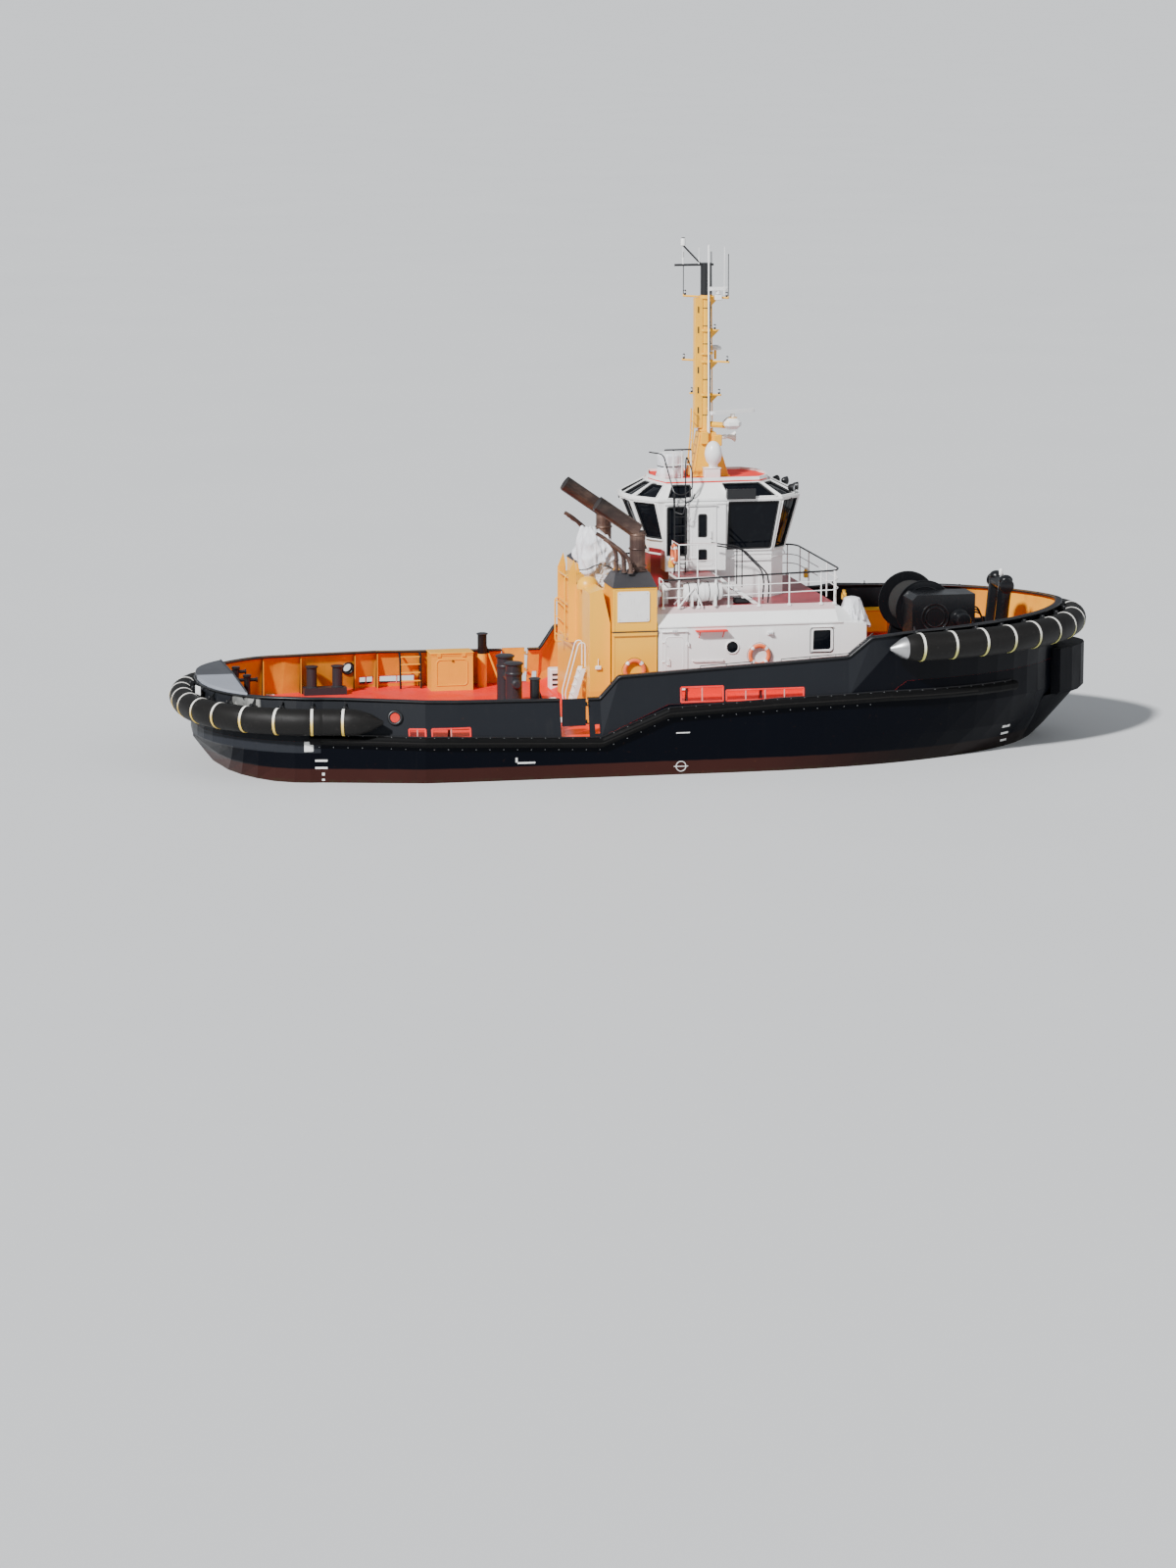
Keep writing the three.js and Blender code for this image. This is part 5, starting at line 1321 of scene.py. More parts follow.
@dataclass
class SideFenders:
    """The D-shaped rubber along the deck's edge, its bolts and its end plates.

    Attributes:
        start_x: After end.
        end_x: Fore end.
        pitch: Distance between the bolts.
    """

    start_x: float = -10.6
    end_x: float = 11.1
    pitch: float = 0.42

    def places(self, out: float, rise: float, x: Points) -> Points:
        """Returns places beside the deck's edge on starboard: y = -(half breadth + out), z = line + rise."""
        points, _ = EDGE.plan(True, -10.8, 900)
        half = points[: len(points) // 2]
        y = np.interp(x, half[:, 0], half[:, 1])
        return np.stack([x, y - out, table_at(SIDE_FENDER_LINE, x) + rise], 1)

    def build(self) -> None:
        """Makes the bolts and the clamping flats."""
        x = np.arange(self.start_x, self.end_x, self.pitch)
        bolt = [(0, 0.016), (0.013, 0.016), (0.017, 0.0), (0.017, -0.01)]
        head = turning(bolt, (0, 0, 0), "Z", 6)
        flange = turning(bolt, (0, 0, 0), "Y", 6).mirrored()
        straight = x[x < 6.4]
        rows = gather(
            repeated(head, self.places(0.075, 0.136, x)),
            repeated(flange, self.places(0.002, -0.22, straight))
        )
        make_pair("side_fender_bolts", rows, BRIGHT_STEEL)
        bar = bar_section(0.012, 0.02)
        path = self.places(0.012, 0.155, np.linspace(self.start_x, self.end_x, 180))
        make_piece("side_fender_flats", both_sides(carry(path, bar, (0, 0, 1))), BLACK_SMALL)
        path = self.places(0.19, 0.0, np.linspace(self.start_x, self.end_x, 180))
        groove = np.array([[-0.02, -0.03], [0.02, -0.02], [0.02, 0.02], [-0.02, 0.03]])
        make_piece("side_fender_nosing", both_sides(carry(path, groove, (0, 0, 1))), FENDER_RUBBER)


# Bulwarks


@dataclass
class Bulwarks:
    """What the bulwarks carry: rail beads, fairlead rings, port bars, ladders and stern fittings.

    Attributes:
        fairlead_x: Place of the ring fairleads.
        fairlead_z: Their height.
        bead: Radius of the round edge of the rails.
    """

    fairlead_x: float = -8.35
    fairlead_z: float = 1.95
    bead: float = 0.032

    def rail_path(self, at_bow: bool, start_x: float, table: Any, extra: float, drop: float) -> Points:
        """Returns a path along a bulwark's top: edge + out * (lean + extra), at its height less drop."""
        points, out = EDGE.plan(at_bow, start_x, 420)
        lean = table_at(table, points[:, 0], 2)[:, None]
        path = points + out * (lean + extra)
        path[:, 2] = table_at(table, points[:, 0]) - drop
        return path

    def beads(self) -> None:
        """Makes the round edges of both rails, outside and inside."""
        section = circle(self.bead, 10)
        runs = []
        for at_bow, start, table in ((False, -3.37, AFT_TOP), (True, -2.5, FORE_TOP)):
            for extra in (0.04, -0.135):
                path = self.rail_path(at_bow, start, table, extra, 0.035)
                runs.append(carry(path, section, (0, 0, 1)))
        make_piece("bulwark_rail_beads", runs, BLACK_SMALL)

    def fairleads(self) -> None:
        """Makes the fairlead rings in the after bulwarks, leaning with the plating."""
        rings = []
        for y, tube in ((4.8, 0.045), (4.705, 0.035)):
            rings.append(ring_of(0.185, tube, (self.fairlead_x, -y, self.fairlead_z), "Y", 36))
        middle = (self.fairlead_x, -4.75, self.fairlead_z)
        shape = gather(*rings).turned(-13, "X", middle).turned(-13.9, "Z", middle)
        make_pair("fairlead_rings", shape, BLACK_SMALL)

    def port_bars(self) -> None:
        """Makes the upright bars and the red edges of the freeing ports."""
        uprights, edges = [], []
        for x0, x1, z0, z1, inset, lean in (
            (-7.96, -7.48, 1.35, 1.62, -0.05, 0.06), (-7.29, -6.13, 1.35, 1.62, -0.05, 0.06),
            (0.3, 1.6, 2.2, 2.65, -0.015, 0.02), (1.7, 4.1, 2.2, 2.52, -0.015, 0.015),
        ):
            count = max(1, round((x1 - x0) / 0.6) - 1)
            xs = np.linspace(x0, x1, count + 2)[1:-1]
            half = table_at(EDGE_HALF, np.array([x0, x1])) + inset
            ys = np.interp(xs, (x0, x1), half)
            uprights += [pipe([(x, -y, z0 - 0.02), (x, -y + lean, z1 + 0.02)], 0.022) for x, y in zip(xs, ys)]
            y0, y1 = half
            frame_path = [(x0, -y0, z0), (x1, -y1, z0), (x1, -y1 + lean, z1), (x0, -y0 + lean, z1)]
            corners = np.array(frame_path + frame_path[:1])
            edges += [pipe(corners[k : k + 2], 0.03, 6) for k in range(4)]
        make_pair("freeing_port_bars", uprights, Finish("port_bar_pink", (0.6, 0.25, 0.22), Slot.DECK, SMALL))
        make_pair("freeing_port_edges", edges, DECK_PAINT)

    def ladders(self) -> None:
        """Makes the black ladder over the after bulwark on each side, with ochre treads."""
        rails, treads = [], []
        for x in (-6.68, -6.02):
            rails.append(
                pipe([(x, 4.5, 1.262), (x, 4.6, 2.25), (x, 4.8, 2.4), (x, 4.92, 2.38)], 0.035, 8, 0.14)
            )
        for k, z in enumerate((1.5, 1.76, 2.02, 2.26)):
            y = 4.53 + 0.035 * k
            treads.append(block((-6.66, y - 0.06, z - 0.015), (-6.04, y + 0.06, z + 0.015), 0.006))
        make_pair("bulwark_ladders", rails, BLACK_SMALL)
        make_pair("bulwark_ladder_treads", treads, LOCKER_OCHRE)

    def stern_fittings(self) -> None:
        """Makes the horned posts by the stern plate, the plate's rim and the blank plate on the bulwark."""
        parts = []
        for x, y in ((-12.08, 0.7), (-12.22, 2.3)):
            post = [(0.16, 1.252), (0.16, 1.3), (0.1, 1.34), (0.1, 2.4), (0.13, 2.43), (0.13, 2.5), (0, 2.52)]
            parts.append(turning(post, (x, y, 0), "Z", 18))
            parts.append(pipe([(x - 0.3, y, 2.34), (x + 0.3, y, 2.34)], 0.055, 12))
            knob = [(0, -0.03), (0.08, -0.02), (0.08, 0.02), (0, 0.03)]
            parts += [turning(knob, (x + dx, y, 2.34), "X", 14) for dx in (-0.3, 0.3)]
        make_piece("stern_horn_posts", parts, BLACK_SMALL)
        y = np.linspace(-3.12, 3.12, 41)
        rim = np.stack([np.full(41, -12.59), y, 2.57 + 0.09 * (1 - np.abs(y) / 4.417)], 1)
        make_piece("stern_plate_rim", carry(rim, circle(0.028, 8), (0, 0, 1)), FITTING_GREY)
        name_plate = block(
            (-13.83, -1.32, 2.24), (-13.8, -0.92, 2.5), 0.006
        ).turned(14, "Z", (-13.81, -1.12, 2.4))
        make_piece("stern_blank_plate", name_plate, MARK_WHITE)

    def build(self) -> None:
        """Makes everything on the bulwarks."""
        self.beads()
        self.fairleads()
        self.port_bars()
        self.ladders()
        self.stern_fittings()


# Canvas covers


def square_rings(count: int) -> tuple[Points, Points]:
    """Returns each point's share of the way from the middle to the rim of a square grid, and its angle."""
    a, b = np.meshgrid(np.linspace(-1, 1, count), np.linspace(-1, 1, count), indexing="ij")
    return np.maximum(np.abs(a), np.abs(b)), np.arctan2(b, a)


def canvas_cover(
    name: str, grid: Points
) -> bpy.types.Object:
    """Args:
        name: Name of the piece.
        grid: Points of the cloth's middle, in rows and columns.

    Returns:
        The piece; its flat area is the sum of the grid's cells, |diagonal x diagonal| / 2.
    """
    piece = make_piece(name, sheet_of(grid, 0.006), CANVAS, sharp=75)
    return piece


def creases(along: Points, across: Points, seed: int, size: float) -> Points:
    """Returns sharp creases: a sum of (1 - |sin|)^2 ridges with directions and phases from a seeded draw."""
    draw = np.random.default_rng(seed)
    total = np.zeros(np.broadcast(along, across).shape)
    for k in range(6):
        turn, phase, rate = draw.uniform(0, math.pi), draw.uniform(0, 6.28), 2.2 + 1.5 * k
        wave = np.sin(rate * (along * math.cos(turn) + across * math.sin(turn)) + phase)
        total = total + (1 - np.abs(wave)) ** 2 * size / (1 + 0.5 * k)
    return total


# Deck, casings and houses


@dataclass
class AftDeck:
    """Small gear on the after deck: bollard heads, locker panel, ladders and pumps.

    Attributes:
        z: Height of the deck.
        pump: X and Y of the pump.
        bitt: Middle of the starboard post of the towing bitt, from which its rings are turned.
    """

    z: float = 1.25
    pump: tuple[float, float] = (-3.1, -2.42)
    bitt: Vector3 = (-4.0, -0.75, 0)

    def bollards(self) -> None:
        """Makes the dished heads of the bollards, side posts and bitts, and the rings below them."""
        rows = []
        dish = [(0.165, 2.11), (0.205, 2.125), (0.205, 2.155), (0.16, 2.17), (0, 2.176)]
        foot = [(0.2, 1.482), (0.2, 1.495), (0.172, 1.515)]
        side_dish = [(0.15, 2.93), (0.185, 2.94), (0.185, 2.965), (0.14, 2.985), (0, 2.99)]
        for x in (-9.6, -8.78):
            rows += [turning(profile, (x, -4.02, 0), "Z", 28) for profile in (dish, foot)]
        rows.append(turning(side_dish, (-4.05, -4.48, 0), "Z", 24))
        make_pair("bollard_heads", rows, FITTING_GREY)
        head = [(0.255, 2.78), (0.3, 2.8), (0.3, 2.84), (0.24, 2.87), (0, 2.875)]
        ring = [(0.262, 2.46), (0.275, 2.48), (0.275, 2.54), (0.262, 2.56)]
        horn = [(0, -1.32), (0.1, -1.31), (0.155, -1.25), (0.155, -1.2), (0.13, -1.19)]
        bitts = [turning(profile, self.bitt, "Z", 32) for profile in (head, ring)]
        bitts.append(turning(horn, (self.bitt[0], 0, 2.24), "Y", 24))
        make_pair("bitt_heads", bitts, FITTING_GREY)

    def locker(self) -> None:
        """Makes the locker's lid, its rounded panel rim, its hinges and its catch."""
        lid = block((-5.83, 3.87, 2.42), (-4.42, 4.68, 2.475), 0.02)
        seam = block((-5.81, 3.885, 2.37), (-4.44, 3.9, 2.4), 0.004)
        corners = frame_loop(
            [(-5.62, 3.893, 1.42), (-5.62, 3.893, 2.24), (-4.63, 3.893, 2.24), (-4.63, 3.893, 1.42)], 0.14
        )
        rim = carry(corners, circle(0.016, 8), (0, 1, 0), closed=True)
        hinges = [block((x, 3.87, 2.33), (x + 0.12, 3.9, 2.44), 0.006) for x in (-5.6, -4.8)]
        make_piece("locker_trim", gather(lid, seam, rim, *hinges), LOCKER_OCHRE)
        make_piece("locker_catch", ring_of(0.03, 0.008, (-5.1, 3.875, 2.2), "Y", 16, 6), BLACK_SMALL)

    def pumps(self) -> None:
        """Makes the white pump, its valve wheel and the small locker beside it."""
        x, y, z = *self.pump, self.z
        base = block((-3.42, -2.75, z + 0.01), (-2.8, -2.1, z + 0.14), 0.02)
        profile = [
            (0, 0), (0.17, 0.01), (0.2, 0.06), (0.2, 0.36), (0.16, 0.42), (0.1, 0.44), (0.1, 0.52), (0, 0.53)
        ]
        body = turning(profile, (x, y, z + 0.12), "Z", 24)
        wheel = ring_of(0.12, 0.016, (x, y, z + 0.72), "Z", 24, 8)
        stem = pipe([(x, y, z + 0.6), (x, y, z + 0.74)], 0.02)
        spokes = cross_bars((x, y, z + 0.72), 0.12, 0.012)
        elbow = [(x, y, z + 0.3), (x, -2.75, z + 0.3), (x, -2.86, z + 0.2), (x, -2.86, z + 0.02)]
        outlet = pipe(elbow, 0.055, 12, 0.1)
        box_ = block((-3.62, -3.1, z + 0.01), (-3.3, -2.85, z + 0.5), 0.02)
        chest = block((-2.07, 3.3, self.z + 0.01), (-1.53, 3.78, 1.93), 0.03)
        slats = gather(
            *[block((-2.01, 3.285, z), (-1.59, 3.302, z + 0.07), 0.006) for z in (1.4, 1.56, 1.72)]
        )
        make_piece("port_chest_slats", slats, GASKET)
        make_piece("deck_pump", gather(base, body, wheel, stem, spokes, outlet, box_, chest), WHITE_SMALL)

    def ladder(self) -> None:
        """Makes the white inclined ladder to the side deck: two cheeks, treads and handrails."""
        parts = []
        for y in (-2.95, -2.45):
            cheek = [(-0.08, 0.0), (0.06, 0.0), (0.58, 1.7), (0.44, 1.7)]
            parts.append(plate(cheek, (-2.76, y, self.z + 0.01), (1, 0, 0), (0, 0, 1), 0.016))
            rail = [
                (-2.7, y, self.z + 0.08), (-2.82, y, self.z + 0.95), (-2.4, y, 3.75), (-2.2, y, 3.75),
                (-2.2, y, 3.0)
            ]
            parts.append(pipe(rail, 0.02, 8, 0.12))
        for k in range(7):
            z = self.z + 0.2 + 0.235 * k
            x = -2.77 + 0.306 * (z - self.z)
            parts.append(block((x - 0.1, -2.95, z - 0.012), (x + 0.1, -2.45, z + 0.012), 0.005))
        make_piece("deck_ladder", parts, WHITE_SMALL)

    def hatches(self) -> None:
        """Makes two low round deck hatches with hand wheels and the coaming strip by the stern."""
        parts = []
        for x, y in ((-10.4, -1.6), (-10.4, 1.6)):
            lid = [(0.36, 0.0), (0.36, 0.1), (0.33, 0.14), (0.0, 0.17)]
            wheel = (x, y, self.z + 0.24)
            parts.append(turning(lid, (x, y, self.z + 0.002), "Z", 32))
            parts.append(ring_of(0.13, 0.016, wheel, "Z", 24, 8))
            parts.append(pipe([(x, y, self.z + 0.1), (x, y, self.z + 0.25)], 0.02))
            parts.append(cross_bars(wheel, 0.13, 0.011))
        make_piece("deck_hatches", parts, FITTING_GREY)

    def build(self) -> None:
        """Makes the after deck's gear."""
        self.bollards()
        self.locker()
        self.pumps()
        self.ladder()
        self.hatches()


@dataclass
class Casings:
    """The funnel casings aft of the house: rims, boards, pipes, lamps and the guard between the fins.

    Attributes:
        outer: Half breadth of their outer walls.
        x0: Their after ends.
        x1: Their fore ends.
        top: Top of the walls.
    """

    outer: float = 3.6
    x0: float = -1.45
    x1: float = -0.11
    top: float = 5.5

    def walls(self) -> None:
        """Makes the rims, hand bars, white boards and their bolts on the outer walls."""
        y = -self.outer
        parts = []
        for z in (2.36, self.top - 0.05):
            parts.append(block((self.x0 - 0.02, y - 0.014, z - 0.03), (self.x1, y + 0.002, z + 0.03), 0.006))
        for x in (self.x0 + 0.015, self.x1 - 0.02):
            parts.append(block((x - 0.025, y - 0.012, 2.3), (x + 0.025, y + 0.002, self.top), 0.006))
        make_pair("casing_trim", parts, YELLOW_SMALL)
        bar = pipe(
            [
                (self.x0 - 0.05, y, 4.15), (self.x0 - 0.05, y - 0.06, 4.15), (-0.08, y - 0.06, 4.15),
                (-0.08, y, 4.15)
            ],
            0.02, 8, 0.04
        )
        make_pair("casing_bars", bar, FITTING_GREY)
        outline = frame_loop([(-1.33, 0, 4.45), (-1.33, 0, 5.38), (-0.34, 0, 5.38), (-0.34, 0, 4.45)], 0.07)
        board = plate(outline[:, [0, 2]], (0, y - 0.02, 0), (1, 0, 0), (0, 0, 1), 0.02)
        make_pair("casing_boards", board, MARK_WHITE)
        bolt = turning([(0, -0.012), (0.014, -0.01), (0.014, 0.006)], (0, y - 0.03, 0), "Y", 8)
        places = np.array([(x, 0, z) for x in (-1.26, -0.41) for z in (4.52, 5.31)])
        make_piece("casing_board_bolts", both_sides(repeated(bolt, places)), BRIGHT_STEEL)

    def stacks(self) -> None:
        """Makes the collars of the main exhausts and the small exhausts beside them."""
        rings, small = [], []
        for z, r in ((5.88, 0.3), (6.02, 0.262), (6.55, 0.254), (6.98, 0.256)):
            rings.append(ring_of(r, 0.022, (-0.5, -2.56, z), "Z", 40, 8))
        make_pair("exhaust_collars", rings, EXHAUST_STEEL)
        for x, y, top in ((-1.14, -2.5, 6.75), (-0.97, -2.86, 6.62), (-0.82, -3.06, 6.5)):
            path = [(x, y, 5.84), (x, y, top - 0.25), (x - 0.32, y, top + 0.1), (x - 0.62, y, top + 0.28)]
            small.append(pipe(path, 0.06, 14, 0.22))
            small.append(ring_of(0.07, 0.014, (x, y, 6.2), "Z", 20, 6))
            small.append(turning([(0.09, 0), (0.09, 0.04), (0.065, 0.06)], (x, y, 5.842), "Z", 20))
        make_pair("small_exhausts", small, EXHAUST_STEEL)

    def fins(self) -> None:
        """Makes the guard frame aft of the fin plates, its mid bars and the plates inside the fins."""
        parts = []
        for y, low, high in ((-0.8, 3.47, 5.52), (0.8, 3.22, 4.6)):
            parts.append(
                pipe([(-2.2, y, low), (-2.4, y, low), (-2.4, y, high), (-2.2, y, high)], 0.026, 8, 0.1)
            )
        for z in (3.5, 4.05, 4.55):
            parts.append(pipe([(-2.4, -0.8, z), (-2.4, 0.8, z)], 0.02))
        make_piece("aft_wall_guard", parts, YELLOW_SMALL)
        dark = gather(
            *[block((-2.28, y - 0.012, 3.5), (-2.08, y + 0.012, 5.6), 0.004) for y in (-0.79, 0.79)]
        )
        make_piece("fin_inner_plates", dark, AFT_WALL_PAINT)

    def vents(self) -> None:
        """Makes the ventilator trunk's lamp and the after house's mushroom head."""
        lamp = gather(
            block((-1.96, -3.38, 2.97), (-1.78, -3.3, 3.09), 0.02),
            pipe([(-1.87, -3.34, 3.08), (-1.87, -3.34, 3.3)], 0.012)
        )
        make_piece("trunk_lamp", lamp, WHITE_SMALL)
        head = turning(
            [(0.33, -0.06), (0.335, 0.04), (0.3, 0.17), (0.2, 0.27), (0.07, 0.31), (0, 0.315)],
            (-1.9, -1.86, 5.32), "Z", 36
        )
        make_piece("aft_house_vent", head, YELLOW_SMALL)

    def tarpaulin(self) -> None:
        """Makes the crumpled tarpaulin over the gear on the after house, its corner and its lashing.

        The cloth is a rounded box, (cos^5 + sin^5)^(-1/5) across, with creases over its top and skirt.
        """
        share, angle = square_rings(92)
        cosine, sine = np.cos(angle), np.sin(angle)
        box = (np.abs(cosine) ** 5 + np.abs(sine) ** 5) ** -0.2
        top = np.clip(share / 0.42, 0, 1)
        fall = np.clip((share - 0.42) / 0.58, 0, 1)
        belly = np.interp(fall, (0, 0.3, 0.62, 0.85, 1), (0, 0.1, 0.1, 0.0, -0.05))
        spread_x = 0.3 * top + belly
        spread_y = 0.76 * top + belly * 1.3
        fold = creases(cosine * 0.95, sine * 0.95 + share * 2.4, 7, 0.13) * (0.15 + np.sin(math.pi * fall))
        x = -1.4 + (spread_x + fold) * box * cosine
        y = -0.47 + (spread_y + fold) * box * sine
        lean = 0.12 * (-cosine - 0.5 * sine) * top
        hem = 5.42 - 0.1 * np.clip(-cosine, 0, 1) + 0.09 * np.sin(3 * angle)
        crumple = creases(x * 1.5, y * 1.2, 11, 0.12)
        z = (6.8 + lean - 0.1 * top**3) * (1 - fall) + hem * fall + crumple * (1 - fall)
        grid = np.stack([x, y, z], -1)
        cover = canvas_cover(
            "covered_gear_tarpaulin", grid
        )
        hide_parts("covered_gear")
        hang = np.linspace(0, 1, 50)[:, None]
        side = np.linspace(-1, 1, 22)[None, :]
        width = 0.3 * (1 - hang) ** 0.6 + 0.02
        wave = creases(side * 2 + hang, hang * 4, 3, 0.03)
        corner = (
            -1.3 - 0.1 * hang + side * width, -1.62 - 0.02 * hang - wave,
            5.62 - 0.66 * hang + 0.05 * np.abs(side)
        )
        corner_grid = np.stack(np.broadcast_arrays(*corner), -1)
        canvas_cover("tarpaulin_corner", corner_grid)
        tied = 8
        last = -tied - 1
        ring = np.concatenate([
            grid[tied, tied:last], grid[tied:last, last], grid[last, last:tied:-1], grid[last:tied:-1, tied]
        ])
        ring = ring + (ring - ring.mean(0)) * (0.02, 0.02, 0)
        make_piece("tarpaulin_lashing", carry(ring[::3], circle(0.012, 6), (0, 0, 1), closed=True), HAWSER)

    def build(self) -> None:
        """Makes the casings' fittings."""
        self.walls()
        self.stacks()
        self.fins()
        self.vents()
        self.tarpaulin()


@dataclass
class Lifebuoy:
    """A lifebuoy with its four bands and its grab line.

    Attributes:
        name: Where it hangs.
        centre: Its middle.
        radius: From the middle to the middle of the ring.
        tube: Radius of the ring.
        axis: The direction that it faces.
    """

    name: str
    centre: Vector3
    radius: float = 0.29
    tube: float = 0.062
    axis: str = "Y"

    def build(self, mirror: bool = True) -> None:
        """Makes the ring, the bands and the line: a circle with a small wave.

        Args:
            mirror: True makes a second lifebuoy on the other side of the ship.
        """
        x, y, z = self.centre
        ring = ring_of(self.radius, self.tube, self.centre, "Y", 44, 14)
        bands = []
        for angle in (45, 135, 225, 315):
            t = np.radians(np.linspace(angle - 8, angle + 8, 5))
            path = np.stack([x + self.radius * np.cos(t), np.full(5, y), z + self.radius * np.sin(t)], 1)
            bands.append(carry(path, circle(self.tube + 0.004, 14), (0, 1, 0)))
        steps = 96
        t = np.linspace(0, 2 * math.pi, steps + 1)[:-1]
        reach = self.radius + self.tube + 0.006 + 0.025 * np.sin(2 * t + math.pi / 2) ** 2
        line = np.stack([x + reach * np.cos(t), np.full(steps, y), z + reach * np.sin(t)], 1)
        rope = carry(line, circle(0.007, 6), (0, 1, 0), closed=True)
        side = both_sides if mirror else gather
        if self.axis == "X":
            ring, rope = (shape.turned(90, "Z", self.centre) for shape in (ring, rope))
            bands = [gather(*bands).turned(90, "Z", self.centre)]
        make_piece(f"lifebuoy_{self.name}", side(ring), LIFEBUOY)
        make_piece(f"lifebuoy_{self.name}_bands", side(gather(*bands)), MARK_WHITE)
        make_piece(f"lifebuoy_{self.name}_line", side(rope), HAWSER)


@dataclass
class Deckhouse:
    """Trim of the deckhouse: window frames, portholes, handrails, gutters, lamps and door gear.

    Attributes:
        half: Half breadth of its walls.
        x0: After wall.
        eave: Top of the side walls.
        window: Fore window: after and fore edge, foot and head.
        porthole: X and Z of the porthole's middle.
    """

    half: float = 3.6
    x0: float = -0.06
    eave: float = 4.25
    window: tuple[float, float, float, float] = (4.74, 5.36, 3.39, 4.06)
    porthole: tuple[float, float] = (2.24, 3.58)

    def windows(self) -> None:
        """Makes the frames, gaskets and rain lips of the windows and portholes, and a dark ring of painted
        shade round the fore window's frame.
        """
        frames, gaskets = [], []
        y = -self.half
        x0, x1, z0, z1 = self.window
        face = y - 0.012
        corners = frame_loop([(x0, face, z0), (x0, face, z1), (x1, face, z1), (x1, face, z0)], 0.1, 7)
        frames.append(carry(corners, bar_section(0.035, 0.014), (0, 1, 0), closed=True))
        gaskets.append(carry(corners + (0, 0.012, 0), circle(0.018, 6), (0, 1, 0), closed=True))
        # Painted shade: a second dark ring round the frame's outer edge stands in for the shade where the
        # frame meets the wall.
        middle = np.vstack([corners, corners[:1]]).mean(0)
        outer = middle + (corners - middle) * (1 + 0.1 / (x1 - x0), 1, 1 + 0.1 / (z1 - z0))
        gaskets.append(carry(outer, circle(0.011, 6), (0, 1, 0), closed=True))
        frames.append(block((x0 - 0.05, y - 0.06, z1 + 0.05), (x1 + 0.05, y + 0.002, z1 + 0.068), 0.006))
        x, z = self.porthole
        frames.append(ring_of(0.195, 0.024, (x, face, z), "Y", 40, 8))
        gaskets.append(ring_of(0.168, 0.012, (x, y - 0.016, z), "Y", 40, 6))
        glass = turning([(0, 0.0), (0.172, 0.0), (0.172, 0.012), (0, 0.012)], (x, y - 0.008, z), "Y", 36)
        for a in np.arange(6) * math.pi / 3:
            place = (x + 0.19 * math.cos(a), y - 0.04, z + 0.19 * math.sin(a))
            frames.append(turning([(0.022, 0), (0.022, 0.03), (0, 0.034)], place, "Y", 8))
        make_pair("house_window_frames", frames, WHITE_SMALL)
        make_pair("house_window_gaskets_and_edge_shade", gaskets, GASKET)
        make_pair("house_porthole_glass", glass, WINDOW_GLASS)

    def rails(self) -> None:
        """Makes the handrails along the walls, the gutters and the spurs between them."""
        y = -self.half
        parts = []
        for x0, x1, z in ((1.0, 1.95, 3.2), (3.6, 4.55, 3.1), (5.5, 6.2, 3.2)):
            path = [(x0, y, z), (x0, y - 0.07, z), (x1, y - 0.07, z), (x1, y, z)]
            parts.append(pipe(path, 0.018, 8, 0.05))
            parts += [pipe([(x, y, z), (x, y - 0.07, z)], 0.012) for x in np.linspace(x0, x1, 4)[1:-1]]
        parts.append(block((self.x0, y - 0.04, self.eave - 0.02), (5.7, y + 0.01, self.eave + 0.03), 0.01))
        make_pair("house_handrails", parts, WHITE_SMALL)
        seams = [
            block((x - 0.008, y - 0.006, 2.55), (x + 0.008, y + 0.002, 4.2), 0.003)
            for x in (1.48, 3.05, 4.3, 5.6)
        ]
        make_pair("house_plate_seams", seams, WHITE_PAINT)

    def lamps(self) -> None:
        """Makes the bulkhead lamps: a base, a cage and a lens."""
        bases, lenses = [], []
        y = -self.half
        near, far = y - 0.05, y - 0.14
        for x, z in ((3.42, 3.98), (0.42, 4.12)):
            bases.append(block((x - 0.1, y - 0.06, z - 0.06), (x + 0.1, y, z + 0.06), 0.015))
            for at in (x - 0.05, x, x + 0.05):
                hoop = [(at, near, z - 0.05), (at, far, z - 0.03), (at, far, z + 0.03), (at, near, z + 0.05)]
                bases.append(pipe(hoop, 0.006, 6, 0.03))
            lenses.append(block((x - 0.075, y - 0.125, z - 0.04), (x + 0.075, y - 0.055, z + 0.04), 0.03))
        make_pair("house_lamps", bases, WHITE_SMALL)
        make_pair("house_lamp_lenses", lenses, LENS)

    def doors(self) -> None:
        """Makes the gear on each weathertight door: rim, dogs and handle, riding on the door."""
        y = -self.half - 0.03
        rim = frame_loop([(0.16, y, 2.44), (0.16, y, 3.95), (0.71, y, 3.95), (0.71, y, 2.44)], 0.1, 6)
        parts = [carry(rim, circle(0.014, 8), (0, 1, 0), closed=True)]
        for z in (2.6, 3.2, 3.8):
            parts.append(block((0.05, y - 0.03, z - 0.03), (0.14, y + 0.004, z + 0.03), 0.01))
            parts.append(pipe([(0.09, y - 0.03, z), (0.2, y - 0.045, z - 0.1)], 0.012))
        parts.append(pipe(
            [(0.24, y, 3.1), (0.24, y - 0.07, 3.1), (0.24, y - 0.07, 3.3), (0.24, y, 3.3)], 0.013, 8, 0.03
        ))
        gear = gather(*parts)
        for body in (Body.HOUSE_DOOR_STARBOARD, Body.HOUSE_DOOR_PORT):
            make_on_door("house_door_gear", gear, WHITE_SMALL, body)
        sills = [
            block((0.02, -self.half - 0.05, 2.3), (0.85, -self.half, 2.345), 0.01),
            block((0.02, -self.half - 0.09, 4.1), (0.85, -self.half, 4.125), 0.008),
        ]
        make_pair("house_door_sills", sills, WHITE_SMALL)

    def build(self) -> None:
        """Makes the house's trim."""
        self.windows()
        self.rails()
        self.lamps()
        self.doors()
        Lifebuoy("house", (3.07, -self.half - 0.075, 3.32)).build()
        Lifebuoy("casing", (-0.82, -self.half - 0.075, 2.98)).build()


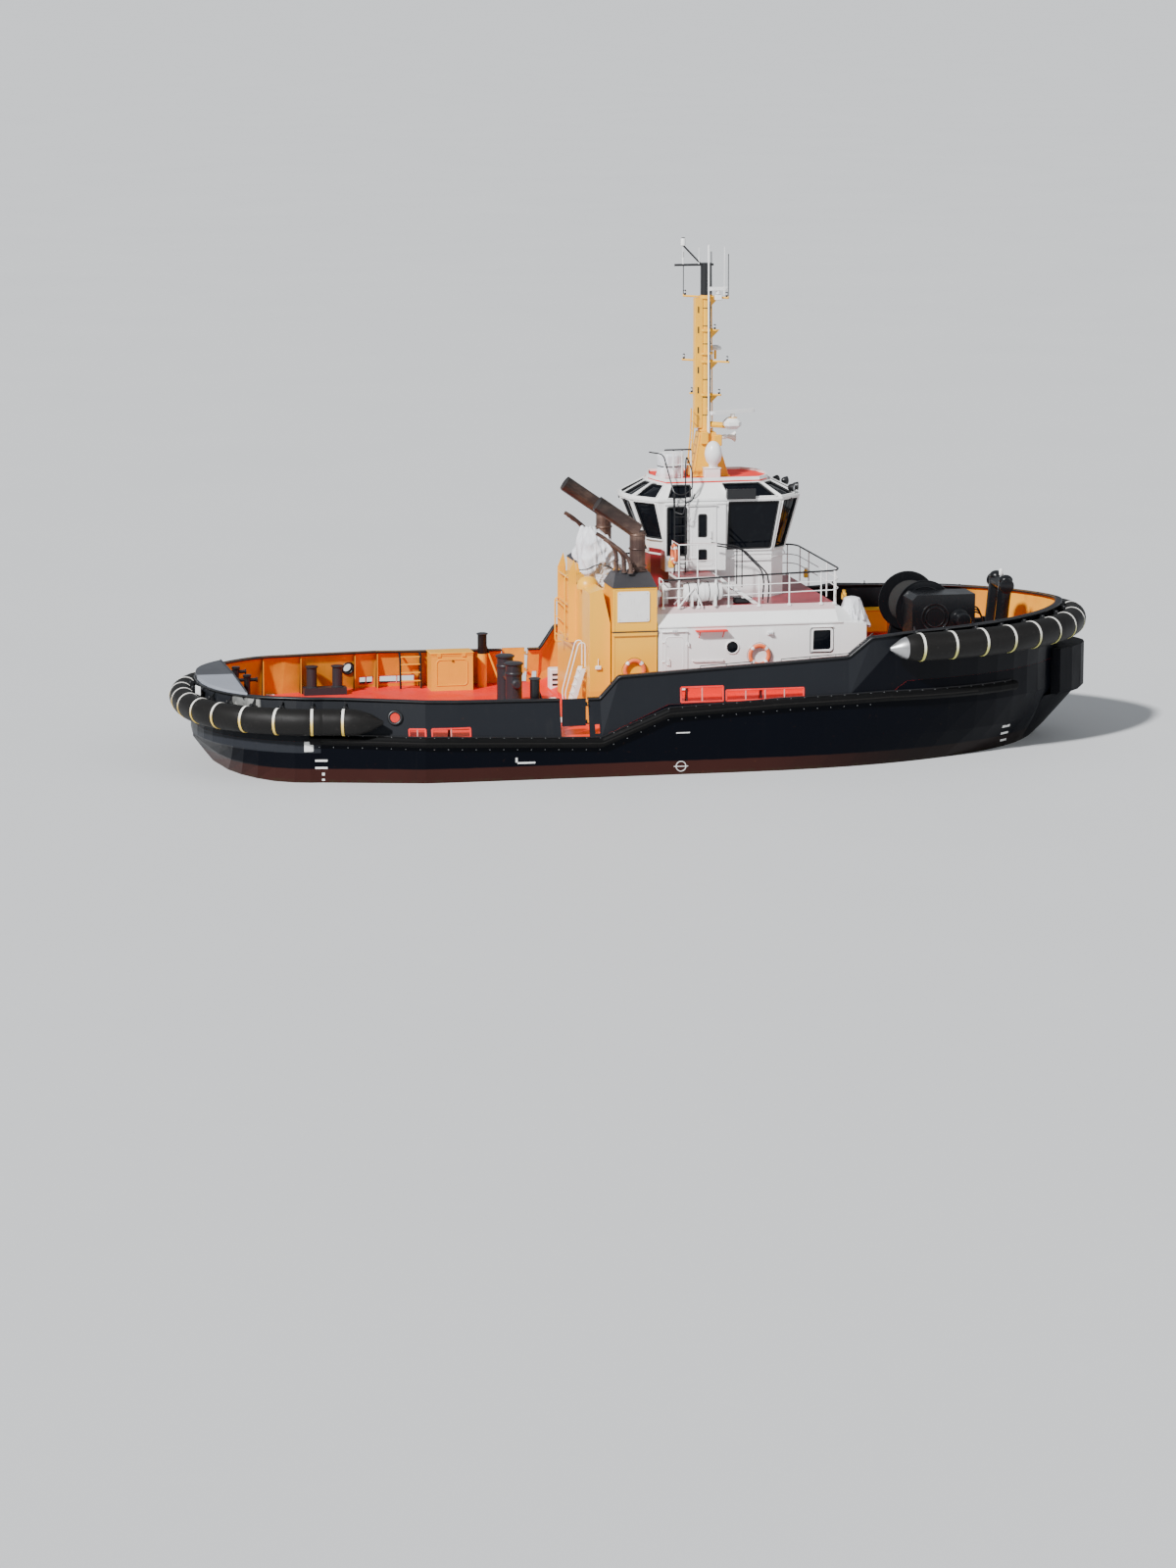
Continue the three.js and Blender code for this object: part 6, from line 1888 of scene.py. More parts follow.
@dataclass
class BoatDeck:
    """The deck over the house: rails, liferafts, the covered bundle, steps and lamps.

    Attributes:
        rail_y: Half breadth of the rails.
        x0: After end of the rails.
        x1: Fore end.
        deck_z: Height of the deck.
        top_z: Height of the top rail.
    """

    rail_y: float = 3.05
    x0: float = 0.2
    x1: float = 5.6
    deck_z: float = 4.78
    top_z: float = 5.6

    def rails(self) -> None:
        """Makes the stanchions, the two white lower rails and the black top rail, round to the front."""
        white, black = [], []
        y = -self.rail_y
        runs = [(self.x0, y), (self.x1, y), (self.x1 + 0.2, y + 0.4), (self.x1 + 0.2, 0.0)]
        black.append(pipe([(px, py, self.top_z + 0.03 * (px - self.x0)) for px, py in runs], 0.028, 10, 0.2))
        for height in (0.28, 0.56):
            white.append(pipe(
                [(px, py, self.deck_z + height + 0.02 * (px - self.x0)) for px, py in runs], 0.016, 8, 0.2
            ))
        for x in (self.x0, 0.7, 1.3, 2.25, 3.2, 4.15, 5.15, 5.57):
            white.append(pipe([(x, y, self.deck_z - 0.06), (x, y, self.top_z + 0.03 * (x - self.x0))], 0.022))
            white.append(block(
                (x - 0.05, y - 0.05, self.deck_z - 0.06), (x + 0.05, y + 0.05, self.deck_z + 0.012), 0.006
            ))
        for py in (-2.3, -1.15):
            white.append(
                pipe([(self.x1 + 0.2, py, self.deck_z - 0.1), (self.x1 + 0.2, py, self.top_z + 0.16)], 0.022)
            )
        white.append(pipe([(self.x0, y, self.top_z), (self.x0, -2.5, self.top_z)], 0.024, 8))
        white.append(pipe([(self.x0, -2.5, self.top_z), (self.x0, -2.5, self.deck_z)], 0.022, 8))
        make_pair("boat_deck_rails", white, WHITE_SMALL)
        make_pair("boat_deck_top_rails", black, BLACK_SMALL)

    def rafts(self) -> None:
        """Makes the liferaft canisters with their bands, cradles and ramps."""
        after = [(0.17, -0.62), (0.25, -0.59), (0.275, -0.52), (0.29, -0.3), (0.29, -0.04), (0.305, -0.035)]
        profile = [(0, -0.62), *after, *[(r, -at) for r, at in reversed(after)], (0, 0.62)]
        x, y, z = 1.45, -2.86, 5.2
        raft = turning(profile, (x, y, z), "X", 36)
        bands = [ring_of(0.293, 0.012, (x + dx, y, z), "X", 36, 6) for dx in (-0.45, -0.18, 0.18, 0.45)]
        cradle = []
        for dx in (-0.36, 0.36):
            outline = [
                (-0.3, -0.42), (0.3, -0.42), (0.3, -0.05), (0.26, -0.12), (0.17, -0.23), (0, -0.29),
                (-0.17, -0.23), (-0.26, -0.12), (-0.3, -0.05)
            ]
            cradle.append(plate(outline, (x + dx, y, z), (0, 1, 0), (0, 0, 1), 0.05))
        for side in (-0.3, 0.3):
            foot, top = (0.66, y + side, self.deck_z), (x - 0.3, y + side, z + 0.18)
            cradle += [pipe([foot, top], 0.024), pipe([top, (x - 0.05, y + side, self.deck_z)], 0.024)]
        cradle.append(bars(
            [
                ((0.9, y - 0.3, 4.98), (0.9, y + 0.3, 4.98)),
                ((0.78, y - 0.3, 4.88), (0.78, y + 0.3, 4.88))
            ],
            0.018
        ))
        make_pair("liferafts", raft, WHITE_PLASTIC)
        make_pair("liferaft_bands", bands, GASKET)
        make_pair("liferaft_cradles", cradle, WHITE_SMALL)

    def vents(self) -> None:
        """Makes the mushroom ventilators at the deck's after end."""
        vents = []
        for x, y, top in ((-0.02, -2.85, 5.3), (0.42, -2.3, 5.42)):
            rise = top - self.deck_z
            cap = [(0.2, rise - 0.2), (0.21, rise - 0.1), (0.16, rise - 0.02), (0, rise)]
            vents.append(turning([(0.11, 0), (0.11, rise - 0.22), *cap], (x, y, self.deck_z), "Z", 28))
        make_pair("boat_deck_vents", vents, WHITE_SMALL)

    def covered_bundle(self) -> None:
        """Makes the covered bundle at the fore end: a crumpled canvas over a small drum."""
        share, angle = square_rings(64)
        fall = np.clip((share - 0.3) / 0.7, 0, 1)
        top, ahead = np.clip(share / 0.3, 0, 1), np.clip(np.cos(angle), 0, 1)
        fold = creases(np.cos(angle) * 2, np.sin(angle) * 2 + share, 21, 0.06) * (0.3 + fall)
        radius = 0.22 * top + 0.1 * fall + fold
        x = 6.2 + radius * 1.05 * np.cos(angle) + 0.2 * fall * ahead
        y = -2.72 + radius * 1.2 * np.sin(angle)
        z = 4.9 - 0.05 * top**2 - (0.62 + 0.3 * ahead + 0.05 * np.sin(3 * angle)) * fall
        grid = np.stack([x, y, z], -1)
        canvas_cover("deck_bundle_cover", grid)

    def boxes(self) -> None:
        """Makes the dark gear box, the lamp, the steps and the stair rails."""
        box_ = gather(
            block((2.5, -2.8, 4.79), (3.02, -2.5, 4.96), 0.02),
            block((2.48, -2.82, 4.95), (3.04, -2.48, 4.98), 0.008)
        )
        make_piece("deck_gear_box", box_, BLACK_SMALL)
        lamp = post_lamp((5.96, -2.5, 4.76), (6.1, -2.36, 4.98))
        make_pair("deck_lamps", lamp, YELLOW_SMALL)
        step = gather(
            block((1.08, -3.84, 4.1), (2.06, -3.58, 4.14), 0.008),
            *[pipe([(x, -3.8, 4.1), (x, -3.6, 3.9)], 0.015) for x in (1.2, 1.94)]
        )
        make_pair("raft_steps", step, DECK_PAINT)
        rails = []
        for y in (-2.17, -2.87):
            rails.append(pipe(
                [(1.9, y, 6.6), (2.75, y, 6.46), (3.5, y, 5.7), (3.56, y, 5.3), (3.52, y, 4.8)], 0.024, 8,
                0.15
            ))
            rails.append(pipe([(2.7, y, 5.3), (2.7, y, 6.42)], 0.018))
        make_pair("stair_rails", rails, BLACK_SMALL)

    def build(self) -> None:
        """Makes the boat deck's gear."""
        self.rails()
        self.rafts()
        self.vents()
        self.covered_bundle()
        self.boxes()


# Wheelhouse


SILL = (6.15, ((0.2, 0.0), (0.3, -0.75), (0.7, -1.5), (3.95, -1.5), (4.45, -0.9), (4.6, 0.0)))
BAND = (7.88, ((-0.5, 0.0), (-0.38, -0.9), (0.3, -1.8), (4.2, -1.8), (4.9, -1.1), (5.05, 0.0)))
ROOF = (8.355, ((0.38, 0.0), (0.48, -0.6), (0.66, -1.3), (3.6, -1.25), (3.96, -0.75), (4.08, 0.0)))


def full_ring(half: Any, z: float) -> Points:
    """Returns the whole ring round the wheelhouse at a height, from its starboard half."""
    rows = np.array([(x, y, z) for x, y in half])
    return np.vstack([rows, (rows[1:-1] * (1, -1, 1))[::-1]])


@dataclass
class Wheelhouse:
    """Glazing and trim of the wheelhouse.

    Attributes:
        lower: Windows between sill and band: panel, start and end along it, foot and head.
        upper: Windows between band and roof.
        setback: How far the glass lies behind the outer face.
        bay_y: Half breadth of the door bays.
    """

    lower: tuple[tuple[float, ...], ...] = (
        (0, 0.06, 0.92, 0.06, 0.94), (1, 0.1, 0.88, 0.3, 0.94), (2, 0.57, 0.98, 0.09, 0.95),
        (3, 0.07, 0.93, 0.09, 0.95), (4, 0.06, 0.95, 0.09, 0.95),
    )
    upper: tuple[tuple[float, ...], ...] = (
        (0, 0.06, 0.92, 0.12, 0.84), (1, 0.1, 0.88, 0.12, 0.84), (2, 0.08, 0.26, 0.12, 0.84),
        (2, 0.59, 0.97, 0.1, 0.88), (3, 0.1, 0.9, 0.12, 0.84), (4, 0.1, 0.95, 0.12, 0.84),
    )
    setback: float = 0.035
    bay_y: float = 1.85

    def corners(self, low: Any, high: Any, window: tuple[float, ...]) -> Points:
        """Returns a window's corners on the outer face.

        Args:
            low: Ring at its foot.
            high: Ring at its head.
            window: Panel, start and end along it, foot and head.

        Returns:
            Four corners, seen from outside in turn: between the rings' points by the two shares.
        """
        at, u0, u1, v0, v1 = window
        k = int(at)
        foot = np.array([(*low[1][k], low[0]), (*low[1][k + 1], low[0])])
        head = np.array([(*high[1][k], high[0]), (*high[1][k + 1], high[0])])
        rows = []
        for u, v in ((u0, v0), (u1, v0), (u1, v1), (u0, v1)):
            a = foot[0] + (foot[1] - foot[0]) * u
            b = head[0] + (head[1] - head[0]) * u
            rows.append(a + (b - a) * v)
        return np.array(rows)

    def glazing(self) -> None:
        """Makes the panes, their gaskets and the wipers of the raked windows."""
        panes, gaskets, wipers, frames = [], [], [], []
        for low, high, windows in ((SILL, BAND, self.lower), (BAND, ROOF, self.upper)):
            for window in windows:
                corner = self.corners(low, high, window)
                centre = corner.mean(0)
                wide = centre + (corner - centre) * 1.012
                panes.append(panel(wide, self.setback + 0.012, -self.setback))
                normal = np.cross(corner[1] - corner[0], corner[3] - corner[0])
                normal /= np.linalg.norm(normal)
                ring = frame_loop(corner, 0.07, 6) - normal * 0.008
                gaskets.append(carry(ring, bar_section(0.022, 0.02), normal, closed=True))
                reach = np.linalg.norm(corner - centre, axis=1, keepdims=True)
                outer = centre + (corner - centre) * (1 + 0.05 / reach)
                rim = frame_loop(outer, 0.07, 6) + normal * 0.012
                frames.append(carry(rim, bar_section(0.014, 0.03), normal, closed=True))
                if low is SILL and window[0] in (3, 4, 0):
                    lift = normal * 0.02
                    top = corner[2:].mean(0) + lift
                    foot = centre * 0.55 + corner[:2].mean(0) * 0.45 + lift
                    wipers.append(pipe([top, foot], 0.011, 6))
                    along = (corner[0] - corner[3]) / np.linalg.norm(corner[0] - corner[3])
                    wipers.append(pipe([foot - along * 0.32, foot + along * 0.25], 0.014, 6))
                    wipers.append(block(tuple(top - 0.05), tuple(top + 0.05), 0.015))
        make_pair("wheelhouse_panes", panes, WINDOW_GLASS)
        make_pair("wheelhouse_gaskets", gaskets, GASKET, sharp=60)
        make_pair("wheelhouse_window_frames", frames, WHITE_SMALL, sharp=60)
        make_pair("wheelhouse_wipers", wipers, BLACK_SMALL)

    def bays(self) -> None:
        """Makes the door bays' side windows, gaskets and rain gutters."""
        y = -self.bay_y
        x0, x1, z0, z1 = 0.585, 1.18, 6.2, 7.68
        corner = np.array([(x0, y, z0), (x1, y, z0), (x1, y, z1), (x0, y, z1)])
        pane = panel(corner, self.setback + 0.012, -self.setback)
        ring = frame_loop(corner, 0.07, 6)
        gasket = carry(ring, bar_section(0.022, 0.02), (0, 1, 0), closed=True)
        gutters = [
            block((1.22, y - 0.07, 7.7), (2.16, y, 7.72), 0.006),
            block((0.5, y - 0.03, 7.74), (2.44, y + 0.02, 7.79), 0.008),
            block((1.22, y - 0.05, 5.72), (2.16, y, 5.76), 0.006),
        ]
        make_pair("bay_panes", pane, WINDOW_GLASS)
        make_pair("bay_gaskets", gasket, GASKET, sharp=60)
        make_pair("bay_gutters", gutters, WHITE_SMALL)

    def doors(self) -> None:
        """Makes each side door's panes, gaskets, handle and hinge straps, riding on the door."""
        y = -self.bay_y - 0.026
        panes, gaskets, gear = [], [], []
        for z0, z1 in ((6.75, 7.44), (6.0, 6.35)):
            corner = np.array([(1.56, y, z0), (1.81, y, z0), (1.81, y, z1), (1.56, y, z1)])
            centre = corner.mean(0)
            panes.append(panel(centre + (corner - centre) * 1.02, 0.04, -0.024))
            ring = frame_loop(corner, 0.06, 6)
            gaskets.append(carry(
                ring, np.array([[-0.02, -0.01], [0.02, -0.01], [0.02, 0.012], [-0.02, 0.012]]), (0, 1, 0),
                closed=True
            ))
        rim = frame_loop([(1.36, y, 5.86), (1.36, y, 7.57), (2.01, y, 7.57), (2.01, y, 5.86)], 0.09, 6)
        gear.append(carry(rim, circle(0.01, 6), (0, 1, 0), closed=True))
        gear.append(pipe(
            [(1.93, y, 6.72), (1.93, y - 0.06, 6.72), (1.93, y - 0.06, 6.94), (1.93, y, 6.94)], 0.013, 8,
            0.03
        ))
        gear.append(block((1.89, y - 0.012, 6.5), (1.97, y + 0.004, 6.66), 0.006))
        for z in (6.1, 7.25):
            gear.append(block((1.33, y - 0.014, z - 0.03), (1.5, y + 0.004, z + 0.03), 0.008))
        kinds = (("panes", panes, WINDOW_GLASS), ("gaskets", gaskets, GASKET), ("gear", gear, WHITE_SMALL))
        for body in (Body.CABIN_DOOR_STARBOARD, Body.CABIN_DOOR_PORT):
            for kind, shapes, finish in kinds:
                make_on_door("cabin_door_" + kind, gather(*shapes), finish, body)

    def trim(self) -> None:
        """Makes the belts at the sill and the band, the roof coaming and the handrails under the windows."""
        belts = []
        for (level, half), height, proud in ((SILL, 0.05, 0.025), (BAND, 0.06, 0.03)):
            ring = full_ring(half, level)
            out = ring - (2.4, 0, level)
            out /= np.linalg.norm(out, axis=1, keepdims=True)
            belts.append(carry(ring + out * 0.004, bar_section(proud, height / 2), (0, 0, 1), closed=True))
        make_piece("wheelhouse_belts", belts, WHITE_SMALL)
        lip = carry(full_ring(ROOF[1], ROOF[0] + 0.09), bar_section(0.03, 0.05), (0, 0, 1), closed=True)
        make_piece("wheelhouse_roof_coaming", lip, WHITE_SMALL)
        rail = []
        path = [
            (2.6, -1.5, 6.02), (2.6, -1.6, 6.02), (3.95, -1.6, 6.02), (4.52, -0.96, 6.02), (4.69, 0.0, 6.02)
        ]
        rail.append(pipe(path, 0.018, 8, 0.06))
        for px, py in ((3.3, -1.6), (3.95, -1.6), (4.52, -0.96)):
            rail.append(pipe([(px, py, 6.02), (px - 0.03, py + 0.1, 6.02)], 0.012))
        make_pair("wheelhouse_handrails", rail, WHITE_SMALL)

    def lights(self) -> None:
        """Makes the floodlights on the ledge over the front and the side lights in their boxes."""
        bodies, lenses = [], []
        for x, y, z, turn in ((4.68, -1.05, 8.1, -30), (4.9, -0.7, 8.1, -10)):
            lamp = turning(
                [(0, -0.1), (0.07, -0.1), (0.1, -0.06), (0.125, 0.04), (0.13, 0.075), (0.11, 0.085)],
                (x, y, z), "X", 24
            )
            lens = turning([(0, 0.06), (0.11, 0.065), (0.108, 0.08), (0, 0.092)], (x, y, z), "X", 24)
            foot = pipe([(x - 0.02, y, z - 0.08), (x - 0.02, y, z - 0.22)], 0.02)
            bodies += [lamp.turned(turn, "Z", (x, y, z)), foot]
            lenses.append(lens.turned(turn, "Z", (x, y, z)))
        make_pair("floodlights", bodies, BLACK_SMALL)
        make_pair("floodlight_lenses", lenses, LENS)
        screens = gather(
            block((2.45, -1.92, 7.9), (3.35, -1.88, 8.2), 0.008),
            block((2.45, -1.9, 7.88), (3.35, -1.72, 7.9), 0.006),
            block((2.45, -1.9, 7.9), (2.48, -1.72, 8.2), 0.006)
        )
        make_pair("side_light_screens", screens, BLACK_SMALL)
        lamp = turning(
            [(0, 0), (0.06, 0.01), (0.065, 0.04), (0.065, 0.16), (0.05, 0.2), (0, 0.21)], (2.62, -1.8, 7.91),
            "Z", 20
        )
        make_piece("side_light_starboard", lamp, GREEN_LAMP)
        make_piece("side_light_port", lamp.mirrored(), RED_LAMP)

    def ladder(self) -> None:
        """Makes the black ladder to the roof on starboard, its hoops and the gear beside it."""
        y = -self.bay_y - 0.15
        climb = [(1.12, y, 5.65), (1.12, y, 9.0), (
            1.2, y + 0.25, 9.24
        ), (1.38, y + 0.25, 8.8), (1.36, y + 0.1, 8.24), (1.03, y - 0.06, 8.06),
                 (0.76, y, 8.13), (0.7, y + 0.25, 8.5), (0.52, y + 0.45, 9.28), (0.1, y + 0.6, 9.34)]
        parts = [pipe(climb, 0.022, 8, 0.14), pipe([(0.78, y, 5.65), (0.78, y, 8.14)], 0.022)]
        hoop = [
            (0.74, y, 8.1), (0.75, y - 0.1, 7.56), (0.98, y - 0.28, 7.5), (1.06, y - 0.25, 7.84),
            (1.34, y - 0.05, 7.92), (1.42, y + 0.05, 8.09)
        ]
        parts.append(pipe(hoop, 0.02, 8, 0.08))
        parts += [pipe([(0.78, y, z), (1.12, y, z)], 0.015) for z in np.arange(5.95, 8.1, 0.29)]
        for z in (6.3, 7.7):
            parts += [pipe([(x, y, z), (x, -self.bay_y, z)], 0.014) for x in (0.78, 1.12)]
        make_piece("roof_ladder", parts, BLACK_SMALL)
        Lifebuoy("platform", (0.62, -2.7, 6.35), 0.27, 0.06, "X").build(False)
        lamp = post_lamp((0.5, -2.5, 5.9), (0.66, -2.36, 6.12))
        make_pair("platform_lamps", lamp, YELLOW_SMALL)

    def build(self) -> None:
        """Makes everything on the wheelhouse."""
        self.glazing()
        self.bays()
        self.doors()
        self.trim()
        self.lights()
        self.ladder()


@dataclass
class RoofGear:
    """Gear on the wheelhouse's roof.

    Attributes:
        z: Height of the roof.
    """

    z: float = 8.425

    def build(self) -> None:
        """Makes the monitor's cover and its cord, the equipment box and the small dome by the mast."""
        share, angle = square_rings(84)
        depth = np.interp(
            share, (0, 0.36, 0.44, 0.56, 0.68, 0.8, 1.0), (9.15, 9.175, 9.12, 8.95, 8.78, 8.63, 8.44)
        )
        reach = np.interp(
            share, (0, 0.36, 0.44, 0.56, 0.68, 0.8, 1.0), (0, 0.34, 0.39, 0.385, 0.365, 0.4, 0.415)
        )
        folds = (0.016 * np.sin(9 * angle + 3 * share) + 0.012 * np.sin(17 * angle - 6 * share)) * share**1.5
        reach = reach + folds + creases(angle * 2, share * 6, 5, 0.012) * share
        grid = np.stack([1.01 + reach * np.cos(angle), -0.3 + reach * np.sin(angle), depth + 0 * angle], -1)
        cover = canvas_cover("roof_monitor_cover", grid)
        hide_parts("roof_monitor")
        make_piece("roof_monitor_cord", ring_of(0.395, 0.012, (1.01, -0.3, 8.78), "Z", 60, 6), HAWSER)
        case = block((1.98, -0.86, self.z + 0.003), (2.48, -0.56, 8.72), 0.02)
        case = gather(case, block((1.96, -0.88, 8.71), (2.5, -0.54, 8.74), 0.008))
        dome = turning(
            np.vstack([[(0.13, -0.22), (0.14, -0.1), (0.23, 0.0)], dome_profile(0.27, 0.42, 10, 0.2)]),
            (2.27, -0.74, 8.94), "Z", 32
        )
        make_piece("roof_case", case, WHITE_SMALL)
        make_piece("roof_dome", dome, WHITE_PLASTIC)


@dataclass
class MastHead:
    """Everything on the mast: lamps, ladder, cables, aerials and the radar's gear.

    Attributes:
        x: Place of the column.
        radius: Radius of the column.
        trees: Heights and reaches of the crosstrees.
    """

    x: float = 2.18
    radius: float = 0.17
    trees: tuple[tuple[float, float], ...] = ((10.93, 0.41), (11.96, 0.62), (12.92, 0.29), (13.93, 0.595))

    def lamp(self, place: Vector3) -> tuple[Shape, Shape]:
        """Returns a navigation lamp at a place: its housing and its lens."""
        base = turning([(0.03, 0.0), (0.035, 0.02), (0.035, 0.05), (0.03, 0.06)], place, "Z", 12)
        cap = turning([(0.03, 0.12), (0.038, 0.125), (0.03, 0.15), (0, 0.16)], place, "Z", 12)
        lens = turning([(0.03, 0.058), (0.034, 0.07), (0.034, 0.11), (0.03, 0.122)], place, "Z", 12)
        return gather(base, cap), lens

    def lamps(self) -> None:
        """Makes the lamps on the crosstrees' ends."""
        cases, lenses = [], []
        for z, reach in self.trees:
            for sign in (-1, 1):
                out = sign * (reach - 0.05)
                case, lens = self.lamp((self.x + out, -out * 0.9, z + 0.03))
                cases.append(case)
                lenses.append(lens)
        make_piece("mast_lamps", cases, BLACK_SMALL)
        make_piece("mast_lamp_lenses", lenses, LENS)

    def rungs(self) -> None:
        """Makes the ladder on the after side of the column, black plates of painted shade for its foot holes,
        and the cables beside it.
        """
        slots = np.arange(10.35, 13.6, 0.62)
        strip = [
            block((1.82, -0.15, 9.9), (2.06, -0.11, 13.9), 0.008),
            block((1.82, 0.11, 9.9), (2.06, 0.15, 13.9), 0.008)
        ]
        strip.append(block((1.82, -0.12, 9.9), (1.85, 0.12, 13.9), 0.006))
        for y in (-0.32, 0.02):
            strip.append(pipe([(1.6, y, 8.46), (1.72, y, 9.7), (1.74, y, 10.5)], 0.024, 8, 0.1))
        strip += [
            pipe([(1.6 + 0.1 * (z - 8.5), -0.32, z), (1.6 + 0.1 * (z - 8.5), 0.02, z)], 0.016)
            for z in np.arange(8.7, 10.4, 0.28)
        ]
        make_piece("mast_ladder", strip, YELLOW_SMALL)
        # Painted shade: thin black plates on the strip stand in for the shade inside the foot holes.
        foot_hole_shade = gather(*[block((1.9, -0.158, z), (1.94, -0.145, z + 0.2), 0.004) for z in slots])
        make_piece("mast_foot_hole_shade", foot_hole_shade, BLACK_SMALL)
        cable = pipe(
            [(self.x + 0.05, -self.radius - 0.02, 9.9), (self.x + 0.05, -self.radius - 0.02, 13.8)], 0.02, 8
        )
        clips = gather(*[
            ring_of(self.radius + 0.004, 0.012, (self.x, 0, z), "Z", 28, 6)
            for z in np.arange(10.3, 13.8, 0.55)
        ])
        make_piece("mast_cables", gather(cable, cable.moved((0.05, 0.012, 0)), clips), GASKET)

    def collars(self) -> None:
        """Makes the flanges, gussets and seams of the column and its foot."""
        parts = []
        for z in (9.83, 12.2):
            parts.append(
                turning([(0.24, z - 0.03), (0.24, z + 0.03), (0.2, z + 0.034)], (self.x, 0, 0), "Z", 28)
            )
        for y in (-0.4, 0.4):
            parts.append(pipe([(1.72, y * 1.18, 8.44), (1.96, y * 0.64, 9.77)], 0.02))
            parts.append(pipe([(2.8, y * 1.18, 8.44), (2.44, y * 0.64, 9.77)], 0.02))
        parts.append(block((1.66, -0.52, 8.428), (2.86, 0.52, 8.46), 0.008))
        parts.append(block((1.96, -0.42, 9.42), (2.2, -0.24, 9.8), 0.02))
        parts.append(block((2.36, -0.44, 9.36), (2.62, -0.24, 9.7), 0.02))
        for z, _ in self.trees:
            parts.append(
                plate([(0, 0), (0.3, 0), (0, -0.3)], (self.x + 0.15, 0, z), (1, 0, 0), (0, 0, 1), 0.016)
            )
        make_piece("mast_collars", parts, YELLOW_SMALL)

    def radar(self) -> None:
        """Makes the radars' gear boxes and the rounded fronts that turn with the scanners."""
        gear = [
            block((2.58, -1.02, 9.92), (3.12, -0.5, 10.262), 0.12),
            block((2.36, -0.53, 13.86), (2.58, -0.37, 14.02), 0.02)
        ]
        make_piece("radar_gears", gear, WHITE_PLASTIC)
        section = np.array(
            [[-0.055, -0.03], [-0.02, -0.058], [0.045, -0.05], [0.045, 0.05], [-0.02, 0.058], [-0.055, 0.03]]
        )
        for body, centre, length, turn in (
            (Body.RADAR_LOW, (2.87, -0.75, 10.28), 1.63, 23),
            (Body.RADAR_HIGH, (2.47, -0.45, 14.04), 0.56, 3),
        ):
            x, y, z = centre
            half = length / 2 - 0.002
            s = np.linspace(-half, half, 25)
            path = np.stack([x + s, np.full(25, y - 0.035), np.full(25, z + 0.175)], 1)
            squeeze = np.minimum(1, 0.55 + 6 * (half - np.abs(s)))
            nose = carry(path, section, (0, 0, 1), scale=squeeze).turned(turn, "Z", centre)
            make_piece(f"{body.value}_front", nose, WHITE_PLASTIC, body)

    def aerials(self) -> None:
        """Makes the whip aerials, the white pole, the flat dome, the horn and the wind sensor."""
        whips = []
        for px, py, z0, z1, r in (
            (1.46, 0.0, 14.9, 15.5, 0.012), (1.96, 0.0, 14.9, 15.45, 0.012), (2.79, 0.1, 13.98, 15.45, 0.014)
        ):
            whips.append(pipe([(px, py, z0), (px, py, z1)], r, 6))
            whips.append(pipe([(px, py, z0), (px, py, z0 + 0.25)], r * 2.2, 8))
        make_piece("whip_aerials", whips, WHITE_PLASTIC)
        pole = gather(
            pipe([(2.22, -0.3, 9.8), (2.2, -0.3, 15.55)], 0.03, 10),
            pipe([(2.22, -0.3, 9.75), (2.22, -0.3, 10.3)], 0.045, 10)
        )
        make_piece("mast_pole", pole, WHITE_SMALL)
        stay_off = [pipe([(2.21, -0.3, z), (2.19, -0.12, z)], 0.02) for z in (10.5, 11.9, 12.9, 13.9)]
        dome = turning(
            [(0.05, -0.02), (0.19, 0.0), (0.205, 0.04), (0.17, 0.1), (0.08, 0.14), (0, 0.15)],
            (2.6, 0.5, 12.25), "Z", 32
        )
        make_piece("mast_dome", dome, WHITE_PLASTIC)
        stalk = pipe([(2.6, 0.5, 11.96), (2.6, 0.5, 12.25)], 0.04, 12)
        make_piece("mast_dome_arm", gather(stalk, *stay_off), YELLOW_SMALL)
        horn = turning(
            [(0, 0), (0.06, 0.01), (0.07, 0.12), (0.05, 0.16), (0.09, 0.3), (0.17, 0.42), (0.16, 0.425)],
            (2.7, -0.02, 9.6), "X", 24
        )
        make_piece(
            "mast_horn", gather(horn, pipe([(2.3, -0.02, 9.62), (2.76, -0.02, 9.62)], 0.022)), WHITE_SMALL
        )
        sensor = turning(
            [(0.064, 0.0), (0.075, 0.01), (0.075, 0.2), (0.05, 0.235), (0, 0.24)], (1.46, 0, 15.515), "Z", 20
        )
        make_piece("wind_sensor", sensor, WHITE_PLASTIC)

    def build(self) -> None:
        """Makes the mast's fittings."""
        self.lamps()
        self.rungs()
        self.collars()
        self.radar()
        self.aerials()


